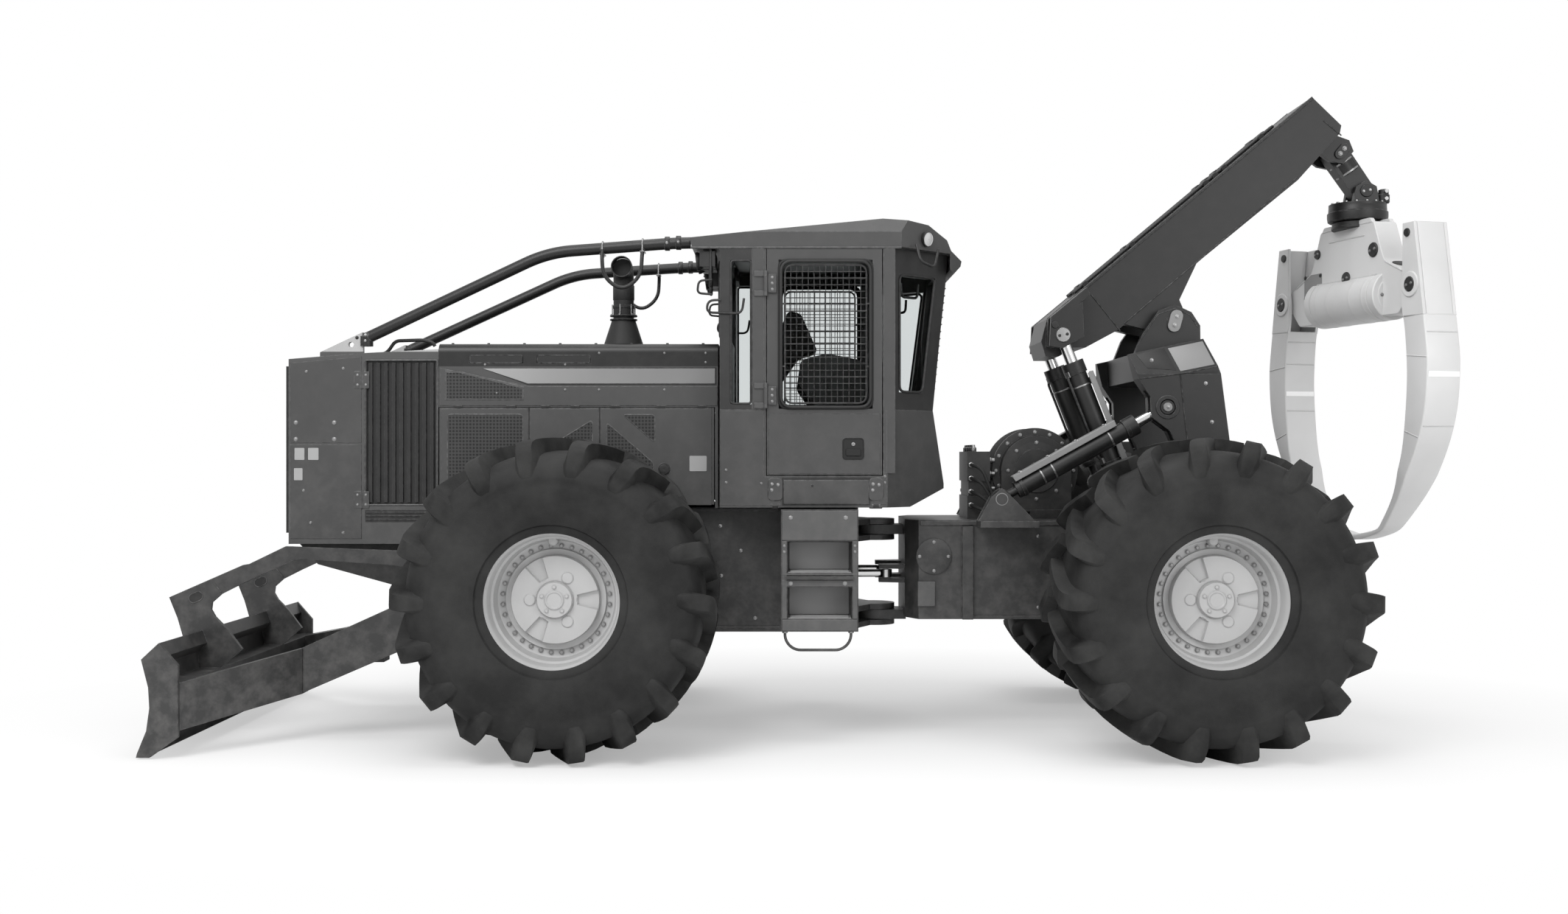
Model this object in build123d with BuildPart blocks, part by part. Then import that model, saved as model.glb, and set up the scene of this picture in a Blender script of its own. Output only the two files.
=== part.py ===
from build123d import *

import os
from math import atan2, cos, degrees, pi, radians, sin

# Articulated four-wheel grapple skidder, millimetres.
# +X is forward, +Y the machine's left, +Z up, and the ground is Z = 0.
os.makedirs("parts", exist_ok=True)

# Places along X are measured from a datum near the cab; the frame's origin is under
# the middle of the whole, between the blade's tip and the rear tong.
FRAME_SHIFT = -169.9

# --- Clearances ---------------------------------------------------------------
SEAT_GAP = 0.3              # between round faces that seat on each other
RUNNING_GAP = 0.06          # radial, pin or shaft in its bore
PANEL_GAP = 6.0             # between neighbouring doors and panels
MOVING_GAP = 10.0           # between a moving piece and what it passes

# --- Wheels and axles ---------------------------------------------------------
TYRE_RADIUS = 970.0         # centre to the flat lug faces
TYRE_WIDTH = 880.0
CARCASS_RADIUS = 895.0
SHOULDER_RADIUS = 800.0
TREAD_FLAT_WIDTH = 660.0
CARCASS_SIDES = 24
BEAD_SIDES = 16
BEAD_FLARE = 100.0          # growth in radius of the sidewall's dish
LUG_COUNT = 18              # in each of the two rows
LUG_LEAN = 150.0            # shift round the tread from the middle to the shoulder
LUG_THICKNESS = 98.0
TRACK = 2420.0
FRONT_AXLE_X = 1698.0
WHEELBASE = 3945.0
REAR_AXLE_X = FRONT_AXLE_X - WHEELBASE
AXLE_Z = TYRE_RADIUS
RIM_FLANGE_RADIUS = 436.0
RIM_BARREL_RADIUS = 400.0
RIM_WALL = 16.0
RIM_WIDTH = 792.0
DISC_PLANE = 170.0          # wheel disc, outboard of the wheel's middle
DISC_THICKNESS = 30.0
RIM_BOLTS = 32
RIM_BOLT_RADIUS = 321.5
RIM_HOLE_RADIUS = 11.5
HUB_DRUM_RADIUS = 250.0
HUB_CASTING_RADIUS = 270.0
HUB_CASTING_DEPTH = 50.0
HUB_CAP_RADIUS = 106.0
HUB_CAP_DEPTH = 85.0
SPINDLE_RADIUS = 90.0
AXLE_TUBE_RADIUS = 150.0
DIFFERENTIAL_RADIUS = 240.0
AXLE_TUBE_HALF = 990.0
SPINDLE_REACH = 1300.0

# --- Front frame --------------------------------------------------------------
FRAME_HALF = 450.0
FRAME_PLATE = 40.0
FRAME_BOTTOM = 669.0
FRAME_TOP = 1490.0
FRONT_FRAME_REAR_X = -160.0
NOSE_HALF = 600.0
NOSE_FRONT_X = 3556.0
NOSE_BOTTOM = 1257.0
NOSE_TOP_FRONT = 2461.0
NOSE_TOP_REAR = 2500.0
NOSE_REAR_X = 3065.0
SCREEN_REAR_X = 2580.0
HOOD_REAR_X = 759.0
HOOD_TOP = 2562.0
HOOD_SEAM = 2147.0
HOOD_BOTTOM = 1514.0
HOOD_SKIN = 20.0

# --- Articulation -------------------------------------------------------------
PIVOT_X = -290.0
PIVOT_PIN_RADIUS = 55.0
HITCH_RADIUS = 140.0
HITCH_PLATE = 36.0
LOWER_HITCH_Z = 752.0       # middle of the lower tongue
UPPER_HITCH_Z = 1330.0
TONGUE_THICKNESS = 64.0

# --- Rear frame ---------------------------------------------------------------
REAR_FRAME_FRONT_X = -480.0
REAR_FRAME_REAR_X = -2570.0
REAR_FRAME_TOP = 1407.0
REAR_FRAME_BOTTOM = 752.0
REAR_PLATE = 28.0
REAR_TAPER_X = -560.0       # the side plates turn inwards ahead of here
REAR_RIB_X = -882.0
REAR_COVER = (-660.0, 1167.0)
REAR_COVER_RADIUS = 115.0
TOW_PIN_X = -2660.0
TOW_EYE_Z = 1200.0
TOW_EYE_THICKNESS = 60.0
TOW_BORE_RADIUS = 27.0

# --- Cab ----------------------------------------------------------------------
CAB_HALF = 800.0
CAB_WALL = 60.0
CAB_FRONT_X = 741.0
CAB_REAR_X = -730.0
CAB_CORNER = 400.0          # plan chamfer at the two rear corners
CAB_FLOOR = 1500.0
CAB_WAIST = 2127.0
CAB_EAVES = 3164.0
DOOR_FRONT_X = 439.0
DOOR_REAR_X = -296.0
DOOR_SILL = 1702.0
DOOR_HINGE_X = 447.0
DOOR_HINGE_Y = 814.0
DOOR_HINGE_Z = (2215.0, 2930.0)
HINGE_HALF = 45.0
HINGE_EAR = 35.0
HINGE_RADIUS = 13.0
GLASS = 8.0

# --- Blade --------------------------------------------------------------------
BLADE_HALF = 1360.0
BLADE_END_PLATE = 25.0
BLADE_PIVOT = (2290.0, 955.0)
BLADE_ARM_INNER = 620.0
BLADE_ARM_OUTER = 740.0
UPRIGHT_INNER = 615.0
UPRIGHT_OUTER = 645.0
BLADE_PIN_RADIUS = 50.0

# --- Arch, boom and grapple (side-view places, X then Z) ----------------------
ARCH_PIVOT = (-2450.0, 1490.0)
ARCH_PIN_RADIUS = 60.0
ARCH_LEG_INNER = 500.0
ARCH_LEG_OUTER = 660.0
BOOM_PIVOT = (-2280.0, 2730.0)
BOOM_PIN_RADIUS = 55.0
BOOM_HALF = 260.0
BOOM_DEPTH = 360.0
BOOM_PLATE = 20.0
BOOM_TIP_TOP = (-3223.0, 4244.0)
BOOM_TIP_LOW = (-3420.0, 4033.0)
BOOM_HEEL_TOP = (-1440.0, 2752.0)
LINK_TOP = (-3470.0, 3905.0)
LINK_LOW = (-3645.0, 3640.0)
ROTATOR_X = -3624.0
GRAPPLE_YAW = -75.0         # the tongs' plane, turned from the machine's length
GRAPPLE_HALF = 124.0        # half of a tong's width
TONG_CHEEK = 24.0
TONG_PIVOT_OFFSET = 728.0   # from the rotator's axis
TONG_PIVOT_Z = 2934.0
TONG_PIN_RADIUS = 42.0

# --- Cylinders: one row each ---------------------------------------------------
# base and rod are the two pins' X and Z; y is the middle of the cylinder
BLADE_CYLINDER = {"base": (2560.0, 1110.0), "rod": (3000.0, 640.0), "y": 530.0,
                  "barrel": 48.0, "shaft": 26.0, "pin": 28.0, "eye": 52.0, "eye_width": 50.0, "retract": 100.0,
                  "barrel_share": 0.70, "guard": 0}
GUARD_SIDE = -1             # -1 puts a guard plate on the upper side of a leaning barrel, +1 on the lower
ARCH_CYLINDER = {"base": (-1080.0, 1550.0), "rod": (-2154.0, 2146.0), "y": 600.0,
                 "barrel": 58.0, "shaft": 34.0, "pin": 36.0, "eye": 66.0, "eye_width": 60.0, "retract": 0.0,
                 "barrel_share": 0.82, "guard": GUARD_SIDE}
BOOM_CYLINDER = {"base": (-1910.0, 1640.0), "rod": (-1520.0, 2632.0), "y": 350.0,
                 "barrel": 66.0, "shaft": 40.0, "pin": 40.0, "eye": 76.0, "eye_width": 70.0, "retract": 0.0,
                 "barrel_share": 0.82, "guard": -GUARD_SIDE}
STEER_FRONT = (500.0, 260.0)     # X and Y of the barrel's pin on the front frame
STEER_REAR = (-355.0, 215.0)     # X and Y of the rod's pin on the rear frame
STEER_Z = 1040.0
STEER_BARREL = 48.0
STEER_SHAFT = 26.0

finished = []


def side_plate(points, y_low, y_high, mode=Mode.ADD):
    """A plate with an outline in X and Z, between two Y stations."""
    with BuildSketch(Plane.XZ.offset(-y_high)) as outline:
        Polygon(*points, align=None)
    extrude(outline.sketch, amount=y_high - y_low, mode=mode)


def plan_plate(points, z_low, z_high, mode=Mode.ADD):
    """A plate with an outline in X and Y, between two heights."""
    with BuildSketch(Plane.XY.offset(z_low)) as outline:
        Polygon(*points, align=None)
    extrude(outline.sketch, amount=z_high - z_low, mode=mode)


def front_plate(points, x_low, x_high, mode=Mode.ADD):
    """A plate with an outline in Y and Z, between two X stations."""
    with BuildSketch(Plane.YZ.offset(x_low)) as outline:
        Polygon(*points, align=None)
    extrude(outline.sketch, amount=x_high - x_low, mode=mode)


def block(x, y, z, mode=Mode.ADD):
    """A box from three (low, high) pairs."""
    with Locations(((x[0] + x[1]) / 2, (y[0] + y[1]) / 2, (z[0] + z[1]) / 2)):
        Box(x[1] - x[0], y[1] - y[0], z[1] - z[0], mode=mode)


def rod(start, end, radius, mode=Mode.ADD):
    """A round bar from one point to another."""
    run = Vector(*end) - Vector(*start)
    with BuildSketch(Plane(origin=start, z_dir=run)) as section:
        Circle(radius)
    extrude(section.sketch, amount=run.length, mode=mode)


def cross_pin(place, radius, y_low, y_high, mode=Mode.ADD):
    """A round bar along Y at a side-view place (X, Z)."""
    rod((place[0], y_low, place[1]), (place[0], y_high, place[1]), radius, mode)


def bent_bar(points, bends, radius):
    """A round bar along straight runs joined by tangent arcs."""
    with BuildLine(mode=Mode.PRIVATE) as route:
        FilletPolyline(*points, radius=bends)
    with BuildSketch(Plane(origin=route.line @ 0, z_dir=route.line % 0)) as section:
        Circle(radius)
    sweep(section.sketch, path=route.line)


def finish(name, builder):
    """Set a piece over the frame's origin, label it and write it to its own file."""
    piece = builder.part.moved(Location((FRAME_SHIFT, 0, 0)))
    piece.label = name
    export_step(piece, "parts/" + name + ".step")
    finished.append(name)


# ==============================================================================
# Wheels
# ==============================================================================
tyre_half = TYRE_WIDTH / 2
bead_half = RIM_WIDTH / 2 - 20.0
tyre_bore = RIM_BARREL_RADIUS + SEAT_GAP
FACET = 180.0 / LUG_COUNT   # each row's lugs bridge two facets of the other

with BuildPart() as lug_bar:
    with BuildSketch(Plane.XY.offset(SHOULDER_RADIUS - 40)) as lug_plan:
        Polygon((-LUG_THICKNESS / 2 - 30, 0), (LUG_THICKNESS / 2 - 30, 0),
                (LUG_LEAN + 20, tyre_half), (LUG_LEAN - LUG_THICKNESS + 30, tyre_half), align=None)
    extrude(lug_plan.sketch, amount=TYRE_RADIUS - SHOULDER_RADIUS + 100)


def across_wheel(side, axial):
    """A plane across the wheel's axle that faces away from the wheel's middle."""
    return Plane(origin=(0, side * axial, 0), x_dir=(1, 0, 0), z_dir=(0, side, 0))


# bands of the carcass from its middle out: axial start and end, circumscribed radius at each
tread_half = TREAD_FLAT_WIDTH / 2
CARCASS_BANDS = [(0, tread_half, CARCASS_RADIUS, CARCASS_RADIUS),
                 (tread_half, tyre_half, CARCASS_RADIUS, SHOULDER_RADIUS)]
with BuildPart() as tyre_form:
    with Locations(*[Location((0, 0, 0), (0, row * 2 * FACET, 0)) for row in range(LUG_COUNT)]):
        add(lug_bar.part)
    right_row = mirror(lug_bar.part, about=Plane.XZ, mode=Mode.PRIVATE)
    with Locations(*[Location((0, 0, 0), (0, (row * 2 + 1) * FACET, 0)) for row in range(LUG_COUNT)]):
        add(right_row)
    with BuildSketch(Plane.XZ.offset(-tyre_half)) as facets:
        RegularPolygon(TYRE_RADIUS, 2 * LUG_COUNT, major_radius=False, rotation=FACET / 2)
    extrude(facets.sketch, amount=TYRE_WIDTH, mode=Mode.INTERSECT)
    for side in (-1, 1):
        for start, end, start_radius, end_radius in CARCASS_BANDS:
            with BuildSketch(across_wheel(side, start)) as band:
                RegularPolygon(start_radius, CARCASS_SIDES)
            drop = (start_radius - end_radius) * cos(pi / CARCASS_SIDES)
            extrude(band.sketch, amount=end - start, taper=degrees(atan2(drop, end - start)))
    cross_pin((0, 0), tyre_bore, -tyre_half, tyre_half, Mode.SUBTRACT)
    # sidewalls fall away to the beads
    for side in (-1, 1):
        with BuildSketch(across_wheel(side, bead_half)) as bead:
            RegularPolygon(RIM_FLANGE_RADIUS + 6, BEAD_SIDES, major_radius=False)
        lean = degrees(atan2(BEAD_FLARE, tyre_half - bead_half))
        extrude(bead.sketch, amount=tyre_half - bead_half, taper=-lean, mode=Mode.SUBTRACT)

rim_half = RIM_WIDTH / 2
disc_outer = DISC_PLANE + DISC_THICKNESS / 2
disc_inner = DISC_PLANE - DISC_THICKNESS / 2
with BuildPart() as rim_form:
    with BuildSketch(Plane.XY) as rim_section:
        Polygon((RIM_BARREL_RADIUS - RIM_WALL, -rim_half), (RIM_FLANGE_RADIUS, -rim_half),
                (RIM_FLANGE_RADIUS, -rim_half + 18), (RIM_BARREL_RADIUS, -rim_half + 18),
                (RIM_BARREL_RADIUS, rim_half - 18), (RIM_FLANGE_RADIUS, rim_half - 18),
                (RIM_FLANGE_RADIUS, rim_half), (RIM_BARREL_RADIUS - RIM_WALL, rim_half), align=None)
        Polygon((SPINDLE_RADIUS + RUNNING_GAP, disc_inner), (RIM_BARREL_RADIUS - 1, disc_inner),
                (RIM_BARREL_RADIUS - 1, disc_outer), (SPINDLE_RADIUS + RUNNING_GAP, disc_outer),
                align=None)
        Polygon((SPINDLE_RADIUS + RUNNING_GAP, -205), (HUB_DRUM_RADIUS, -205),
                (HUB_DRUM_RADIUS, disc_inner + 1), (SPINDLE_RADIUS + RUNNING_GAP, disc_inner + 1),
                align=None)
        Polygon((0, disc_outer - 5), (HUB_CASTING_RADIUS, disc_outer - 5),
                (HUB_CASTING_RADIUS - 12, disc_outer + HUB_CASTING_DEPTH),
                (HUB_CAP_RADIUS, disc_outer + HUB_CASTING_DEPTH),
                (HUB_CAP_RADIUS - 8, disc_outer + HUB_CASTING_DEPTH + HUB_CAP_DEPTH),
                (0, disc_outer + HUB_CASTING_DEPTH + HUB_CAP_DEPTH), align=None)
    revolve(rim_section.sketch, axis=Axis.Y)
    # bolt circle through the disc, and three pockets in the hub casting
    for bolt in range(RIM_BOLTS):
        turn = radians((bolt + 0.5) * 360 / RIM_BOLTS)
        place = (RIM_BOLT_RADIUS * sin(turn), RIM_BOLT_RADIUS * cos(turn))
        cross_pin(place, RIM_HOLE_RADIUS, disc_inner - 1, disc_outer + 1, Mode.SUBTRACT)
    hub_face = disc_outer + HUB_CASTING_DEPTH
    with BuildSketch(Plane.XZ.offset(-hub_face - 1)) as pockets:
        with PolarLocations(0, 3, start_angle=90):
            Polygon((HUB_CAP_RADIUS + 29, -28), (HUB_CASTING_RADIUS + 9, -61), (HUB_CASTING_RADIUS + 9, 61),
                    (HUB_CAP_RADIUS + 29, 28), align=None)
    extrude(pockets.sketch, amount=23, mode=Mode.SUBTRACT)

# wheel places: name, axle X, side
WHEELS = [("front_left", FRONT_AXLE_X, 1), ("front_right", FRONT_AXLE_X, -1),
          ("rear_left", REAR_AXLE_X, 1), ("rear_right", REAR_AXLE_X, -1)]
for wheel_name, wheel_x, side in WHEELS:
    centre = (wheel_x, side * TRACK / 2, AXLE_Z)
    with BuildPart() as tyre:
        with Locations(centre):
            add(tyre_form.part)
    finish("tyre_" + wheel_name, tyre)
    with BuildPart() as rim:
        with Locations(Location(centre, (0, 0, 0 if side > 0 else 180))):
            add(rim_form.part)
    finish("rim_" + wheel_name, rim)

# ==============================================================================
# Axles
# ==============================================================================
AXLE_PAD_TOP = 1130.0
for axle_name, axle_x in (("front_axle", FRONT_AXLE_X), ("rear_axle", REAR_AXLE_X)):
    with BuildPart() as axle:
        cross_pin((axle_x, AXLE_Z), AXLE_TUBE_RADIUS, -AXLE_TUBE_HALF, AXLE_TUBE_HALF)
        cross_pin((axle_x, AXLE_Z), SPINDLE_RADIUS, -SPINDLE_REACH, SPINDLE_REACH)
        with Locations((axle_x, 0, AXLE_Z)):
            Sphere(DIFFERENTIAL_RADIUS)
        block((axle_x - 130, axle_x + 130), (-FRAME_HALF, FRAME_HALF), (AXLE_Z, AXLE_PAD_TOP))
    finish(axle_name, axle)

# ==============================================================================
# Front frame
# ==============================================================================
FRONT_FRAME_OUTLINE = [
    (NOSE_FRONT_X - 20, NOSE_BOTTOM), (3410, 1115), (2900, 975), (2230, 880), (1960, AXLE_PAD_TOP),
    (1440, AXLE_PAD_TOP), (1080, FRAME_BOTTOM), (FRONT_FRAME_REAR_X, FRAME_BOTTOM),
    (FRONT_FRAME_REAR_X, FRAME_TOP), (SCREEN_REAR_X - 10, FRAME_TOP), (SCREEN_REAR_X - 10, NOSE_BOTTOM)]
frame_inner = FRAME_HALF - FRAME_PLATE
lower_tongue = (LOWER_HITCH_Z - TONGUE_THICKNESS / 2, LOWER_HITCH_Z + TONGUE_THICKNESS / 2)
upper_tongue = (UPPER_HITCH_Z - TONGUE_THICKNESS / 2, UPPER_HITCH_Z + TONGUE_THICKNESS / 2)


def hitch_lug(root_x, root_half, z_low, z_high, mode=Mode.ADD):
    """A tapered lug that runs from a frame to a round end at the pivot."""
    block((min(root_x, PIVOT_X), max(root_x, PIVOT_X)), (-HITCH_RADIUS, HITCH_RADIUS), (z_low, z_high), mode)
    with Locations((PIVOT_X, 0, (z_low + z_high) / 2)):
        Cylinder(HITCH_RADIUS, z_high - z_low, mode=mode)
    reach = root_x - PIVOT_X
    plan_plate([(root_x, -root_half), (root_x, root_half), (root_x - 0.75 * reach, HITCH_RADIUS),
                (root_x - 0.75 * reach, -HITCH_RADIUS)], z_low, z_high, mode)


with BuildPart() as front_chassis:
    side_plate(FRONT_FRAME_OUTLINE, frame_inner, FRAME_HALF)
    side_plate(FRONT_FRAME_OUTLINE, -FRAME_HALF, -frame_inner)
    block((FRONT_FRAME_REAR_X, 1080), (-frame_inner, frame_inner), (FRAME_BOTTOM, FRAME_BOTTOM + 25))
    block((FRONT_FRAME_REAR_X, 740), (-frame_inner, frame_inner), (FRAME_TOP - 25, FRAME_TOP))
    block((560, 600), (-frame_inner, frame_inner), (FRAME_BOTTOM, FRAME_TOP))
    block((1440, 1960), (-frame_inner, frame_inner), (AXLE_PAD_TOP, AXLE_PAD_TOP + 30))
    with Locations((FRONT_AXLE_X, 0, AXLE_Z)):
        Sphere(DIFFERENTIAL_RADIUS + MOVING_GAP, mode=Mode.SUBTRACT)
    block((2900, 2940), (-frame_inner, frame_inner), (1010, NOSE_BOTTOM))
    block((3360, 3400), (-frame_inner, frame_inner), (1140, NOSE_BOTTOM))
    for tongue_low, tongue_high in (lower_tongue, upper_tongue):
        for fork_low in (tongue_low - 4 - HITCH_PLATE, tongue_high + 4):
            hitch_lug(FRONT_FRAME_REAR_X, 330, fork_low, fork_low + HITCH_PLATE)
            block((FRONT_FRAME_REAR_X, -20), (-frame_inner, frame_inner), (fork_low, fork_low + HITCH_PLATE))
        with Locations((PIVOT_X, 0, (tongue_low + tongue_high) / 2)):
            Cylinder(PIVOT_PIN_RADIUS, TONGUE_THICKNESS + 2 * HITCH_PLATE)
    for side in (-1, 1):
        # blade pivot boss and pin
        cross_pin(BLADE_PIVOT, 95, side * frame_inner, side * (BLADE_ARM_INNER - MOVING_GAP))
        cross_pin(BLADE_PIVOT, BLADE_PIN_RADIUS, side * frame_inner, side * (BLADE_ARM_OUTER + 4))
        # blade cylinder base pin
        cross_pin(BLADE_CYLINDER["base"], BLADE_CYLINDER["pin"], side * frame_inner, side * 585)
        # steering cylinder base pin between two plates
        for z_low, z_high in ((STEER_Z - 65, STEER_Z - 35), (STEER_Z + 35, STEER_Z + 65)):
            block((STEER_FRONT[0] - 50, 560), (side * STEER_FRONT[1] - 60, side * STEER_FRONT[1] + 60),
                  (z_low, z_high))
        with Locations((STEER_FRONT[0], side * STEER_FRONT[1], STEER_Z)):
            Cylinder(26, 120)
finish("front_chassis", front_chassis)

ENGINE = {"x": (1150.0, 2350.0), "y": 370.0, "z": (1260.0, 2060.0)}
with BuildPart() as engine:
    block(ENGINE["x"], (-ENGINE["y"], ENGINE["y"]), ENGINE["z"])
    for mount_x in (1300.0, 2200.0):
        for side in (-1, 1):
            y_pair = sorted((side * (ENGINE["y"] - 1), side * frame_inner))
            block((mount_x - 60, mount_x + 60), y_pair, (1300, 1360))
finish("engine", engine)

# ==============================================================================
# Nose, screens and hood
# ==============================================================================
GRILLE_Z = (1326.0, 2418.0)
GRILLE_HALF = 520.0
GRILLE_DEPTH = 60.0
GRILLE_SLATS = 14
SCREEN_Z = (1516.0, 2449.0)
SCREEN_X = (SCREEN_REAR_X + 15, NOSE_REAR_X - 15)
NOSE_SKIN = 30.0
LIFT_EYE = (3150.0, 2555.0)
LIFT_EYE_RADIUS = 18.0
with BuildPart() as nose:
    side_plate([(NOSE_FRONT_X, NOSE_BOTTOM), (NOSE_FRONT_X, NOSE_TOP_FRONT), (NOSE_REAR_X, NOSE_TOP_REAR),
                (SCREEN_REAR_X, NOSE_TOP_REAR + 25), (SCREEN_REAR_X, NOSE_BOTTOM)], -NOSE_HALF, NOSE_HALF)
    block((SCREEN_REAR_X + NOSE_SKIN, NOSE_FRONT_X - GRILLE_DEPTH), (-NOSE_HALF + NOSE_SKIN, NOSE_HALF - NOSE_SKIN),
          (NOSE_BOTTOM, NOSE_TOP_FRONT - NOSE_SKIN), Mode.SUBTRACT)
    block((NOSE_FRONT_X - GRILLE_DEPTH, NOSE_FRONT_X), (-GRILLE_HALF, GRILLE_HALF), GRILLE_Z, Mode.SUBTRACT)
    for side in (-1, 1):
        y_pair = sorted((side * (NOSE_HALF - NOSE_SKIN), side * NOSE_HALF))
        block(SCREEN_X, y_pair, SCREEN_Z, Mode.SUBTRACT)
        # bracket on the nose's top that takes the guard bar
        y_plate = sorted((side * (NOSE_HALF - 40), side * (NOSE_HALF - 5)))
        side_plate([(3353, 2475), (3353, 2505), (3079, 2634), (3072, 2634), (3072, 2475)], *y_plate)
        cross_pin(LIFT_EYE, LIFT_EYE_RADIUS, *sorted((side * (NOSE_HALF - 41), side * (NOSE_HALF - 4))),
                  Mode.SUBTRACT)
finish("nose", nose)

with BuildPart() as radiator:
    block((3300, NOSE_FRONT_X - GRILLE_DEPTH - 1), (-NOSE_HALF + NOSE_SKIN, NOSE_HALF - NOSE_SKIN),
          (NOSE_BOTTOM, NOSE_TOP_FRONT - NOSE_SKIN))
finish("radiator", radiator)

with BuildPart() as front_grille:
    inner = NOSE_FRONT_X - GRILLE_DEPTH
    block((inner + 10, NOSE_FRONT_X + 41), (-GRILLE_HALF, GRILLE_HALF), GRILLE_Z)
    block((inner + 30, NOSE_FRONT_X + 42), (-GRILLE_HALF + 50, GRILLE_HALF - 50),
          (GRILLE_Z[0] + 50, GRILLE_Z[1] - 50), Mode.SUBTRACT)
    slat_pitch = (2 * GRILLE_HALF - 100) / GRILLE_SLATS
    for slat in range(1, GRILLE_SLATS):
        slat_y = 50 - GRILLE_HALF + slat * slat_pitch
        block((inner + 29, NOSE_FRONT_X + 21), (slat_y - 8, slat_y + 8), (GRILLE_Z[0] + 49, GRILLE_Z[1] - 49))
    for share in (1 / 3, 2 / 3):
        band_z = GRILLE_Z[0] + share * (GRILLE_Z[1] - GRILLE_Z[0])
        block((inner + 29, NOSE_FRONT_X + 36), (49 - GRILLE_HALF, GRILLE_HALF - 49), (band_z - 20, band_z + 20))
finish("front_grille", front_grille)

SCREEN_RIBS = 9
with BuildPart() as side_screens:
    for side in (-1, 1):
        y_pair = sorted((side * (NOSE_HALF - NOSE_SKIN), side * (NOSE_HALF - 18)))
        block(SCREEN_X, y_pair, SCREEN_Z)
        pitch = (SCREEN_X[1] - SCREEN_X[0] - 6) / SCREEN_RIBS
        for rib in range(SCREEN_RIBS):
            rib_x = SCREEN_X[0] + 3 + (rib + 0.5) * pitch
            y_rib = sorted((side * (NOSE_HALF - 19), side * (NOSE_HALF - 2)))
            block((rib_x - 0.22 * pitch, rib_x + 0.22 * pitch), y_rib, (SCREEN_Z[0] + 12, SCREEN_Z[1] - 12))
finish("side_screens", side_screens)

VENTS = [(1590.0, 1940.0), (2030.0, 2380.0)]
VENT_Z = (2432.0, 2482.0)
with BuildPart() as hood:
    hood_front = SCREEN_REAR_X - 0.5
    block((HOOD_REAR_X, hood_front), (-NOSE_HALF, NOSE_HALF), (HOOD_SEAM, HOOD_TOP))
    top_edges = hood.edges().filter_by(Axis.X).group_by(Axis.Z)[-1]
    fillet(top_edges, 55)
    block((HOOD_REAR_X + HOOD_SKIN, hood_front - HOOD_SKIN), (-NOSE_HALF + HOOD_SKIN, NOSE_HALF - HOOD_SKIN),
          (HOOD_SEAM, HOOD_TOP - 60), Mode.SUBTRACT)
    # two vents pressed into each side's upper band
    for side in (-1, 1):
        for low_x, high_x in VENTS:
            block((low_x, high_x), sorted((side * (NOSE_HALF - 8), side * (NOSE_HALF + 1))), VENT_Z, Mode.SUBTRACT)
    # rear bulkhead that carries the hood down to the frame
    block((HOOD_REAR_X, HOOD_REAR_X + HOOD_SKIN), (-NOSE_HALF, NOSE_HALF), (FRAME_TOP, HOOD_SEAM + 5))
finish("hood", hood)

DOOR_SEAMS = [HOOD_REAR_X + HOOD_SKIN + 4, 1530.0, 1990.0, SCREEN_REAR_X - 4]
FIELD_DEPTH = 8.0
# fields in X and Z: one in each door, and the two triangles that meet at a seam
FIELDS = [[(2040, 2095), (2520, 2095), (2520, 1600), (2040, 1600)],
          [(1580, 1900), (1760, 2095), (1950, 2095), (1950, 1860)],
          [(850, 1700), (1240, 2095), (850, 2095)],
          [(1330, 2095), (1500, 2095), (1500, 1920)]]
with BuildPart() as hood_doors:
    for side in (-1, 1):
        y_pair = sorted((side * (NOSE_HALF - HOOD_SKIN), side * NOSE_HALF))
        for low_x, high_x in zip(DOOR_SEAMS[:-1], DOOR_SEAMS[1:]):
            block((low_x + 2, high_x - 2), y_pair, (HOOD_BOTTOM, HOOD_SEAM - 4))
            # hinge strip that hangs each door inside the hood's skin
            strip = NOSE_HALF - HOOD_SKIN - SEAT_GAP
            block((low_x + 80, high_x - 80), sorted((side * (strip - 12), side * (strip + 1))),
                  (HOOD_SEAM - 60, HOOD_SEAM - 10))
            block((low_x + 80, high_x - 80), sorted((side * (strip - 12), side * strip)),
                  (HOOD_SEAM - 11, HOOD_SEAM + 40))
        for field in FIELDS:
            side_plate(field, *sorted((side * (NOSE_HALF - FIELD_DEPTH), side * (NOSE_HALF + 1))), Mode.SUBTRACT)
finish("hood_doors", hood_doors)

STACK_X = 1435.0
STACK_RADIUS = 70.0
STACK_TOP = 3118.0
with BuildPart() as exhaust_stack:
    with BuildSketch(Plane.XZ) as stack_section:
        Polygon((STACK_X, HOOD_TOP), (STACK_X + 135, HOOD_TOP), (STACK_X + 135, HOOD_TOP + 35),
                (STACK_X + 82, HOOD_TOP + 198), (STACK_X, HOOD_TOP + 198), align=None)
    revolve(stack_section.sketch, axis=Axis((STACK_X, 0, 0), (0, 0, 1)))
    bent_bar([(STACK_X, 0, HOOD_TOP + 190), (STACK_X, 0, STACK_TOP), (STACK_X, 150, STACK_TOP)], [100],
             STACK_RADIUS)
    with BuildSketch(Plane.XZ.offset(-60)) as mouth:
        with Locations((STACK_X, STACK_TOP)):
            Circle(STACK_RADIUS - 4)
    extrude(mouth.sketch, amount=-100, mode=Mode.SUBTRACT)
finish("exhaust_stack", exhaust_stack)

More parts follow.
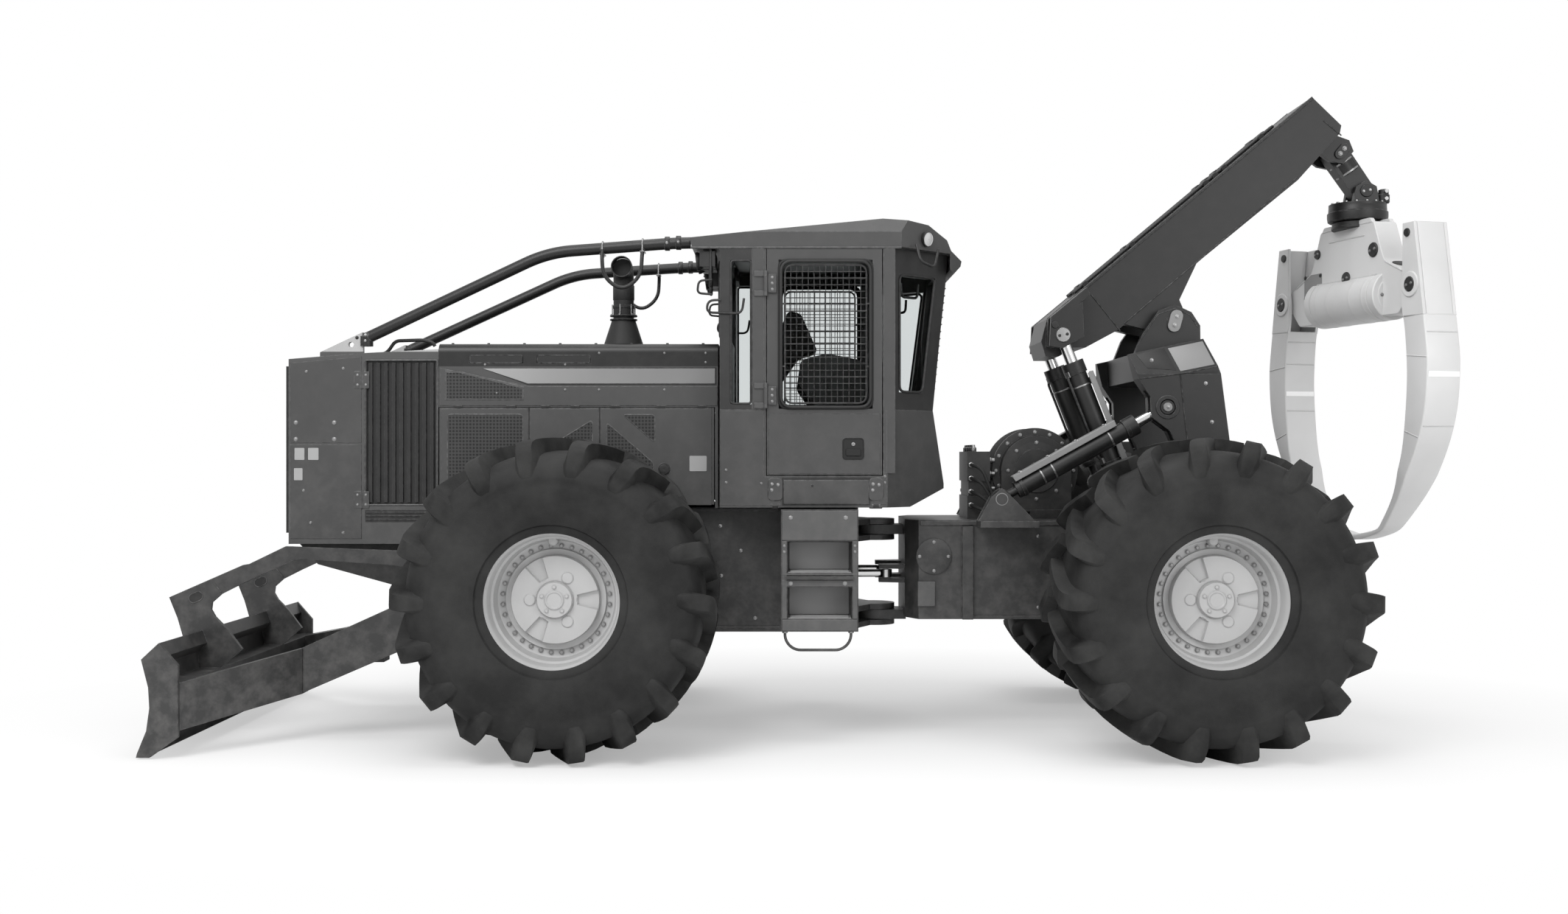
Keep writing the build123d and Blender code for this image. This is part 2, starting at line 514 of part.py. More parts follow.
GUARD_BAR_RADIUS = 37.0
HOOPS = [1375.0]
HOOP_RADIUS = 13.0
with BuildPart() as guard_bars:
    for side in (-1, 1):
        bent_bar([(3050, side * 582, 2598), (1862, side * 625, 3150), (1054, side * 655, 3206),
                  (934, side * 660, 3208)], [250, 180], GUARD_BAR_RADIUS)
        block((3030, 3072), sorted((side * 545, side * 620)), (2560, 2632))
        for hoop_x in HOOPS:
            bent_bar([(hoop_x - 130, side * 640, 3190), (hoop_x - 130, side * 700, 3060),
                      (hoop_x, side * 700, 2910), (hoop_x + 130, side * 700, 3060),
                      (hoop_x + 130, side * 640, 3175)], [40, 90, 40], HOOP_RADIUS)
finish("guard_bars", guard_bars)

# ==============================================================================
# Cab
# ==============================================================================
def cab_plan(inset):
    """The cab's outline in plan, moved in by a wall's thickness."""
    half = CAB_HALF - inset
    front = CAB_FRONT_X - inset
    rear = CAB_REAR_X + inset
    corner = CAB_CORNER - 0.4 * inset
    return [(front, -half), (front, half), (rear + corner, half), (rear, half - corner),
            (rear, corner - half), (rear + corner, -half)]


BIG = 2000.0
BACK_EDGE_X = CAB_REAR_X - 5
BACK_EDGE_Z = 1618.0
UNDERSIDE_WALL = 2.2 * CAB_WALL        # along X, since the underside rises gently


def trim_back(back_wall, under_wall):
    """Cuts a cab body along its sloped back and raised rear underside, each moved forward by a wall."""
    side_plate([(BACK_EDGE_X + back_wall, BACK_EDGE_Z), (-650 + back_wall, CAB_WAIST + 1),
                (CAB_REAR_X - 60, CAB_WAIST + 1), (CAB_REAR_X - 60, BACK_EDGE_Z)], -BIG, BIG, Mode.SUBTRACT)
    side_plate([(-485 + under_wall, CAB_FLOOR - 1), (BACK_EDGE_X + under_wall, BACK_EDGE_Z),
                (CAB_REAR_X - 60, BACK_EDGE_Z), (CAB_REAR_X - 60, CAB_FLOOR - 1)], -BIG, BIG, Mode.SUBTRACT)


with BuildPart() as cab_hollow:
    plan_plate(cab_plan(CAB_WALL), CAB_FLOOR + CAB_WALL, CAB_WAIST)
    trim_back(CAB_WALL, UNDERSIDE_WALL)

with BuildPart() as cab_lower:
    plan_plate(cab_plan(0), CAB_FLOOR, CAB_WAIST)
    trim_back(0, 0)
    add(cab_hollow.part, mode=Mode.SUBTRACT)
    for side in (-1, 1):
        block((DOOR_REAR_X - PANEL_GAP, DOOR_FRONT_X + PANEL_GAP),
              sorted((side * (CAB_HALF - CAB_WALL - 40), side * (CAB_HALF + 1))), (DOOR_SILL, CAB_WAIST + 1),
              Mode.SUBTRACT)
finish("cab_lower", cab_lower)

REAR_PILLAR_TOP = -760.0
QUARTER_X = (DOOR_FRONT_X + 98, CAB_FRONT_X - 68)
QUARTER_Z = (CAB_WAIST + 33, CAB_EAVES - 84)
REAR_QUARTER_Z = (CAB_WAIST + 113, CAB_EAVES - 164)
REAR_QUARTER = [(-410, REAR_QUARTER_Z[0]), (-410, REAR_QUARTER_Z[1]), (-668, REAR_QUARTER_Z[1]),
                (-575, REAR_QUARTER_Z[0])]
WINDSCREEN_HALF = 690.0
WINDSCREEN_Z = (2600.0, CAB_EAVES - 74)
REAR_WINDOW_HALF = 300.0
REAR_WINDOW_Z = (CAB_WAIST + 113, CAB_EAVES - 124)


def back_x(height):
    """X of the cab's sloped back at a height."""
    share = (height - CAB_WAIST) / (CAB_EAVES - CAB_WAIST)
    return -650 + share * (REAR_PILLAR_TOP + 650)


with BuildPart() as cab_frame:
    plan_plate([(CAB_FRONT_X, -CAB_HALF), (CAB_FRONT_X, CAB_HALF), (-330, CAB_HALF),
                (-760, CAB_HALF - 430), (-760, 430 - CAB_HALF), (-330, -CAB_HALF)], CAB_WAIST, CAB_EAVES)
    side_plate([(-650, CAB_WAIST), (REAR_PILLAR_TOP, CAB_EAVES), (-900, CAB_EAVES), (-900, CAB_WAIST)],
               -BIG, BIG, Mode.SUBTRACT)
    side_plate([(CAB_FRONT_X - CAB_WALL, CAB_WAIST), (CAB_FRONT_X - CAB_WALL, CAB_EAVES),
                (REAR_PILLAR_TOP + CAB_WALL, CAB_EAVES), (-650 + CAB_WALL, CAB_WAIST)],
               -CAB_HALF + CAB_WALL + 350, CAB_HALF - CAB_WALL - 350, Mode.SUBTRACT)
    plan_plate(cab_plan(CAB_WALL + 25), CAB_WAIST, CAB_EAVES, Mode.SUBTRACT)
    # doorways, quarter windows, windscreen and rear window
    block((DOOR_REAR_X - PANEL_GAP, DOOR_FRONT_X + PANEL_GAP), (-BIG, BIG), (CAB_WAIST, CAB_EAVES),
          Mode.SUBTRACT)
    block(QUARTER_X, (-BIG, BIG), QUARTER_Z, Mode.SUBTRACT)
    side_plate(REAR_QUARTER, -BIG, BIG, Mode.SUBTRACT)
    block((CAB_FRONT_X - CAB_WALL - 1, CAB_FRONT_X + 1), (-WINDSCREEN_HALF, WINDSCREEN_HALF), WINDSCREEN_Z,
          Mode.SUBTRACT)
    block((CAB_REAR_X - 170, CAB_REAR_X + 230), (-REAR_WINDOW_HALF, REAR_WINDOW_HALF),
          REAR_WINDOW_Z, Mode.SUBTRACT)
    # hinge knuckles above and below each of the doors' own
    for side in (-1, 1):
        for hinge_z in DOOR_HINGE_Z:
            for low_z in (hinge_z + HINGE_HALF + SEAT_GAP, hinge_z - HINGE_HALF - SEAT_GAP - HINGE_EAR):
                with Locations((DOOR_HINGE_X, side * DOOR_HINGE_Y, low_z + HINGE_EAR / 2)):
                    Cylinder(HINGE_RADIUS, HINGE_EAR)
                block((DOOR_HINGE_X, 520), sorted((side * (CAB_HALF - 1), side * DOOR_HINGE_Y)),
                      (low_z, low_z + HINGE_EAR))
finish("cab_frame", cab_frame)

ROOF_FRONT_X = CAB_FRONT_X + 191
ROOF_REAR_X = CAB_REAR_X - 122
ROOF_TOP = CAB_EAVES + 189
ROOF_OUTLINE = [(ROOF_FRONT_X, CAB_EAVES + 61), (ROOF_FRONT_X - 12, CAB_EAVES), (CAB_REAR_X - 38, CAB_EAVES),
                (CAB_REAR_X - 38, CAB_EAVES - 104), (CAB_REAR_X - 70, CAB_EAVES - 124),
                (ROOF_REAR_X + 7, CAB_EAVES - 74), (ROOF_REAR_X, CAB_EAVES - 39),
                (CAB_REAR_X - 45, CAB_EAVES + 21), (CAB_REAR_X - 15, CAB_EAVES + 86),
                (CAB_REAR_X + 120, CAB_EAVES + 166), (CAB_REAR_X + 426, ROOF_TOP)]
ROOF_PLAN = [(ROOF_FRONT_X + 68, -CAB_HALF), (ROOF_FRONT_X + 68, CAB_HALF), (CAB_REAR_X + 310, CAB_HALF),
             (ROOF_REAR_X - 8, CAB_HALF - 440), (ROOF_REAR_X - 8, 440 - CAB_HALF), (CAB_REAR_X + 310, -CAB_HALF)]
roof_low = CAB_EAVES - 250
roof_high = ROOF_TOP + 100
ROOF_SECTION = [(-CAB_HALF, roof_low), (CAB_HALF, roof_low), (CAB_HALF, ROOF_TOP - 91),
                (CAB_HALF - 90, ROOF_TOP + 67), (90 - CAB_HALF, ROOF_TOP + 67), (-CAB_HALF, ROOF_TOP - 91)]
with BuildPart() as cab_roof:
    side_plate(ROOF_OUTLINE, -CAB_HALF - 10, CAB_HALF + 10)
    plan_plate(ROOF_PLAN, roof_low, roof_high, Mode.INTERSECT)
    front_plate(ROOF_SECTION, ROOF_REAR_X - 50, ROOF_FRONT_X + 168, Mode.INTERSECT)
finish("cab_roof", cab_roof)

DOOR_WINDOW_X = (-236.0, 364.0)
DOOR_WINDOW_Z = (2131.0, 3082.0)
GUARD_X = (-191.0, 319.0)
GUARD_Z = (2156.0, 3041.0)
GUARD_UPRIGHTS = 8
GUARD_RAILS = 14
for side_name, side in (("left", 1), ("right", -1)):
    y_door = sorted((side * (CAB_HALF - CAB_WALL), side * CAB_HALF))
    with BuildPart() as door:
        block((DOOR_REAR_X, DOOR_FRONT_X), y_door, (DOOR_SILL + PANEL_GAP, CAB_EAVES - PANEL_GAP))
        block(DOOR_WINDOW_X, (-BIG, BIG), DOOR_WINDOW_Z, Mode.SUBTRACT)
        for hinge_z in DOOR_HINGE_Z:
            with Locations((DOOR_HINGE_X, side * DOOR_HINGE_Y, hinge_z)):
                Cylinder(HINGE_RADIUS, 2 * HINGE_HALF)
            y_leaf = sorted((side * (CAB_HALF - 1), side * (CAB_HALF + 14)))
            block((DOOR_FRONT_X - 60, DOOR_FRONT_X), y_leaf, (hinge_z - HINGE_HALF, hinge_z + HINGE_HALF))
            y_leaf = sorted((side * (CAB_HALF + 4), side * (CAB_HALF + 14)))
            block((DOOR_FRONT_X - 10, DOOR_HINGE_X), y_leaf, (hinge_z - HINGE_HALF, hinge_z + HINGE_HALF))
    finish("door_" + side_name, door)
    y_glass = sorted((side * (CAB_HALF - 34 - GLASS), side * (CAB_HALF - 34)))
    with BuildPart() as door_glass:
        block((DOOR_WINDOW_X[0], DOOR_WINDOW_X[1]), y_glass, (DOOR_WINDOW_Z[0], DOOR_WINDOW_Z[1]))
    finish("door_glass_" + side_name, door_glass)

for side_name, side in (("left", 1), ("right", -1)):
    with BuildPart() as door_guard:
        y_frame = sorted((side * (CAB_HALF + SEAT_GAP), side * (CAB_HALF + 22)))
        y_bar = sorted((side * (CAB_HALF + 8), side * (CAB_HALF + 16)))
        block((GUARD_X[0] - 52, GUARD_X[1] + 52), y_frame, (GUARD_Z[0] - 32, GUARD_Z[1] + 48))
        block(GUARD_X, (-BIG, BIG), GUARD_Z, Mode.SUBTRACT)
        for bar in range(1, GUARD_UPRIGHTS):
            bar_x = GUARD_X[0] + bar * (GUARD_X[1] - GUARD_X[0]) / GUARD_UPRIGHTS
            block((bar_x - 4, bar_x + 4), y_bar, (GUARD_Z[0] - 1, GUARD_Z[1] + 1))
        for bar in range(1, GUARD_RAILS):
            bar_z = GUARD_Z[0] + bar * (GUARD_Z[1] - GUARD_Z[0]) / GUARD_RAILS
            block((GUARD_X[0] - 1, GUARD_X[1] + 1), y_bar, (bar_z - 4, bar_z + 4))
    finish("door_guard_" + side_name, door_guard)

# the pane across the left rear corner, along the corner's chamfer
pane_line = CAB_HALF + 263
with BuildPart() as corner_pane:
    plan_plate([(-380, pane_line - 380), (-700, pane_line - 700), (-700, pane_line - 700 + GLASS * 1.414),
                (-380, pane_line - 380 + GLASS * 1.414)], CAB_WAIST, CAB_EAVES)
    side_plate(REAR_QUARTER, 0, CAB_HALF, Mode.INTERSECT)

with BuildPart() as cab_glass:
    block((CAB_FRONT_X - 30 - GLASS, CAB_FRONT_X - 30), (-WINDSCREEN_HALF, WINDSCREEN_HALF), WINDSCREEN_Z)
    for side in (-1, 1):
        y_pair = sorted((side * (CAB_HALF - 30 - GLASS), side * (CAB_HALF - 30)))
        block(QUARTER_X, y_pair, QUARTER_Z)
    add(corner_pane.part)
    add(mirror(corner_pane.part, about=Plane.XZ, mode=Mode.PRIVATE))
    # pane in the sloped back
    side_plate([(back_x(REAR_WINDOW_Z[0]) + 26, REAR_WINDOW_Z[0]), (back_x(REAR_WINDOW_Z[1]) + 26, REAR_WINDOW_Z[1]),
                (back_x(REAR_WINDOW_Z[1]) + 26 + GLASS, REAR_WINDOW_Z[1]),
                (back_x(REAR_WINDOW_Z[0]) + 26 + GLASS, REAR_WINDOW_Z[0])], -REAR_WINDOW_HALF, REAR_WINDOW_HALF)
finish("cab_glass", cab_glass)

SEAT_BASE_TOP = CAB_FLOOR + 360
with BuildPart() as seat_base:
    block((-250, 150), (-200, 200), (CAB_FLOOR + CAB_WALL, SEAT_BASE_TOP))
finish("seat_base", seat_base)
with BuildPart() as seat_pads:
    block((-260, 250), (-250, 250), (SEAT_BASE_TOP + SEAT_GAP, SEAT_BASE_TOP + 120))
    side_plate([(-260, SEAT_BASE_TOP + 120), (-160, SEAT_BASE_TOP + 120), (-260, SEAT_BASE_TOP + 790),
                (-360, SEAT_BASE_TOP + 790)], -240, 240)
finish("seat_pads", seat_pads)

CONSOLE_TOP = SEAT_BASE_TOP + 230
with BuildPart() as console:
    # pedestal with a sloped face, and an armrest box either side of the seat
    side_plate([(400, CAB_FLOOR + CAB_WALL), (400, CAB_WAIST - 60), (470, CAB_WAIST + 120), (530, CAB_WAIST + 120),
                (560, CAB_FLOOR + CAB_WALL)], -170, 170)
    for side in (-1, 1):
        y_box = sorted((side * 300, side * 400))
        block((-260, 180), y_box, (CAB_FLOOR + CAB_WALL, CONSOLE_TOP - 90))
        side_plate([(-260, CONSOLE_TOP - 91), (-260, CONSOLE_TOP), (90, CONSOLE_TOP), (200, CONSOLE_TOP - 60),
                    (200, CONSOLE_TOP - 91)], *y_box)
        rod((110, side * 350, CONSOLE_TOP - 30), (130, side * 350, CONSOLE_TOP + 110), 18)
        # pedals
        block((350, 401), sorted((side * 40, side * 120)), (CAB_FLOOR + CAB_WALL, CAB_FLOOR + CAB_WALL + 90))
finish("console", console)

LAMP_HEIGHT = 120.0
# lamp housings under the roof: X of the front and the back, inner and outer distance from the middle
LAMPS = [(CAB_FRONT_X + 30, CAB_FRONT_X + 130, 610.0, 770.0), (CAB_FRONT_X + 30, CAB_FRONT_X + 130, 420.0, 580.0)]
with BuildPart() as work_lamps:
    for side in (-1, 1):
        for low_x, high_x, inner_y, outer_y in LAMPS:
            block((low_x, high_x), sorted((side * inner_y, side * outer_y)), (CAB_EAVES - LAMP_HEIGHT, CAB_EAVES - 24))
            block((low_x + 30, high_x - 30), sorted((side * (inner_y + 40), side * (outer_y - 40))),
                  (CAB_EAVES - 25, CAB_EAVES))
        # grab rail under the lamps
        bent_bar([(CAB_FRONT_X + 60, side * 640, CAB_EAVES - LAMP_HEIGHT + 10),
                  (CAB_FRONT_X + 60, side * 640, CAB_EAVES - 290), (CAB_FRONT_X + 60, side * 740, CAB_EAVES - 290),
                  (CAB_FRONT_X + 60, side * 740, CAB_EAVES - LAMP_HEIGHT + 10)], [30, 30], 10)
finish("work_lamps", work_lamps)

STEP_X = (-140.0, 349.0)
STEP_Z = (719.0, 1490.0)
STEP_OUTER = 900.0
STEP_LOOP_RADIUS = 9.0
with BuildPart() as side_steps:
    for side in (-1, 1):
        y_pair = sorted((side * FRAME_HALF, side * STEP_OUTER))
        block(STEP_X, y_pair, STEP_Z)
        for recess_low in (800.0, 1090.0):
            y_recess = sorted((side * (STEP_OUTER - 180), side * (STEP_OUTER + 1)))
            block((STEP_X[0] + 40, STEP_X[1] - 40), y_recess, (recess_low, recess_low + 200), Mode.SUBTRACT)
        # tread ledge under the box's middle, and the loop that makes the lowest step
        block((STEP_X[0] + 30, STEP_X[1] - 30), sorted((side * (STEP_OUTER - 1), side * (STEP_OUTER + 30))),
              (1050, 1070))
        bent_bar([(STEP_X[0] + 45, side * (STEP_OUTER - 30), STEP_Z[0] + 2), (STEP_X[0] + 45, side * (STEP_OUTER - 30), 600),
                  (STEP_X[1] - 25, side * (STEP_OUTER - 30), 600), (STEP_X[1] - 25, side * (STEP_OUTER - 30), STEP_Z[0] + 2)],
                 [100, 100], STEP_LOOP_RADIUS)
finish("side_steps", side_steps)

# ==============================================================================
# Blade
# ==============================================================================
END_PLATE = [(4100, 701), (4206, 602), (4163, 433), (4156, 309), (4175, 172), (4231, 34), (4237, 10),
             (4156, 10), (3984, 132), (3984, 568)]
MOULDBOARD = [(4100, 701), (4206, 602), (4163, 433), (4156, 309), (4175, 172), (4231, 34), (4237, 10),
              (4180, 10), (4128, 160), (4112, 309), (4118, 440), (4130, 560), (4070, 620)]
UPRIGHT = [(2835, 1217), (3562, 1244), (3797, 1130), (3838, 1123), (4316, 914), (4262, 779), (4219, 631),
           (4150, 590), (4112, 457), (3984, 457), (3844, 578), (3939, 705), (4019, 786), (4046, 833),
           (4040, 880), (3979, 934), (3844, 1002), (3514, 1154), (3467, 1163), (2835, 1119),
           (2480, 1010), (2400, 1060)]
LOWER_ARM = [(2200, 955), (2290, 1040), (2795, 883), (3430, 596), (3430, 304), (2795, 577), (2260, 850)]
with BuildPart() as blade:
    side_plate(MOULDBOARD, -BLADE_HALF + 5, BLADE_HALF - 5)
    block((3984, 4125), (-BLADE_HALF + 5, BLADE_HALF - 5), (167, 457))
    for side in (-1, 1):
        side_plate(END_PLATE, *sorted((side * (BLADE_HALF - BLADE_END_PLATE), side * BLADE_HALF)))
        side_plate(UPRIGHT, *sorted((side * UPRIGHT_INNER, side * UPRIGHT_OUTER)))
        side_plate(LOWER_ARM, *sorted((side * BLADE_ARM_INNER, side * BLADE_ARM_OUTER)))
        cross_pin(BLADE_PIVOT, 120, side * BLADE_ARM_INNER, side * BLADE_ARM_OUTER)
        # brace from the arm's end out to the blade's corner
        with BuildSketch(Plane.YZ.offset(3420)) as brace_near:
            with Locations((side * 690, 450)):
                Rectangle(130, 292)
        with BuildSketch(Plane.YZ.offset(3990)) as brace_far:
            with Locations((side * 1250, 312)):
                Rectangle(160, 290)
        loft([brace_near.sketch, brace_far.sketch], ruled=True)
        # clevis for the cylinder's rod
        rod_x, rod_z = BLADE_CYLINDER["rod"]
        for ear in ((470, 500), (560, 590)):
            side_plate([(rod_x - 70, rod_z - 120), (rod_x - 60, rod_z + 30), (rod_x, rod_z + 62),
                        (rod_x + 60, rod_z + 30), (rod_x + 70, rod_z - 120)],
                       *sorted((side * ear[0], side * ear[1])))
        block((rod_x - 70, rod_x + 70), sorted((side * 470, side * (BLADE_ARM_INNER + 1))),
              (rod_z - 150, rod_z - 90))
        cross_pin((rod_x, rod_z), BLADE_CYLINDER["pin"], side * 470, side * 590, Mode.SUBTRACT)
        cross_pin(BLADE_PIVOT, BLADE_PIN_RADIUS + RUNNING_GAP, side * (BLADE_ARM_INNER - 1),
                  side * (BLADE_ARM_OUTER + 1), Mode.SUBTRACT)
finish("blade", blade)


# ==============================================================================
# Cylinders
# ==============================================================================
def cylinder_places(row):
    """Both pins and the barrel's end as side-view places."""
    base_x, base_z = row["base"]
    rod_x, rod_z = row["rod"]
    share = row["barrel_share"]
    return (base_x, base_z), (rod_x, rod_z), (base_x + share * (rod_x - base_x), base_z + share * (rod_z - base_z))


for cylinder_name, row in (("blade", BLADE_CYLINDER), ("arch", ARCH_CYLINDER), ("boom", BOOM_CYLINDER)):
    base, tip, mouth = cylinder_places(row)
    run = Vector(tip[0] - base[0], 0, tip[1] - base[1])
    along = run.normalized()
    half_width = row["eye_width"] / 2
    with BuildPart() as barrels:
        for side in (-1, 1):
            y = side * row["y"]
            shoulder = row["eye"] + row["barrel"] * 0.9
            start = (base[0] + along.X * shoulder, y, base[1] + along.Z * shoulder)
            end = (mouth[0], y, mouth[1])
            cross_pin(base, row["eye"], y - half_width, y + half_width)
            rod((base[0] + along.X * row["eye"] * 0.8, y, base[1] + along.Z * row["eye"] * 0.8), start,
                half_width - 2)
            rod(start, end, row["barrel"])
            rod((mouth[0] - along.X * 60, y, mouth[1] - along.Z * 60), end, row["barrel"] + 10)
            cross_pin(base, row["pin"] + RUNNING_GAP, y - half_width, y + half_width, Mode.SUBTRACT)
            rod((start[0] + along.X * 12, y, start[2] + along.Z * 12), end, row["shaft"] + RUNNING_GAP,
                Mode.SUBTRACT)
            if row["guard"]:
                # plate on two feet over the barrel, on the guard's side
                near, far = row["barrel"] - 4, row["barrel"] + 32
                normal = Vector(-along.Z, 0, along.X) * row["guard"]
                for low, high, inner_lift, outer_lift in ((0.10, 0.86, far - 8, far), (0.14, 0.20, near, far - 4),
                                                          (0.76, 0.82, near, far - 4)):
                    corners = []
                    for share, lift in ((low, inner_lift), (low, outer_lift), (high, outer_lift), (high, inner_lift)):
                        corners.append((start[0] + share * (end[0] - start[0]) + normal.X * lift,
                                        start[2] + share * (end[2] - start[2]) + normal.Z * lift))
                    side_plate(corners, y - row["barrel"] * 0.8, y + row["barrel"] * 0.8)
    finish(cylinder_name + "_barrels", barrels)
    with BuildPart() as rods:
        for side in (-1, 1):
            y = side * row["y"]
            foot = row["eye"] + row["barrel"] * 0.9 + 20 + row["retract"]
            start = (base[0] + along.X * foot, y, base[1] + along.Z * foot)
            rod(start, (tip[0], y, tip[1]), row["shaft"])
            cross_pin(tip, row["eye"] * 0.85, y - half_width + 4, y + half_width - 4)
            cross_pin(tip, row["pin"], y - half_width, y + half_width, Mode.SUBTRACT)
    finish(cylinder_name + "_rods", rods)

steer_base = Vector(STEER_FRONT[0], STEER_FRONT[1], STEER_Z)
steer_tip = Vector(STEER_REAR[0], STEER_REAR[1], STEER_Z)
steer_along = (steer_tip - steer_base).normalized()
steer_length = (steer_tip - steer_base).length
steer_mouth = steer_base + steer_along * (0.64 * steer_length)
steer_up = Vector(0, 0, 1)
with BuildPart() as steer_barrel_left:
    rod(tuple(steer_base - steer_up * 30), tuple(steer_base + steer_up * 30), 50)
    rod(tuple(steer_base + steer_along * 38), tuple(steer_base + steer_along * 90), 29)
    rod(tuple(steer_base + steer_along * 85), tuple(steer_mouth), STEER_BARREL)
    rod(tuple(steer_base - steer_up * 31), tuple(steer_base + steer_up * 31), 26 + RUNNING_GAP, Mode.SUBTRACT)
    rod(tuple(steer_base + steer_along * 100), tuple(steer_mouth), STEER_SHAFT + RUNNING_GAP, Mode.SUBTRACT)
finish("steer_barrel_left", steer_barrel_left)
with BuildPart() as steer_rod_left:
    rod(tuple(steer_mouth - steer_along * (0.28 * steer_length)), tuple(steer_tip), STEER_SHAFT)
    rod(tuple(steer_tip - steer_up * 26), tuple(steer_tip + steer_up * 26), 44)
    rod(tuple(steer_tip - steer_up * 27), tuple(steer_tip + steer_up * 27), 24, Mode.SUBTRACT)
finish("steer_rod_left", steer_rod_left)
for mirrored_name, left_part in (("steer_barrel_right", steer_barrel_left.part), ("steer_rod_right", steer_rod_left.part)):
    with BuildPart() as right_side:
        add(mirror(left_part, about=Plane.XZ, mode=Mode.PRIVATE))
    finish(mirrored_name, right_side)

# ==============================================================================
# Rear frame
# ==============================================================================
REAR_PLAN = [(REAR_FRAME_FRONT_X, 300), (REAR_TAPER_X, FRAME_HALF), (REAR_FRAME_REAR_X, FRAME_HALF),
             (REAR_FRAME_REAR_X, -FRAME_HALF), (REAR_TAPER_X, -FRAME_HALF), (REAR_FRAME_FRONT_X, -300)]
REAR_OUTLINE = [(REAR_FRAME_FRONT_X, REAR_FRAME_TOP), (REAR_FRAME_REAR_X, REAR_FRAME_TOP),
                (REAR_FRAME_REAR_X, AXLE_PAD_TOP), (-2520, AXLE_PAD_TOP), (-1990, AXLE_PAD_TOP),
                (-1900, REAR_FRAME_BOTTOM), (REAR_FRAME_FRONT_X, REAR_FRAME_BOTTOM)]
with BuildPart() as rear_chassis:
    plan_plate(REAR_PLAN, REAR_FRAME_BOTTOM, REAR_FRAME_TOP)
    side_plate(REAR_OUTLINE, -FRAME_HALF, FRAME_HALF, Mode.INTERSECT)
    block((-1860, -720), (-FRAME_HALF + REAR_PLATE, FRAME_HALF - REAR_PLATE),
          (REAR_FRAME_BOTTOM + REAR_PLATE, REAR_FRAME_TOP - REAR_PLATE), Mode.SUBTRACT)
    block((-2540, -1860), (-FRAME_HALF + REAR_PLATE, FRAME_HALF - REAR_PLATE),
          (AXLE_PAD_TOP + REAR_PLATE, REAR_FRAME_TOP - REAR_PLATE), Mode.SUBTRACT)
    with Locations((REAR_AXLE_X, 0, AXLE_Z)):
        Sphere(DIFFERENTIAL_RADIUS + MOVING_GAP, mode=Mode.SUBTRACT)
    for tongue_low, tongue_high in (lower_tongue, upper_tongue):
        block((REAR_FRAME_FRONT_X - 20, PIVOT_X), (-125, 125), (tongue_low, tongue_high))
        with Locations((PIVOT_X, 0, (tongue_low + tongue_high) / 2)):
            Cylinder(125, TONGUE_THICKNESS)
            Cylinder(PIVOT_PIN_RADIUS + RUNNING_GAP, TONGUE_THICKNESS, mode=Mode.SUBTRACT)
    for z_low, z_high in ((STEER_Z - 60, STEER_Z - 32), (STEER_Z + 32, STEER_Z + 60)):
        plan_plate([(REAR_FRAME_FRONT_X - 10, 290), (STEER_REAR[0] - 20, STEER_REAR[1] + 45),
                    (STEER_REAR[0] + 45, STEER_REAR[1] + 30), (STEER_REAR[0] + 45, STEER_REAR[1] - 40),
                    (REAR_FRAME_FRONT_X - 10, 120), (REAR_FRAME_FRONT_X - 10, -120),
                    (STEER_REAR[0] + 45, -STEER_REAR[1] + 40), (STEER_REAR[0] + 45, -STEER_REAR[1] - 30),
                    (STEER_REAR[0] - 20, -STEER_REAR[1] - 45), (REAR_FRAME_FRONT_X - 10, -290)],
                   z_low, z_high)
    for side in (-1, 1):
        # bracket for the arch cylinder, on a shelf outside the frame
        block((-1320, -940), sorted((side * (FRAME_HALF - 1), side * 690)), (REAR_FRAME_TOP - 40, REAR_FRAME_TOP))
        for ear in ((530, 562), (638, 670)):
            side_plate([(-930, REAR_FRAME_TOP - 1), (-1010, 1560), (-1080, 1622), (-1150, 1560),
                        (-1300, REAR_FRAME_TOP - 1)], *sorted((side * ear[0], side * ear[1])))
        cross_pin(ARCH_CYLINDER["base"], ARCH_CYLINDER["pin"], side * 535, side * 672)
        # arch pivot ears and pin
        side_plate([(-2565, REAR_FRAME_TOP - 1), (-2550, 1560), (-2450, 1600), (-2340, 1560), (-2300, REAR_FRAME_TOP - 1)],
                   *sorted((side * 440, side * 488)))
        cross_pin(ARCH_PIVOT, ARCH_PIN_RADIUS, side * 440, side * (ARCH_LEG_OUTER + 6))
        # upright rib and round cover on each side plate
        block((REAR_RIB_X - 35, REAR_RIB_X + 35), sorted((side * (FRAME_HALF - 1), side * (FRAME_HALF + 30))),
              (REAR_FRAME_BOTTOM, REAR_FRAME_TOP - 41))
        cross_pin(REAR_COVER, REAR_COVER_RADIUS, *sorted((side * (FRAME_HALF - 1), side * (FRAME_HALF + 10))))
    # towing eye at the tail
    plan_plate([(REAR_FRAME_REAR_X + 1, -110), (REAR_FRAME_REAR_X + 1, 110), (TOW_PIN_X, 75), (TOW_PIN_X - 70, 40),
                (TOW_PIN_X - 70, -40), (TOW_PIN_X, -75)], TOW_EYE_Z - TOW_EYE_THICKNESS / 2, TOW_EYE_Z + TOW_EYE_THICKNESS / 2)
    with Locations((TOW_PIN_X, 0, TOW_EYE_Z)):
        Cylinder(TOW_BORE_RADIUS, TOW_EYE_THICKNESS, mode=Mode.SUBTRACT)
finish("rear_chassis", rear_chassis)

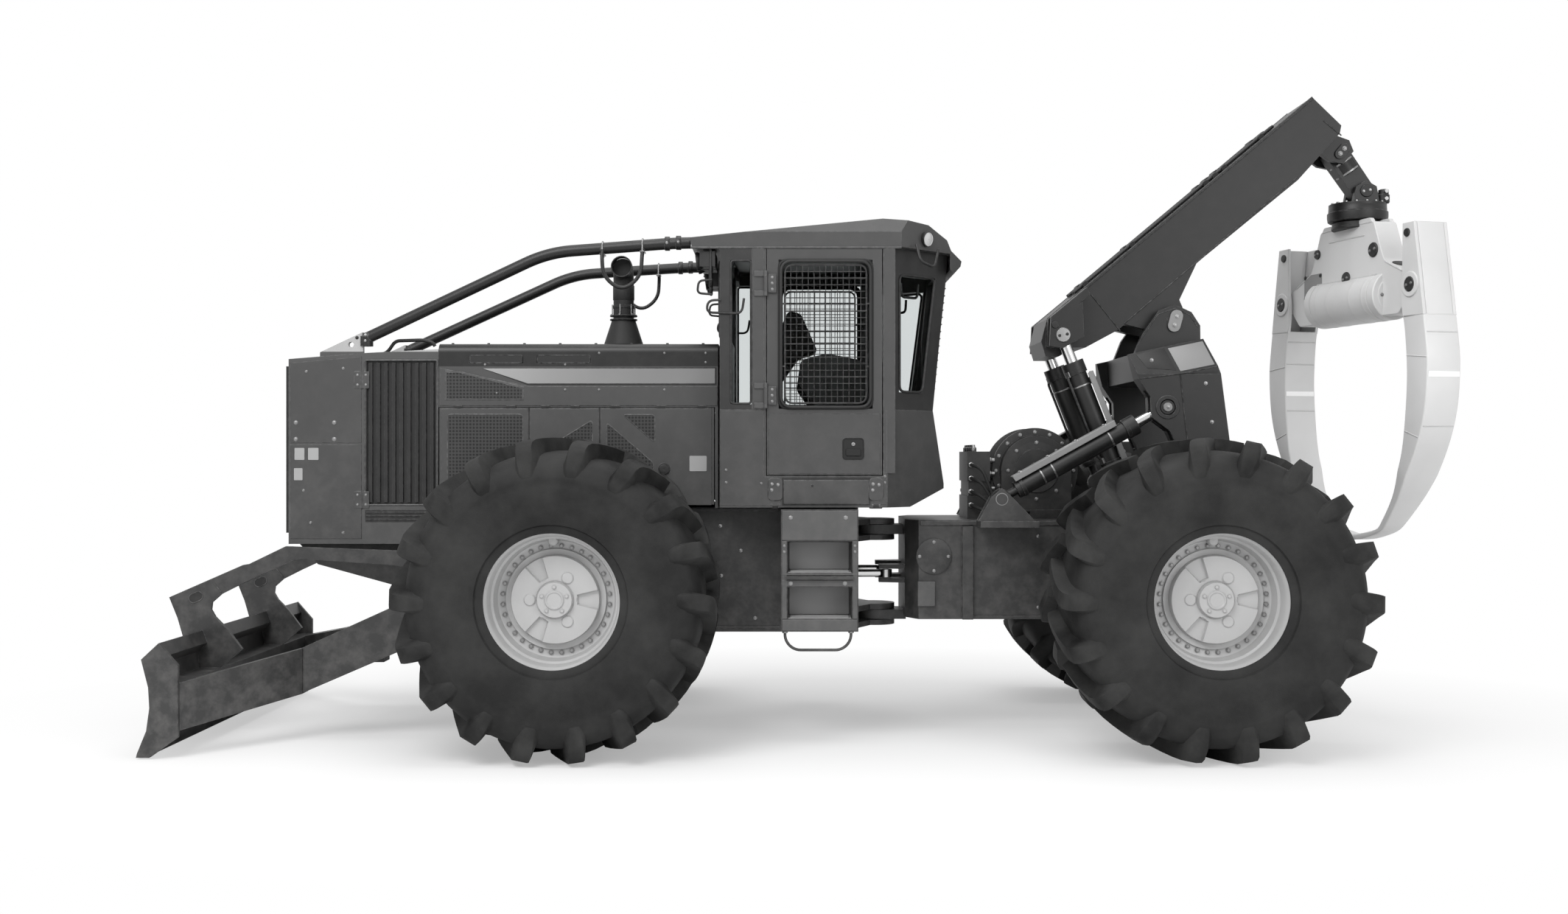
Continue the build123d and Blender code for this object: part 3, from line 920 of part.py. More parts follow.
WINCH_X = -1370.0
WINCH_Z = 1730.0
with BuildPart() as winch:
    block((WINCH_X - 260, WINCH_X + 260), (-255, 255), (REAR_FRAME_TOP, REAR_FRAME_TOP + 60))
    rod((WINCH_X, -200, WINCH_Z), (WINCH_X, 200, WINCH_Z), 190)
    for side in (-1, 1):
        cross_pin((WINCH_X, WINCH_Z), 290, *sorted((side * 150, side * 180)))
        cross_pin((WINCH_X, WINCH_Z), 235, *sorted((side * 180, side * 250)))
        block((WINCH_X - 235, WINCH_X + 235), sorted((side * 190, side * 250)), (REAR_FRAME_TOP + 59, WINCH_Z))
    # gear housing and motor
    block((WINCH_X + 120, WINCH_X + 262), (-140, 140), (REAR_FRAME_TOP + 59, WINCH_Z - 60))
finish("winch", winch)

with BuildPart() as valve_block:
    block((-1060, -905), (-240, 240), (REAR_FRAME_TOP, 1560))
    block((-1050, -915), (-225, 225), (1559, 1660))
    block((-1060, -905), (-240, 240), (1659, 1860))
finish("valve_block", valve_block)

# ==============================================================================
# Arch
# ==============================================================================
ARCH_LEG = [(-1925, 2495), (-2437, 2604), (-2492, 2416), (-2557, 1917), (-2575, 1490), (-2520, 1395),
            (-2450, 1370), (-2380, 1395), (-2325, 1490), (-2270, 1760), (-2170, 1990), (-2050, 2080),
            (-2045, 2210), (-1965, 2330)]
with BuildPart() as arch:
    for side in (-1, 1):
        side_plate(ARCH_LEG, *sorted((side * ARCH_LEG_INNER, side * ARCH_LEG_OUTER)))
    side_plate([(-1995, 2510), (-2437, 2604), (-2492, 2416), (-2505, 2300), (-2010, 2330)],
               -ARCH_LEG_OUTER, ARCH_LEG_OUTER)
    for side in (-1, 1):
        # sloped shoulders
        front_plate([(side * 430, 2640), (side * (ARCH_LEG_OUTER + 1), 2360), (side * (ARCH_LEG_OUTER + 1), 2640)],
                    -2600, -1800, Mode.SUBTRACT)
        # slot for the arch cylinder's rod
        slot_low, slot_high = sorted((side * 565, side * 635))
        rod_x, rod_z = ARCH_CYLINDER["rod"]
        block((rod_x - 110, rod_x + 300), (slot_low, slot_high), (rod_z - 260, rod_z + 110), Mode.SUBTRACT)
        # boom pivot ears
        side_plate([(-1997, 2480), (-2060, 2640), (-2170, 2800), (-2280, 2840), (-2390, 2790), (-2448, 2700),
                    (-2450, 2560)], *sorted((side * 300, side * 345)))
        cross_pin(BOOM_PIVOT, BOOM_PIN_RADIUS, side * 182, side * 350)
        # beams forward to the boom cylinder's base pin
        base_x, base_z = BOOM_CYLINDER["base"]
        for beam in ((290, 312), (388, 410)):
            side_plate([(-2400, 1560), (-2400, 1760), (-2250, 1780), (base_x, base_z + 80), (base_x + 75, base_z),
                        (base_x, base_z - 80), (-2250, 1500)], *sorted((side * beam[0], side * beam[1])))
        cross_pin(BOOM_CYLINDER["base"], BOOM_CYLINDER["pin"], side * 292, side * 408)
        cross_pin(ARCH_PIVOT, ARCH_PIN_RADIUS + RUNNING_GAP, side * (ARCH_LEG_INNER - 1),
                  side * (ARCH_LEG_OUTER + 1), Mode.SUBTRACT)
    # cross beam that ties both legs and the cylinder beams
    block((-2420, -2300), (-ARCH_LEG_INNER - 1, ARCH_LEG_INNER + 1), (1640, 1760))
finish("arch", arch)

# ==============================================================================
# Boom
# ==============================================================================
incline = atan2(BOOM_TIP_TOP[1] - BOOM_HEEL_TOP[1], BOOM_HEEL_TOP[0] - BOOM_TIP_TOP[0])
slope = Vector(-cos(incline), sin(incline))
across = Vector(-sin(incline), -cos(incline))
heel = Vector(*BOOM_HEEL_TOP)
boom_length = (Vector(*BOOM_TIP_TOP) - heel).length
BOOM_HOLLOW = [tuple(heel + slope * run + across * depth)[:2]
               for run, depth in ((420, BOOM_PLATE), (boom_length - 80, BOOM_PLATE),
                                  (boom_length - 80, BOOM_DEPTH - 90), (420, BOOM_DEPTH - 90))]
BOOM_OUTLINE = [BOOM_HEEL_TOP, BOOM_TIP_TOP, (BOOM_TIP_LOW[0], BOOM_TIP_LOW[1] + 20), (-3410, 4000),
                (-3127, 3685), (-2495, 3167), (-1917, 2677), (-1700, 2560), (-1620, 2560), (-1520, 2500),
                (-1430, 2500), (-1400, 2600)]
with BuildPart() as boom:
    side_plate(BOOM_OUTLINE, -BOOM_HALF, BOOM_HALF)
    side_plate(BOOM_HOLLOW, -BOOM_HALF + BOOM_PLATE, BOOM_HALF - BOOM_PLATE, Mode.SUBTRACT)
    for side in (-1, 1):
        # lug down to the boom's pivot
        side_plate([(-1950, 2720), (-2448, 3130), (-2330, 2880), (-2390, 2740), (-2280, 2625), (-2190, 2660)],
                   *sorted((side * 180, side * BOOM_HALF)))
        # cheeks either side of the cylinder's rod
        for cheek in ((BOOM_HALF - 1, 308), (392, 420)):
            side_plate([(-1440, 2748), (-1650, 2850), (-1660, 2620), (-1520, 2545), (-1430, 2560)],
                       *sorted((side * cheek[0], side * cheek[1])))
        side_plate([(-1440, 2752), (-1680, 2950), (-1700, 2900), (-1480, 2720)],
                   *sorted((side * (BOOM_HALF - 1), side * 420)))
        cross_pin(BOOM_CYLINDER["rod"], BOOM_CYLINDER["pin"], side * (BOOM_HALF - 1), side * 421, Mode.SUBTRACT)
        cross_pin(BOOM_PIVOT, BOOM_PIN_RADIUS + RUNNING_GAP, side * 170, side * (BOOM_HALF + 1), Mode.SUBTRACT)
        # tip cheeks for the hanging link
        side_plate([(-3300, 3900), (-3410, 4020), (-3520, 3980), (-3550, 3905), (-3480, 3820), (-3380, 3840)],
                   *sorted((side * 95, side * 130)))
        cross_pin(LINK_TOP, 40, side * 60, side * 130)
finish("boom", boom)

# ==============================================================================
# Grapple
# ==============================================================================
LINK_OUTLINE = [(-3560, 3905), (-3530, 3965), (-3470, 3990), (-3400, 3955), (-3385, 3885), (-3420, 3830),
                (-3570, 3620), (-3600, 3575), (-3660, 3565), (-3715, 3610), (-3710, 3680)]
with BuildPart() as hang_link:
    side_plate(LINK_OUTLINE, -60, 60)
    cross_pin(LINK_TOP, 40 + RUNNING_GAP, -61, 61, Mode.SUBTRACT)
    cross_pin(LINK_LOW, 36 + RUNNING_GAP, -61, 61, Mode.SUBTRACT)
finish("hang_link", hang_link)

CROSSHEAD_Z = (3440.0, 3560.0)
with BuildPart() as crosshead:
    with Locations((ROTATOR_X, 0, sum(CROSSHEAD_Z) / 2)):
        Cylinder(190, CROSSHEAD_Z[1] - CROSSHEAD_Z[0])
    for side in (-1, 1):
        side_plate([(LINK_LOW[0] - 90, CROSSHEAD_Z[1] - 1), (LINK_LOW[0] - 70, LINK_LOW[1] + 30),
                    (LINK_LOW[0], LINK_LOW[1] + 70), (LINK_LOW[0] + 70, LINK_LOW[1] + 30),
                    (LINK_LOW[0] + 90, CROSSHEAD_Z[1] - 1)], *sorted((side * 70, side * 110)))
    cross_pin(LINK_LOW, 36, -100, 100)
    with Locations((ROTATOR_X, 0, CROSSHEAD_Z[0] - 30)):
        Cylinder(60, 62)
finish("crosshead", crosshead)

yaw = Plane(origin=(ROTATOR_X, 0, 0), x_dir=(cos(radians(GRAPPLE_YAW)), sin(radians(GRAPPLE_YAW)), 0),
            z_dir=(0, 0, 1))


def yawed_plate(points, across_low, across_high, mode=Mode.ADD):
    """A plate in the grapple's own plane: points are radius from its axis, and height."""
    across = yaw.y_dir
    with BuildSketch(Plane(origin=yaw.origin + across * across_high, x_dir=yaw.x_dir, z_dir=-across)) as outline:
        Polygon(*points, align=None)
    extrude(outline.sketch, amount=across_high - across_low, mode=mode)


HEAD_HALF = GRAPPLE_HALF - TONG_CHEEK - 12.0
HOUSING_REACH = 400.0
HEAD_OUTLINE = [(300, 3405), (380, 3200), (415, 3130), (560, 3065), (690, 2995), (640, 2850), (560, 2760)]
with BuildPart() as grapple_head:
    yawed_plate(HEAD_OUTLINE + [(-radius, height) for radius, height in reversed(HEAD_OUTLINE)],
                -HEAD_HALF, HEAD_HALF)
    # round housing of the cylinder between the tongs
    rod(tuple(yaw.origin + yaw.x_dir * -HOUSING_REACH + Vector(0, 0, 2900)),
        tuple(yaw.origin + yaw.x_dir * HOUSING_REACH + Vector(0, 0, 2900)), 165)
    for end in (-1, 1):
        pin_at = yaw.origin + yaw.x_dir * (end * TONG_PIVOT_OFFSET) + Vector(0, 0, TONG_PIVOT_Z)
        rod(tuple(pin_at - yaw.y_dir * HEAD_HALF), tuple(pin_at + yaw.y_dir * HEAD_HALF), 60)
        rod(tuple(pin_at - yaw.y_dir * GRAPPLE_HALF), tuple(pin_at + yaw.y_dir * GRAPPLE_HALF), TONG_PIN_RADIUS)
        # ears up to the turntable
        for ear in (-HEAD_HALF, HEAD_HALF - 30):
            yawed_plate([(end * 120, 3400), (end * 280, 3400), (end * 250, 3432), (end * 150, 3432)],
                        ear, ear + 30)
    with Locations((ROTATOR_X, 0, 3410)):
        Cylinder(170, 48)
        Cylinder(60 + RUNNING_GAP, 120, mode=Mode.SUBTRACT)
finish("grapple_head", grapple_head)

# one tong from the side: radius from the rotator's axis, and height
TONG_BACK = [(765, 3335), (815, 3025), (855, 2761), (890, 2533), (898, 2404), (885, 2213), (851, 2054),
             (788, 1894), (698, 1732), (586, 1566), (434, 1396), (343, 1325), (160, 1272), (30, 1256)]
TONG_FRONT = [(30, 1290), (283, 1337), (364, 1397), (510, 1566), (592, 1731), (644, 1895), (677, 2138),
              (690, 2381), (670, 2640), (640, 2790), (632, 2930), (645, 3050), (650, 3335)]
TONG_SLOT = [(580, 3400), (741, 3400), (741, 3335), (791, 3025), (831, 2761), (829, 2735), (580, 2735)]
TONG_FACE = [(-GRAPPLE_HALF, 3400), (GRAPPLE_HALF, 3400), (GRAPPLE_HALF, 1700), (60, 1240), (-60, 1240),
             (-GRAPPLE_HALF, 1700)]
for tong_name, end in (("tong_front", 1), ("tong_rear", -1)):
    with BuildPart() as tong:
        yawed_plate([(end * radius, height) for radius, height in TONG_BACK + TONG_FRONT],
                    -GRAPPLE_HALF, GRAPPLE_HALF)
        yawed_plate([(end * radius, height) for radius, height in TONG_SLOT],
                    TONG_CHEEK - GRAPPLE_HALF, GRAPPLE_HALF - TONG_CHEEK, Mode.SUBTRACT)
        # the blade narrows towards its tip
        with BuildSketch(Plane(origin=yaw.origin, x_dir=yaw.y_dir, z_dir=yaw.x_dir)) as face:
            Polygon(*TONG_FACE, align=None)
        extrude(face.sketch, amount=end * 1000, mode=Mode.INTERSECT)
        pin_at = yaw.origin + yaw.x_dir * (end * TONG_PIVOT_OFFSET) + Vector(0, 0, TONG_PIVOT_Z)
        rod(tuple(pin_at - yaw.y_dir * (GRAPPLE_HALF + 1)), tuple(pin_at + yaw.y_dir * (GRAPPLE_HALF + 1)),
            TONG_PIN_RADIUS + RUNNING_GAP, Mode.SUBTRACT)
    finish(tong_name, tong)

print(len(finished), "pieces written")
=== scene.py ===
"""Looks of an articulated grapple skidder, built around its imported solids.

Every piece is in metres: +X forward, +Y the machine's left, +Z up. The tables measure X from a datum, and
Shell.build moves what it makes into the frame of the solids.
"""
from math import cos, pi, radians, sin, tau

import bmesh
import bpy
import numpy as np
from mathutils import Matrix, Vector


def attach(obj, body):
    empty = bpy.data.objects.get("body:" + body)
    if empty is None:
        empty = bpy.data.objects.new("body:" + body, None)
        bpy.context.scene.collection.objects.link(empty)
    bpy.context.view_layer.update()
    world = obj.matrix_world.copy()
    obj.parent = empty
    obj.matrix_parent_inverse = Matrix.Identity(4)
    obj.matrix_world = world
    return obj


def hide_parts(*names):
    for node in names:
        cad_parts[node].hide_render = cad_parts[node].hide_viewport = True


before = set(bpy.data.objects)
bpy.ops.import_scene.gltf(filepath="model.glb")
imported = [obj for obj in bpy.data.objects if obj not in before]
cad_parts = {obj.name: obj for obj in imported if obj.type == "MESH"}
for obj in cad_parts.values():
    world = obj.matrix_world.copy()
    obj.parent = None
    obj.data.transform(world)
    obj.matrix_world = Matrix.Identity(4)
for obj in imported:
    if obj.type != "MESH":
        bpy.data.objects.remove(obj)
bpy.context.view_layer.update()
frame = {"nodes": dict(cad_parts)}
NODES = frame["nodes"]

bl_info = {
    "name": "Grapple skidder",
    "version": (1, 0, 0),
    "blender": (4, 5, 0),
    "location": "View3D > Sidebar > Skidder",
    "description": "Builds the visible pieces and finishes of a grapple skidder",
    "category": "Object",
}

MAIN_BODY = "front_frame"
DATUM_X = -0.1699           # where the tables' X of zero lies in the solids' frame
SIDES = (1, -1)

# X and Z of the pivots and pins that run across the machine
STEER_X = -0.290
BLADE_PIVOT = (2.290, 0.955)
ARCH_PIVOT = (-2.450, 1.490)
BOOM_PIVOT = (-2.280, 2.730)
BLADE_CYLINDER = (2.560, 1.110), (3.000, 0.640)
ARCH_CYLINDER = (-1.080, 1.550), (-2.154, 2.146)
BOOM_CYLINDER = (-1.910, 1.640), (-1.520, 2.632)
LINK_TOP, LINK_FOOT = (-3.470, 3.905), (-3.645, 3.640)
WINCH_AXLE = (-1.370, 1.730)
GRAPPLE_AXIS_X = -3.624
TONG_PIVOT = (0.728, 2.934)
STACK_X = 1.435


# ------------------------------------------------------------------------------
# Sizes and colours that a user would change
# ------------------------------------------------------------------------------
class SkidderSizes(bpy.types.PropertyGroup):
    """Sizes of the visible pieces."""
    tyre_radius: bpy.props.FloatProperty(
        name="Tyre radius", description="Axle to the lug faces", default=0.970, min=0.7, unit="LENGTH")
    lug_count: bpy.props.IntProperty(
        name="Lugs", description="Lugs in each of a tyre's two rows", default=18, min=8)
    rim_bolts: bpy.props.IntProperty(
        name="Rim bolts", description="Bolts in a wheel disc's outer circle", default=32, min=8)
    mesh_pitch: bpy.props.FloatProperty(name="Window mesh pitch",
        description="Spacing of the door guard's wires", default=0.032, unit="LENGTH")


class SkidderColours(bpy.types.PropertyGroup):
    """Paint levels, as display greys from 0 to 1."""
    body: bpy.props.FloatProperty(name="Body", description="Hood, nose and cab", default=0.282,
        subtype="FACTOR")
    frame: bpy.props.FloatProperty(name="Frame", description="Frames, steps and blade", default=0.205,
        subtype="FACTOR")
    boom: bpy.props.FloatProperty(name="Boom", description="Arch, boom and cylinders", default=0.080,
        subtype="FACTOR")
    rim: bpy.props.FloatProperty(name="Rims", description="Wheel rims", default=0.690, subtype="FACTOR")
    grapple: bpy.props.FloatProperty(name="Grapple", description="Head and tongs", default=0.810,
        subtype="FACTOR")
    tyre: bpy.props.FloatProperty(name="Tyres", description="Tyre rubber", default=0.055, subtype="FACTOR")


def sizes():
    """The scene's size settings."""
    return bpy.context.scene.skidder_sizes


def colours():
    """The scene's colour settings."""
    return bpy.context.scene.skidder_colours


def display(grey, warm=0.0):
    """A display grey, from 0 to 1, as a linear colour; warm leans it a little."""
    level = grey / 12.92 if grey <= 0.04045 else ((grey + 0.055) / 1.055) ** 2.4
    return (level * (1 + warm), level, level * (1 - warm), 1.0)


# ------------------------------------------------------------------------------
# Surfaces
# ------------------------------------------------------------------------------
class Shell:
    """Vertices and faces gathered from several surfaces, each face with a material number."""

    def __init__(self):
        self.points, self.faces, self.numbers, self.total = [], [], [], 0

    def add(self, points, faces, number=0):
        points = np.asarray(points, float).reshape(-1, 3)
        self.points.append(points)
        self.faces += [tuple(int(index) + self.total for index in face) for face in faces]
        self.numbers += [number] * len(faces)
        self.total += len(points)
        return self

    def sheet(self, side, outline, inner, outer, number=0, bevel=0.002):
        """Adds a plate on one side, between two distances from the middle plane."""
        self.add(*plate(outline, *side_pair(side, inner, outer), bevel=bevel), number)

    def rod(self, path, radius, sides, number=0):
        """Adds a round bar along a path."""
        self.add(*tube(path, radius, sides), number)

    def rim(self, outline, y, radius, number=0, sides=8):
        """Adds a round bar that runs round an outline in X and Z, at one Y."""
        self.add(*ring_bar(side_path(outline, y), radius, (0, 1, 0), sides), number)

    def cap(self, side, profile, x, z, steps, number=0):
        """Adds a piece turned round an axle across the machine, its stations measured out to one side."""
        self.add(*revolve([(side * station, radius) for station, radius in profile],
            (x, 0, z), steps), number)

    def weld(self, path, radius, number=0):
        """Adds a weld bead along a path."""
        self.add(*weld_bead(path, radius), number)

    def screws(self, side, places, face, radius=0.009, number=0, height=0.006):
        """Adds bolt heads at X and Z places on a face that looks out along Y."""
        bolt_heads(self, [(x, side * face, z) for x, z in places], radius, height, number, 6, "y", side)

    def build(self, name, materials, smooth=35.0, rides=MAIN_BODY, weld=0.0, place=None):
        """A finished object at the origin, smooth below an angle; place maps its points first."""
        mesh = bpy.data.meshes.new(name)
        points = np.concatenate(self.points)
        points = (place(points) if place else points) + (DATUM_X, 0, 0)
        mesh.from_pydata(points.tolist(), [], self.faces)
        for material in materials:
            mesh.materials.append(material)
        mesh.polygons.foreach_set("material_index", self.numbers)
        weld_points(mesh, weld)
        mesh.polygons.foreach_set("use_smooth", [True] * len(mesh.polygons))
        mesh.set_sharp_from_angle(angle=radians(smooth))
        mesh.validate()
        piece = bpy.data.objects.new(name, mesh)
        bpy.context.scene.collection.objects.link(piece)
        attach(piece, rides)
        return piece


def weld_points(mesh, distance):
    """Merges a mesh's points that lie closer than a distance, and turns its faces outwards."""
    work = bmesh.new()
    work.from_mesh(mesh)
    if distance:
        bmesh.ops.remove_doubles(work, verts=work.verts, dist=distance)
    bmesh.ops.recalc_face_normals(work, faces=work.faces)
    work.to_mesh(mesh)
    work.free()


def grid_faces(rows, columns, wrap_rows=False, wrap_columns=False, flip=False):
    """Quads of a rows x columns grid of points, joined end to end where it wraps."""
    row = np.arange(rows if wrap_rows else rows - 1)
    column = np.arange(columns if wrap_columns else columns - 1)
    row, column = np.meshgrid(row, column, indexing="ij")
    down, across = (row + 1) % rows, (column + 1) % columns
    quads = np.stack([row * columns + column, down * columns + column,
                      down * columns + across, row * columns + across], axis=-1).reshape(-1, 4)
    return quads[:, ::-1] if flip else quads


def revolve(profile, centre, steps, axis="y", closed=False, start=0.0):
    """Surface of revolution: (station, radius) pairs swept round an axis through centre.

    A point is centre + station along the axis + radius * (cos t, sin t) across it.
    """
    profile = np.asarray(profile, float)
    turn = start + np.arange(steps) * tau / steps
    station, radius = profile[:, 0][:, None], profile[:, 1][:, None]
    along = np.broadcast_to(station, (len(profile), steps))
    first, second = radius * np.cos(turn), radius * np.sin(turn)
    order = {"x": (along, first, second), "y": (second, along, first), "z": (first, second, along)}[axis]
    points = np.stack(order, axis=-1) + np.asarray(centre, float)
    return points, grid_faces(len(profile), steps, wrap_rows=closed, wrap_columns=True)


def frames_along(path):
    """Unit tangents and two carried-along normals of a path, by turning the last normal least."""
    path = np.asarray(path, float)
    tangent = np.gradient(path, axis=0)
    tangent /= np.linalg.norm(tangent, axis=1)[:, None]
    seed = np.array([0.0, 0.0, 1.0]) if abs(tangent[0][2]) < 0.9 else np.array([1.0, 0.0, 0.0])
    normals = []
    normal = np.cross(tangent[0], seed)
    for direction in tangent:
        normal = normal - direction * normal.dot(direction)
        normal = normal / np.linalg.norm(normal)
        normals.append(normal)
    normals = np.array(normals)
    return tangent, normals, np.cross(tangent, normals)


def tube(path, radius, sides=14, capped=True):
    """Round bar: each path point + radius * (cos t * normal + sin t * binormal)."""
    path = np.asarray(path, float)
    _, first, second = frames_along(path)
    turn = np.arange(sides) * tau / sides
    radius = np.broadcast_to(np.asarray(radius, float), len(path))[:, None, None]
    points = path[:, None] + radius * (np.cos(turn)[None, :, None] * first[:, None] + np.sin(turn)[None, :,
        None] * second[:, None])
    faces = list(grid_faces(len(path), sides, wrap_columns=True))
    if capped:
        last = (len(path) - 1) * sides
        faces += [tuple(range(sides - 1, -1, -1))[::-1], tuple(range(last, last + sides))[::-1]]
    return points, faces


def rounded(corners, bend, steps=6):
    """Path through corners, each corner replaced by a quadratic arc that starts a bend away."""
    corners = np.asarray(corners, float)
    pieces = [corners[:1]]
    turn = np.linspace(0, 1, steps)[:, None]
    for before, corner, after in zip(corners[:-2], corners[1:-1], corners[2:]):
        reach_in = min(bend, np.linalg.norm(before - corner) * 0.48)
        reach_out = min(bend, np.linalg.norm(after - corner) * 0.48)
        entry = corner + (before - corner) / np.linalg.norm(before - corner) * reach_in
        leave = corner + (after - corner) / np.linalg.norm(after - corner) * reach_out
        pieces.append((1 - turn) ** 2 * entry + 2 * turn * (1 - turn) * corner + turn ** 2 * leave)
    pieces.append(corners[-1:])
    return np.concatenate(pieces)


def inset_outline(outline, amount):
    """A closed outline moved inwards by the same amount along each edge's normal."""
    outline = np.asarray(outline, float)
    area = np.sum(outline[:, 0] * np.roll(outline[:, 1], -1) - np.roll(outline[:, 0], -1) * outline[:, 1])
    edge = np.roll(outline, -1, axis=0) - outline
    edge /= np.linalg.norm(edge, axis=1)[:, None]
    normal = np.stack([-edge[:, 1], edge[:, 0]], axis=1) * np.sign(area)
    before = np.roll(normal, 1, axis=0)
    mitre = before + normal
    mitre /= np.maximum((mitre * normal).sum(axis=1), 0.35)[:, None]
    return outline + mitre * amount


def plate(outline, low, high, across="y", bevel=0.002):
    """Prism with chamfered rims: the outline carried from low to high, drawn in at both ends.

    across names the axis that low and high lie on; the outline holds the other two, in order.
    """
    outline = np.asarray(outline, float)
    inner = inset_outline(outline, bevel)
    rings = [(inner, low), (outline, low + bevel), (outline, high - bevel), (inner, high)]
    levels = np.array([level for _, level in rings])[:, None] * np.ones(len(outline))
    flat = np.array([ring for ring, _ in rings])
    first, second = flat[..., 0], flat[..., 1]
    order = {"y": (first, levels, second), "z": (first, second, levels), "x": (levels, first, second)}[across]
    points = np.stack(order, axis=-1)
    count = len(outline)
    faces = list(grid_faces(4, count, wrap_columns=True))
    faces += [tuple(range(count)), tuple(range(4 * count - 1, 3 * count - 1, -1))]
    return points, faces


def box(x, y, z, bevel=0.003):
    """Box with chamfered edges between three (low, high) pairs."""
    outline = [(x[0], z[0]), (x[1], z[0]), (x[1], z[1]), (x[0], z[1])]
    return plate(outline, y[0], y[1], "y", bevel)


def side_pair(side, inner, outer):
    """Low and high Y of something that lies between two distances on one side."""
    return tuple(sorted((side * inner, side * outer)))


def beside(side, path):
    """A path on the left, or its mirror image on the right."""
    return np.array(path, float) * (1, side, 1)


def on_axle(place, y=0.0):
    """The point at an X and Z place, at one Y."""
    return np.array([place[0], y, place[1]])


def axle_circle(place, radius, turns, y):
    """Points on a circle round an axle across the machine, each turned from straight up towards +X."""
    return np.stack([place[0] + radius * np.sin(turns), np.full(len(turns), y),
                     place[1] + radius * np.cos(turns)], axis=1)


def ring_places(x, radius, turns, z):
    """Points on a level circle round an upright line on the middle plane."""
    return [(x + radius * cos(t), radius * sin(t), z) for t in turns]


def bolt_heads(shell, places, radius, height, number=0, sides=6, axis="y", sense=1.0):
    """Many small bolt heads on washers: a few rings carried along the axis, repeated at every place."""
    places = np.asarray(places, float).reshape(-1, 3)
    rings = [(-0.3 * height, 1.35 * radius), (0.22 * height, 1.35 * radius), (0.24 * height, radius),
             (0.85 * height, radius), (height, 0.82 * radius)]
    head, faces = revolve([(sense * level, size) for level, size in rings], (0, 0, 0), sides, axis)
    head = head.reshape(-1, 3)
    faces = [tuple(face) for face in faces]
    last = (len(rings) - 1) * sides
    faces.append(tuple(range(last, last + sides)))
    for place in places:
        shell.add(head + place, faces, number)


# ------------------------------------------------------------------------------
# Shared shader groups
# ------------------------------------------------------------------------------
def make_group(name, inputs, outputs):
    """A shader node group with named sockets: (name, kind, default) rows in, (name, kind) rows out."""
    group = bpy.data.node_groups.new(name, "ShaderNodeTree")
    for label, kind, default in inputs:
        socket = group.interface.new_socket(name=label, in_out="INPUT", socket_type=kind)
        if default is not None:
            socket.default_value = default
    for label, kind in outputs:
        group.interface.new_socket(name=label, in_out="OUTPUT", socket_type=kind)
    return group, group.nodes.new("NodeGroupInput"), group.nodes.new("NodeGroupOutput")


def node(tree, kind, values=(), **settings):
    """A shader node with its settings, its inputs filled from (socket, value or linked output) pairs."""
    made = tree.nodes.new("ShaderNode" + kind)
    for key, value in settings.items():
        setattr(made, key, value)
    for socket, value in values:
        if isinstance(value, bpy.types.NodeSocket):
            tree.links.new(value, made.inputs[socket])
        else:
            made.inputs[socket].default_value = value
    return made


def object_place(tree):
    """Object space, the place that every texture is laid out in."""
    return node(tree, "TexCoord").outputs["Object"]


def noise(tree, place, scale, detail, roughness=0.5):
    """A noise over a place."""
    return node(tree, "TexNoise", [("Vector", place), ("Scale", scale), ("Detail", detail),
        ("Roughness", roughness)]).outputs["Fac"]


def spread(tree, value, low, high, to_low=0.0, to_high=1.0):
    """A number carried in a straight line from one span to another, and held at its ends."""
    return node(tree, "MapRange", [("Value", value), ("From Min", low), ("From Max", high),
        ("To Min", to_low), ("To Max", to_high)]).outputs[0]


def maths(tree, operation, *values):
    """The result of a Math node."""
    return node(tree, "Math", enumerate(values), operation=operation).outputs[0]


def blend(tree, share, first, second):
    """A colour that goes from the first to the second as share goes from 0 to 1."""
    return node(tree, "Mix", [("Factor", share), ("A", first), ("B", second)],
        data_type="RGBA").outputs["Result"]


def give(group, result, **outputs):
    """Links a group's results to its outputs, by their names."""
    for label, socket in outputs.items():
        group.links.new(socket, result.inputs[label])


COLOR, NUMBER, VECTOR = "NodeSocketColor", "NodeSocketFloat", "NodeSocketVector"
SKIN_OUTPUTS = [("Color", COLOR), ("Roughness", NUMBER), ("Normal", VECTOR)]
# grey of worn edges; on dark paint it is also a painted highlight along the edges
BARE_METAL_AND_EDGE_HIGHLIGHT = (0.42, 0.42, 0.42, 1)
DRY_BLOOM = (0.085, 0.085, 0.083, 1)


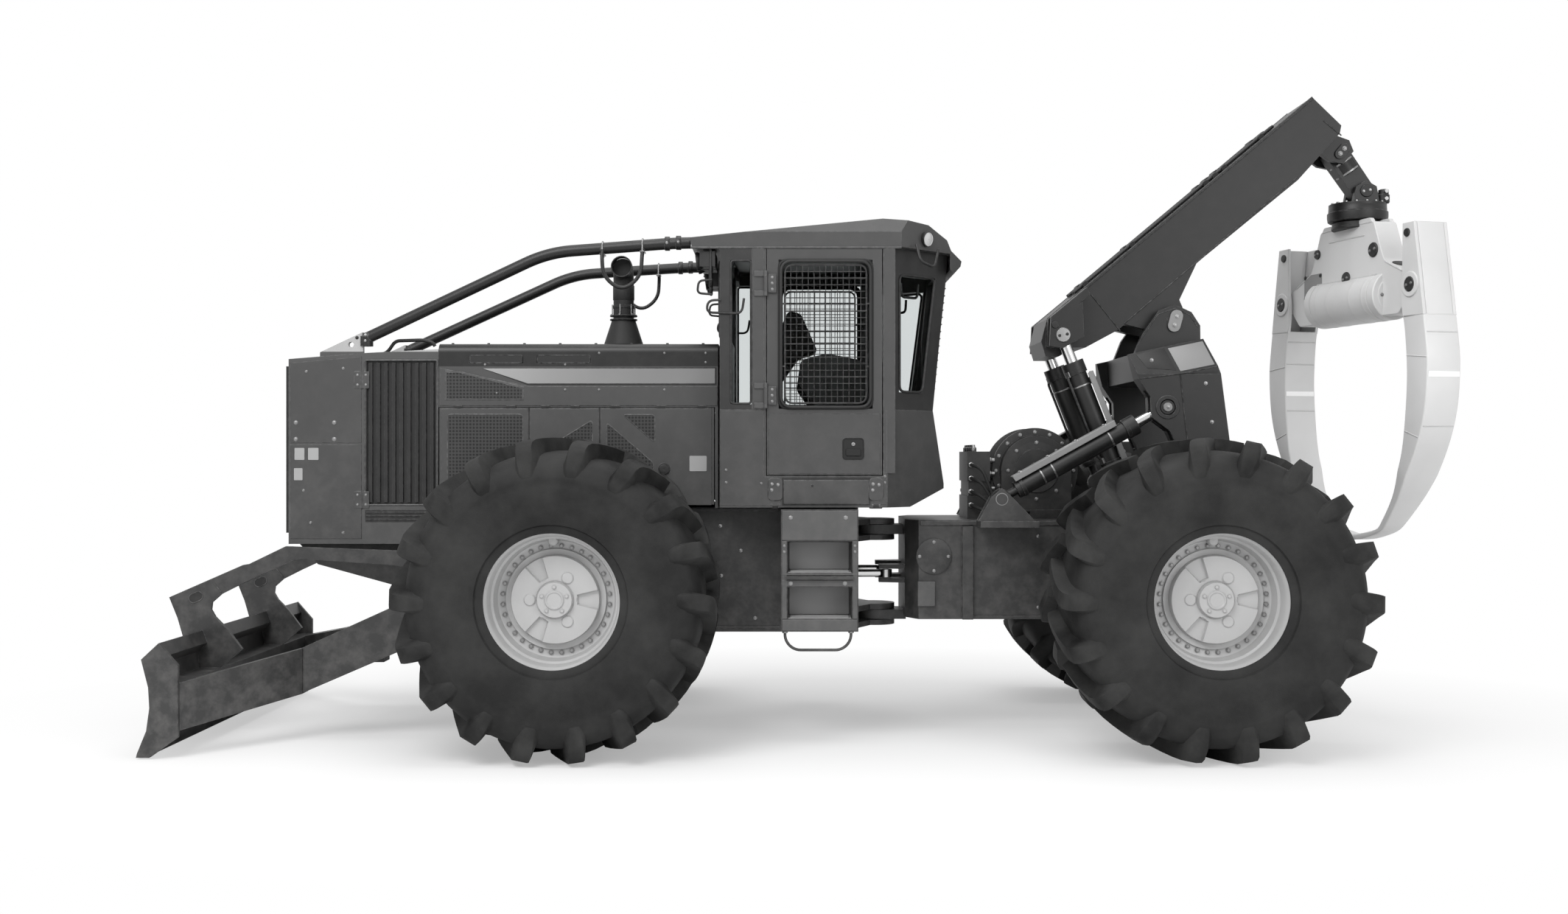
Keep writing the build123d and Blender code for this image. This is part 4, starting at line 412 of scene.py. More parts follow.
def skin_group():
    """Paint skin: slow tone drift, dust that thickens towards the ground, orange peel, and worn edges of bare
    metal grey that on dark paint are also a painted highlight along the edges.
    """
    group, given, result = make_group(
        "paint_skin",
        [("Color", COLOR, (0.1, 0.1, 0.1, 1)), ("Dust Color", COLOR, (0.3, 0.3, 0.3, 1)),
         ("Dust", NUMBER, 0.2), ("Wear And Highlight", NUMBER, 0.3), ("Edge", NUMBER, 0.006), ("Peel", NUMBER, 0.1),
         ("Roughness", NUMBER, 0.4)], SKIN_OUTPUTS)
    own = given.outputs
    place = object_place(group)
    tone = spread(group, noise(group, place, 1.7, 3.0), 0.3, 0.7, 0.93, 1.07)
    painted = node(group, "VectorMath", [(0, own["Color"]), ("Scale", tone)], operation="SCALE").outputs[0]
    height = node(group, "SeparateXYZ", [(0, place)]).outputs["Z"]
    low = spread(group, height, 2.2, 0.2, 0.15, 1.0)
    cloud = spread(group, noise(group, place, 9.0, 6.0, 0.65), 0.42, 0.72)
    dust = maths(group, "MULTIPLY", maths(group, "MULTIPLY", low, cloud), own["Dust"])
    coated = blend(group, dust, painted, own["Dust Color"])
    # an edge is where the rounded normal leaves the flat one
    soft_normal = node(group, "Bevel", [("Radius", own["Edge"])], samples=3).outputs[0]
    flat_normal = node(group, "NewGeometry").outputs["Normal"]
    turned = node(group, "VectorMath", [(0, soft_normal), (1, flat_normal)], operation="DOT_PRODUCT")
    edge = spread(group, turned.outputs["Value"], 0.995, 0.90)
    # edges that turn bare metal grey in patches: wear, and on dark paint a painted highlight along the edges
    edge_patches = spread(group, noise(group, place, 38.0, 4.0), 0.38, 0.62)
    worn_and_highlit_edges = maths(group, "MULTIPLY", maths(group, "MULTIPLY", edge, edge_patches), own["Wear And Highlight"])
    peel = noise(group, place, 260.0, 2.0)
    bump = node(group, "Bump", [("Strength", own["Peel"]), ("Distance", 0.001), ("Height", peel),
        ("Normal", soft_normal)])
    give(group, result, Color=blend(group, worn_and_highlit_edges, coated, BARE_METAL_AND_EDGE_HIGHLIGHT),
         Roughness=maths(group, "MULTIPLY_ADD", dust, 0.35, own["Roughness"]), Normal=bump.outputs[0])
    return group


def rubber_group():
    """Rubber: fine grain and a dry bloom in patches."""
    group, given, result = make_group(
        "rubber_skin",
        [("Color", COLOR, (0.03, 0.03, 0.03, 1)), ("Bloom", NUMBER, 0.3), ("Grain", NUMBER, 0.4),
         ("Grain Scale", NUMBER, 180.0)], SKIN_OUTPUTS)
    own = given.outputs
    place = object_place(group)
    patch = spread(group, noise(group, place, 3.2, 7.0, 0.6), 0.35, 0.75)
    bloom = maths(group, "MULTIPLY", patch, own["Bloom"])
    bump = node(group, "Bump", [("Strength", own["Grain"]), ("Distance", 0.002),
        ("Height", noise(group, place, own["Grain Scale"], 3.0))])
    give(group, result, Color=blend(group, bloom, own["Color"], DRY_BLOOM),
         Roughness=maths(group, "MULTIPLY_ADD", bloom, 0.4, 0.62), Normal=bump.outputs[0])
    return group


def material_shell(name):
    """An empty node material, its tree and its Principled shader."""
    material = bpy.data.materials.new(name)
    material.use_nodes = True
    return material, material.node_tree, material.node_tree.nodes["Principled BSDF"]


def dress(tree, shader, group, values):
    """Places a shared group in a material and joins its outputs to the shader's sockets."""
    made = node(tree, "Group", values, node_tree=bpy.data.node_groups[group])
    for source, target in (("Color", "Base Color"), ("Roughness", "Roughness"), ("Normal", "Normal")):
        tree.links.new(made.outputs[source], shader.inputs[target])
    return made


def paint(name, grey, roughness=0.42, dust=0.25, wear_and_highlight=0.35, edge=0.006, peel=0.12, metallic=0.0, coat=0.0,
          tones=(), holes=None):
    """Paint or bare metal with the paint skin.

    tones: rows of axis, low, high, grey and blur; the paint has that grey where Object space lies
    between low and high. holes: pitch of a punched lattice whose holes are darker and sunk.
    """
    material, tree, shader = material_shell(name)
    tone = display(grey)
    skin = dress(tree, shader, "paint_skin",
                 [("Color", tone), ("Dust Color", display(0.52, 0.03)), ("Dust", dust), ("Wear And Highlight", wear_and_highlight),
                  ("Edge", edge), ("Peel", peel), ("Roughness", roughness)])
    if tones or holes:
        parted = node(tree, "SeparateXYZ", [(0, object_place(tree))]).outputs
        for axis, low, high, level, blur in tones:
            rise = spread(tree, parted[axis], low - blur, low + blur)
            fall = spread(tree, parted[axis], high + blur, high - blur)
            tone = blend(tree, maths(tree, "MULTIPLY", rise, fall), tone, display(level))
        if holes:
            mask = hole_mask(tree, parted, holes)
            tone = blend(tree, mask, tone, display(0.06))
            sunk = node(tree, "Bump", [("Strength", 0.8), ("Distance", 0.003), ("Height", mask),
                ("Normal", skin.outputs["Normal"])], invert=True)
            tree.links.new(sunk.outputs[0], shader.inputs["Normal"])
        tree.links.new(tone, skin.inputs["Color"])
    shader.inputs["Metallic"].default_value = metallic
    shader.inputs["Coat Weight"].default_value = coat
    shader.inputs["Specular IOR Level"].default_value = 0.4
    return material


def hole_mask(tree, parted, pitch):
    """1 inside the round holes of a lattice on X + Y and Z, of the given pitch, and 0 between them."""
    squares = []
    for value in (maths(tree, "ADD", parted["X"], parted["Y"]), parted["Z"]):
        share = maths(tree, "FRACT", maths(tree, "MULTIPLY", value, 1 / pitch))
        offset = maths(tree, "SUBTRACT", share, 0.5)
        squares.append(maths(tree, "MULTIPLY", offset, offset))
    return spread(tree, maths(tree, "ADD", *squares), 0.12, 0.09)


def rubber(name, grey, bloom=0.3, grain=0.4, scale=180.0):
    """Rubber, plastic or seat vinyl with the rubber skin."""
    material, tree, shader = material_shell(name)
    dress(tree, shader, "rubber_skin",
          [("Color", display(grey)), ("Bloom", bloom), ("Grain", grain), ("Grain Scale", scale)])
    shader.inputs["Specular IOR Level"].default_value = 0.3
    return material


def window_glass():
    """Thin clear glazing with a faint grey tint and a film that roughens it in patches."""
    material, tree, shader = material_shell("window_glass")
    shader.inputs["Base Color"].default_value = (0.80, 0.82, 0.82, 1)
    shader.inputs["Transmission Weight"].default_value = 1.0
    shader.inputs["IOR"].default_value = 1.03
    film = spread(tree, noise(tree, object_place(tree), 4.0, 5.0), 0.3, 0.8, 0.01, 0.06)
    tree.links.new(film, shader.inputs["Roughness"])
    return material


FINISHES = {}


def finishes(names):
    """The finishes whose names stand in a string."""
    return [FINISHES[name] for name in names.split()]


def make_finishes():
    """Builds the shared groups and every named finish once."""
    skin_group()
    rubber_group()
    tint = colours()
    FINISHES.update({"body": paint("body_paint", tint.body - 0.03, 0.38),
        "nose": paint("nose_paint", tint.body, 0.38, tones=[("Z", 2.509, 3.0, 0.66, 0.001),
        ("Y", -0.545, 0.545, tint.body, 0.001)]), "hood": paint("hood_paint", tint.body - 0.02, 0.38,
        tones=[("Z", 2.413, 3.0, 0.09, 0.002)]), "cab_frame": paint("cab_frame_paint", 0.15, 0.42,
        tones=[("X", -0.385 + DATUM_X, 0.537 + DATUM_X, tint.body, 0.001)]),
        "frame": paint("frame_paint", tint.frame, 0.45, dust=0.3),
        "boom": paint("boom_paint", tint.boom, 0.42, dust=0.12),
        "rim": paint("rim_paint", tint.rim, 0.35, dust=0.10, wear_and_highlight=0.1, edge=0.004),
        "grapple": paint("grapple_paint", tint.grapple, 0.38, dust=0.08, wear_and_highlight=0.15),
        "guard": paint("guard_black", 0.10, 0.5, dust=0.15, edge=0.003),
        "stack": paint("stack_black", 0.12, 0.6, dust=0.10, edge=0.003),
        "dark": paint("dark_parts", 0.12, 0.5, dust=0.25, edge=0.003),
        "steel": paint("bare_steel", 0.55, 0.35, dust=0.2, wear_and_highlight=0.2, edge=0.002, metallic=0.9),
        "chrome": paint("rod_chrome", 0.80, 0.12, dust=0.03, wear_and_highlight=0.0, edge=0.002, peel=0.02, metallic=1.0),
        "tyre": rubber("tyre_rubber", tint.tyre), "tread": rubber("tread_rubber", tint.tyre - 0.02,
        bloom=0.45, grain=0.5, scale=120.0), "hose": rubber("hose_rubber", 0.09, bloom=0.15, grain=0.2,
        scale=400.0), "seat": rubber("seat_cloth", 0.17, bloom=0.35, grain=0.6, scale=700.0),
        "plastic": rubber("cab_plastic", 0.15, bloom=0.1, grain=0.2, scale=500.0), "glass": window_glass(),
        "pale": paint("pale_plate", 0.62, 0.5, dust=0.1, wear_and_highlight=0.0, edge=0.001),
        "stripe": paint("stripe_paint", 0.60, 0.38, dust=0.08, wear_and_highlight=0.05, edge=0.001,
        tones=[("X", 0.20, 1.60, 0.49, 0.50)]), "punched": paint("punched_sheet", 0.21, 0.5, dust=0.1,
        wear_and_highlight=0.1, edge=0.001, holes=0.022), "lens": paint("lamp_lens", 0.78, 0.10, dust=0.02, wear_and_highlight=0.0,
        edge=0.001, peel=0.3, coat=1.0), "seal": rubber("seal_rubber", 0.11, bloom=0.1, grain=0.2,
        scale=400.0), "step": paint("step_face", 0.31, 0.5, dust=0.25, edge=0.003),
        # tread plates and the step recesses' back walls: a lighter grey, painted light that cancels the shade
        # inside the recesses
        "tread_plate": paint("tread_plate", 0.50, 0.5, dust=0.2, edge=0.003),
        "guard_plate": paint("guard_plate", 0.50, 0.4, dust=0.12, wear_and_highlight=0.1, edge=0.003),
        "bright": paint("bright_band", 0.97, 0.35, dust=0.0, wear_and_highlight=0.0, edge=0.001),
        "panel": paint("grapple_panel", 0.52, 0.45, dust=0.1, wear_and_highlight=0.1, edge=0.002), })


NODE_FINISH = {
    "body": ("cab_lower", "cab_roof", "door_left", "door_right"),
    "nose": ("nose",),
    "cab_frame": ("cab_frame",),
    "hood": ("hood", "hood_doors"),
    "frame": ("front_axle", "rear_axle", "front_chassis", "rear_chassis", "side_steps", "blade"),
    "boom": ("arch", "boom", "hang_link", "crosshead", "guard_bars", "blade_barrels", "arch_barrels",
             "boom_barrels", "steer_barrel_left", "steer_barrel_right"),
    "chrome": ("blade_rods", "arch_rods", "boom_rods", "steer_rod_left", "steer_rod_right"),
    "grapple": ("grapple_head", "tong_front", "tong_rear"),
    "guard": ("front_grille", "side_screens", "door_guard_left", "door_guard_right"),
    "dark": ("engine", "radiator", "winch", "valve_block", "seat_base", "console", "work_lamps"),
    "stack": ("exhaust_stack",),
    "seat": ("seat_pads",),
    "glass": ("door_glass_left", "door_glass_right", "cab_glass"),
}


def finish_solids():
    """Give every carried-over solid its finish."""
    make_finishes()
    for finish, names in NODE_FINISH.items():
        for name in names:
            if name not in NODES:
                continue
            mesh_object = NODES[name]
            while len(mesh_object.material_slots) < 1:
                mesh_object.data.materials.append(None)
            for slot in mesh_object.material_slots:
                slot.link = "OBJECT"
                slot.material = FINISHES[finish]


class SKIDDER_OT_finishes(bpy.types.Operator):
    """Give every carried-over solid its finish"""
    bl_idname = "skidder.finishes"
    bl_label = "Finishes"

    def execute(self, context):
        finish_solids()
        return {"FINISHED"}


# ------------------------------------------------------------------------------
# Stage
# ------------------------------------------------------------------------------
def set_stage():
    """Make the floor, the soft lights and the camera."""
    scene = bpy.context.scene
    half = 60.0
    floor = bpy.data.meshes.new("floor")
    floor.from_pydata([(-half, -half, 0), (half, -half, 0), (half, half, 0), (-half, half, 0)], [],
                      [(0, 1, 2, 3)])
    cover, tree, shader = material_shell("floor_paper")
    shader.inputs["Base Color"].default_value = (0.86, 0.86, 0.86, 1)
    shader.inputs["Roughness"].default_value = 0.9
    # the paper fades into the white backdrop with distance, for the camera alone
    flat = node(tree, "VectorMath", [(0, object_place(tree)), (1, (1.0, 1.5, 0.0))], operation="MULTIPLY")
    reach = node(tree, "VectorMath", [(0, flat.outputs[0])], operation="LENGTH").outputs["Value"]
    seen = node(tree, "LightPath").outputs["Is Camera Ray"]
    share = maths(tree, "MULTIPLY", spread(tree, reach, 3.0, 6.5, 0.35), seen)
    glow = node(tree, "Emission").outputs[0]
    faded = node(tree, "MixShader", [(0, share), (1, shader.outputs[0]), (2, glow)])
    tree.links.new(faded.outputs[0], tree.nodes["Material Output"].inputs["Surface"])
    floor.materials.append(cover)
    floor_piece = bpy.data.objects.new("floor", floor)
    scene.collection.objects.link(floor_piece)

    world = bpy.data.worlds.new("studio")
    scene.world = world
    world.use_nodes = True
    tree = world.node_tree
    backdrop = tree.nodes["Background"]
    path = node(tree, "LightPath").outputs
    seen = maths(tree, "MAXIMUM", path["Is Camera Ray"], path["Is Transmission Ray"])
    strength = spread(tree, maths(tree, "MAXIMUM", seen, path["Is Glossy Ray"]), 0.0, 1.0, 0.62, 1.0)
    backdrop.inputs["Color"].default_value = (1, 1, 1, 1)
    tree.links.new(strength, backdrop.inputs["Strength"])

    # lamp, place, aim, size across, watts
    lamps = [("key", (4.5, 9.0, 9.5), (0.0, 0.0, 1.2), 7.0, 900.0),
             ("fill", (-7.0, 9.0, 4.5), (-1.0, 0.0, 1.6), 6.0, 260.0),
             ("top", (0.0, 0.5, 11.0), (0.0, 0.0, 1.0), 8.0, 420.0)]
    for name, place, aim, size, watts in lamps:
        light = bpy.data.lights.new(name, "AREA")
        light.energy = watts
        light.shape = "DISK"
        light.size = size
        lamp = bpy.data.objects.new(name, light)
        lamp.location = place
        direction = np.array(aim, float) - np.array(place, float)
        lamp.rotation_euler = Vector(direction).to_track_quat("-Z", "Y").to_euler()
        scene.collection.objects.link(lamp)

    lens = bpy.data.cameras.new("camera")
    lens.lens = 36.0
    lens.sensor_width = 36.0
    lens.clip_end = 200.0
    camera = bpy.data.objects.new("camera", lens)
    camera.location = (0.33 + DATUM_X, 10.81, 1.823)
    camera.rotation_euler = (radians(90), 0, radians(180))
    scene.collection.objects.link(camera)
    scene.camera = camera
    scene.view_settings.view_transform = "Standard"


class SKIDDER_OT_stage(bpy.types.Operator):
    """Make the floor, the soft lights and the camera"""
    bl_idname = "skidder.stage"
    bl_label = "Stage"

    def execute(self, context):
        set_stage()
        return {"FINISHED"}


# ------------------------------------------------------------------------------
# Wheels
# ------------------------------------------------------------------------------
# name, axle X, side of the machine
WHEELS = [("front_left", 1.698, 1), ("front_right", 1.698, -1), ("rear_left", -2.247, 1),
          ("rear_right", -2.247, -1)]
WHEEL_Y = 1.210
AXLE_Z = 0.970
TYRE_RADIUS = 0.970
RIM_SEAT = 0.436           # inside this radius the tyre keeps its size, whatever its outer radius


def stretched(radius):
    """A radius for the chosen tyre radius: beyond the seat, r + (r - seat) * growth."""
    growth = (round(sizes().tyre_radius, 6) - TYRE_RADIUS) / (TYRE_RADIUS - RIM_SEAT)
    return radius + np.maximum(radius - RIM_SEAT, 0) * growth


def tyre_surfaces(shell, centre, side):
    """A tyre: a closed ring of sidewalls and tread, and two rows of leaning lugs.

    A lug is a grid: stations run from the tread's middle out over the shoulder, and round each
    station a six-point section rises from the carcass line to the lug line.
    """
    # station across the tyre, radius
    carcass = [(-0.395, 0.404), (-0.402, 0.425), (-0.404, 0.448), (-0.418, 0.456), (-0.426, 0.50),
               (-0.434, 0.560), (-0.4385, 0.62), (-0.4385, 0.68), (-0.432, 0.715), (-0.434, 0.722),
               (-0.431, 0.745), (-0.424, 0.79), (-0.405, 0.830), (-0.37, 0.862), (-0.30, 0.880),
               (-0.15, 0.892)]
    carcass += [(0.0, 0.895)] + [(-station, radius) for station, radius in reversed(carcass)]
    carcass = [(station, stretched(radius)) for station, radius in carcass]
    shell.add(*revolve(carcass, centre, 144, closed=True), number=0)
    # lug stations: carcass Y, carcass radius, lug Y, lug radius, shift round, half width, half root
    rows = np.array([(-0.035, 0.860, -0.030, 0.966, -0.035, 0.034, 0.056),
                     (0.06, 0.860, 0.060, 0.9700, 0.010, 0.036, 0.060),
                     (0.16, 0.855, 0.165, 0.9700, 0.060, 0.040, 0.066),
                     (0.26, 0.845, 0.270, 0.9680, 0.108, 0.046, 0.074),
                     (0.34, 0.825, 0.360, 0.9620, 0.142, 0.052, 0.082),
                     (0.375, 0.805, 0.412, 0.9480, 0.158, 0.055, 0.088),
                     (0.39, 0.790, 0.432, 0.9250, 0.166, 0.056, 0.090),
                     (0.40, 0.770, 0.440, 0.8850, 0.172, 0.056, 0.090),
                     (0.405, 0.745, 0.442, 0.8350, 0.178, 0.053, 0.086),
                     (0.41, 0.725, 0.440, 0.7850, 0.182, 0.046, 0.078),
                     (0.415, 0.715, 0.436, 0.7480, 0.184, 0.034, 0.062)])
    low_y, low_r, high_y, high_r, shift, top, root = rows.T[:, :, None]
    # section: share of the half width, share of the half root, height from carcass to lug
    section = np.array([(0, -1, 0.0), (-1, 0, 0.86), (-0.88, 0, 1.0), (0.88, 0, 1.0), (1, 0, 0.86),
                        (0, 1, 0.0)])
    offset = section[:, 0] * top + section[:, 1] * root
    across = low_y + (high_y - low_y) * section[:, 2]
    radius = stretched(low_r + (high_r - low_r) * section[:, 2])
    count = sizes().lug_count
    faces = list(grid_faces(len(rows), len(section), wrap_columns=True))
    last = (len(rows) - 1) * len(section)
    faces += [tuple(range(len(section)))[::-1], tuple(range(last, last + len(section)))]
    for row_side in SIDES:
        start = 0.0 if row_side > 0 else 0.5
        for lug in range(count):
            turn = (lug + start) * tau / count + side * (shift + offset) / TYRE_RADIUS
            points = np.stack([radius * np.sin(turn), across * row_side, radius * np.cos(turn)], axis=-1)
            flip = (row_side * side) < 0
            kept = [face[::-1] for face in faces] if flip else faces
            shell.add(points + np.array(centre), kept, 1)


def rim_surfaces(shell, centre, side):
    """A dished rim, revolved, with a disc in polar coordinates whose face rises and falls in steps."""
    outer = side
    # station out from the wheel's middle, radius
    barrel = [(0.170, 0.300), (0.172, 0.335), (0.180, 0.352), (0.215, 0.360), (0.250, 0.366),
              (0.262, 0.380), (0.330, 0.386), (0.362, 0.394), (0.378, 0.408), (0.386, 0.412),
              (0.392, 0.418), (0.396, 0.426), (0.395, 0.4345), (0.388, 0.4360), (0.376, 0.4358),
              (0.372, 0.430), (0.372, 0.4035), (0.20, 0.4030), (-0.372, 0.4030), (-0.372, 0.430),
              (-0.390, 0.4360), (-0.396, 0.430), (-0.385, 0.412), (-0.36, 0.396), (-0.20, 0.372),
              (0.10, 0.366), (0.14, 0.30)]
    points, faces = revolve([(outer * station, radius) for station, radius in barrel], centre, 120)
    shell.add(points, faces if outer > 0 else faces[:, ::-1])
    # disc face: height over radius r and angle t, with three pockets, three bosses and a bolt circle
    rings = np.concatenate([np.linspace(0.004, 0.135, 22), np.linspace(0.139, 0.268, 40),
                            np.linspace(0.271, 0.302, 8)])
    turn = np.arange(300) * tau / 300
    r, t = np.meshgrid(rings, turn, indexing="ij")

    def step(value, edge, width=0.004):
        """Smooth rise from 0 to 1 as value passes edge."""
        share = np.clip((value - edge) / width + 0.5, 0, 1)
        return share * share * (3 - 2 * share)

    height = 0.185 + 0 * r
    height += 0.050 * (1 - step(r, 0.2655))
    third = (t + pi / 6) % (tau / 3) - pi / 3
    across, along = r * np.sin(third), r * np.cos(third)
    pocket = step(along, 0.135) * (1 - step(np.abs(across), 0.028 + 0.24 * (along - 0.135)))
    height -= 0.022 * pocket * (1 - step(r, 0.2655))
    boss_t = (t + pi / 2) % (tau / 3) - pi / 3
    boss = np.hypot(r * np.sin(boss_t), r * np.cos(boss_t) - 0.150)
    height += 0.008 * (1 - step(boss, 0.034))
    height += 0.030 * (1 - step(r, 0.106)) + 0.010 * (1 - step(r, 0.055)) - 0.005 * (1 - step(r, 0.045))
    height -= 0.004 * (1 - step(np.abs(r - 0.108), 0.003, 0.003))
    face = np.stack([r * np.sin(t), outer * height, r * np.cos(t)], axis=-1) + np.array(centre)
    quads = grid_faces(len(rings), len(turn), wrap_columns=True, flip=outer > 0)
    pole = tuple(range(len(turn)))
    shell.add(face, [tuple(quad) for quad in quads] + [pole if outer < 0 else pole[::-1]])
    # bolt circle, cap bolts and the valve
    angles = (np.arange(sizes().rim_bolts) + 0.5) * tau / sizes().rim_bolts
    bolts = axle_circle((0, 0), 0.3215, angles, outer * 0.1745) + centre
    bolt_heads(shell, bolts, 0.0115, 0.012, number=1, sides=8, sense=outer)
    five = np.arange(5) * tau / 5
    cap = axle_circle((0, 0), 0.078, five, outer * 0.264) + centre
    bolt_heads(shell, cap, 0.011, 0.010, number=0, sense=outer)
    valve = [(outer * 0.19, 0.030), (outer * 0.235, 0.030), (outer * 0.245, 0.024), (outer * 0.247, 0.001)]
    shell.add(*revolve(valve, np.array(centre) + (0.012, 0, 0.352), 20))


def make_wheels():
    """Make the four tyres and their rims."""
    for name, x, side in WHEELS:
        centre = (x, side * WHEEL_Y, AXLE_Z)
        shell = Shell()
        tyre_surfaces(shell, centre, side)
        tyre = shell.build("lugged_tyre_" + name, finishes("tyre tread"), 38, "wheel_" + name)
        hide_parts("tyre_" + name)
        shell = Shell()
        rim_surfaces(shell, centre, side)
        rim = shell.build("dished_rim_" + name, finishes("rim steel"), 30, "wheel_" + name)
        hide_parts("rim_" + name)


class SKIDDER_OT_wheels(bpy.types.Operator):
    """Make the four tyres and their rims"""
    bl_idname = "skidder.wheels"
    bl_label = "Wheels"

    def execute(self, context):
        make_wheels()
        return {"FINISHED"}


# ------------------------------------------------------------------------------
# Nose and hood
# ------------------------------------------------------------------------------
NOSE_SIDE = 0.600


def rectangle(x, z, width, height):
    """Outline of a rectangle about a middle point in X and Z."""
    return [(x - width / 2, z - height / 2), (x + width / 2, z - height / 2), (x + width / 2, z + height / 2),
            (x - width / 2, z + height / 2)]


def soften(outline, bend, steps=5):
    """A closed outline, each corner replaced by a quadratic arc that starts a bend away."""
    outline = np.asarray(outline, float)
    turn = np.linspace(0, 1, steps)[:, None]
    before, after = np.roll(outline, 1, axis=0), np.roll(outline, -1, axis=0)
    pieces = []
    for start, corner, end in zip(before, outline, after):
        reach = [min(bend, np.linalg.norm(other - corner) * 0.48) for other in (start, end)]
        entry = corner + (start - corner) / np.linalg.norm(start - corner) * reach[0]
        leave = corner + (end - corner) / np.linalg.norm(end - corner) * reach[1]
        pieces.append((1 - turn) ** 2 * entry + 2 * turn * (1 - turn) * corner + turn ** 2 * leave)
    return np.concatenate(pieces)


def ring_bar(path, radius, across, sides=8):
    """Closed round bar in a plane: path point + radius * (cos t * outward + sin t * across)."""
    path, across = np.asarray(path, float), np.asarray(across, float)
    tangent = np.roll(path, -1, axis=0) - np.roll(path, 1, axis=0)
    outward = np.cross(tangent, across)
    outward /= np.linalg.norm(outward, axis=1)[:, None]
    turn = np.arange(sides) * tau / sides
    points = path[:, None] + radius * (np.cos(turn)[None, :, None] * outward[:, None] + np.sin(turn)[None,
        :, None] * across)
    return points, grid_faces(len(path), sides, wrap_rows=True, wrap_columns=True)


def side_path(outline, y):
    """An X and Z outline as points at one Y."""
    return [(x, y, z) for x, z in outline]


def spaced(path, pitch):
    """Points every pitch along a run of straight lines."""
    path = np.asarray(path, float)
    reach = np.concatenate([[0], np.cumsum(np.linalg.norm(np.diff(path, axis=0), axis=1))])
    wanted = np.linspace(0, reach[-1], max(3, int(reach[-1] / pitch)))
    return np.stack([np.interp(wanted, reach, path[:, axis]) for axis in range(3)], axis=1)


def weld_bead(path, radius=0.006):
    """A weld: a thin bar whose radius is radius * (1 + 0.16 sin(2 pi i / 3)) from point to point."""
    points = spaced(path, radius * 0.9)
    swell = radius * (1 + 0.16 * np.sin(np.arange(len(points)) * tau / 3))
    return tube(points, swell, 6)


def dress_nose():
    """Dress the nose with its panels, hinges, plates, grille frame and handles."""
    body, steel, guard, pale = range(4)
    shell = Shell()
    for side in SIDES:
        skin = side_pair(side, NOSE_SIDE - 0.001, NOSE_SIDE + 0.003)
        shell.add(*plate([(3.080, 1.914), (3.546, 1.914), (3.546, 2.436), (3.080, 2.478)], *skin), body)
        shell.add(*plate([(3.080, 1.290), (3.546, 1.290), (3.546, 1.906), (3.080, 1.906)], *skin), body)
        shell.screws(side, [(3.508, 2.047), (3.258, 2.047), (3.508, 1.939), (3.258, 1.939)],
            0.603, 0.011, steel)
        shell.screws(side, [(3.458, 1.605), (3.412, 1.395), (3.20, 2.40), (3.44, 2.38), (3.20, 1.33)],
            0.603, 0.007, steel)
        # blank plates: X, Z, width, height
        for x, z, width, height in ((3.484, 1.843, 0.064, 0.078), (3.394, 1.843, 0.068, 0.078),
                                    (3.492, 1.711, 0.056, 0.078)):
            shell.sheet(side, soften(rectangle(x, z, width, height), 0.006), 0.6028, 0.6042, pale, 0.0004)
        for z in (2.325, 1.545):
            for x in (3.052, 3.106):
                leaf = soften(rectangle(x, z, 0.044, 0.110), 0.006)
                shell.sheet(side, leaf, 0.602, 0.606, body, 0.001)
                shell.screws(side, [(x, z - 0.032), (x, z + 0.032)], 0.606, 0.006, steel, 0.0035)
            knuckle = beside(side, [(3.079, 0.6015, z - 0.056), (3.079, 0.6015, z),
                (3.079, 0.6015, z + 0.056)])
            shell.rod(knuckle, 0.008, 12, body)
        # frame round the ribbed screen, and the low vent with its lips
        rim = soften(rectangle(2.8225, 1.9825, 0.474, 0.942), 0.014)
        shell.rim(rim, side * 0.600, 0.006, body)
        shell.sheet(side, rectangle(2.839, 1.439, 0.438, 0.080), 0.598, 0.602, guard, 0.0015)
        for lip in range(3):
            z = 1.416 + 0.023 * lip
            shell.sheet(side, [(2.63, z - 0.004), (3.05, z - 0.004), (3.05, z + 0.004), (2.63, z + 0.004)],
                0.600, 0.607, guard)
        # lift handle on the nose's rear edge
        handle = beside(side, [(2.975, 0.50, 2.497), (2.935, 0.50, 2.513), (2.885, 0.50, 2.586),
            (2.700, 0.50, 2.592), (2.640, 0.50, 2.575), (2.625, 0.50, 2.552)])
        shell.rod(rounded(handle, 0.03), 0.0115, 12, guard)
        shell.screws(side, [(3.112, 2.600)], 0.595, 0.009, guard)
    # bolts round the grille's frame, on its face
    across = np.linspace(-0.49, 0.49, 5)
    up = np.linspace(1.36, 2.385, 7)
    places = [(3.597, y, z) for y in across for z in (1.351, 2.393)]
    places += [(3.597, y, z) for y in (-0.495, 0.495) for z in up[1:-1]]
    bolt_heads(shell, places, 0.008, 0.006, steel, 6, "x", 1.0)
    # hinges at the joints of the grille's three frames
    for z in (1.690, 2.054):
        for y in (-0.523, 0.523):
            shell.rod([(3.575, y, z - 0.04), (3.575, y, z), (3.575, y, z + 0.04)], 0.010, 10, guard)
    shell.build("nose_fittings", finishes("body steel guard pale"))


class SKIDDER_OT_nose(bpy.types.Operator):
    """Dress the nose with its panels, hinges, plates, grille frame and handles"""
    bl_idname = "skidder.nose"
    bl_label = "Nose"

    def execute(self, context):
        dress_nose()
        return {"FINISHED"}


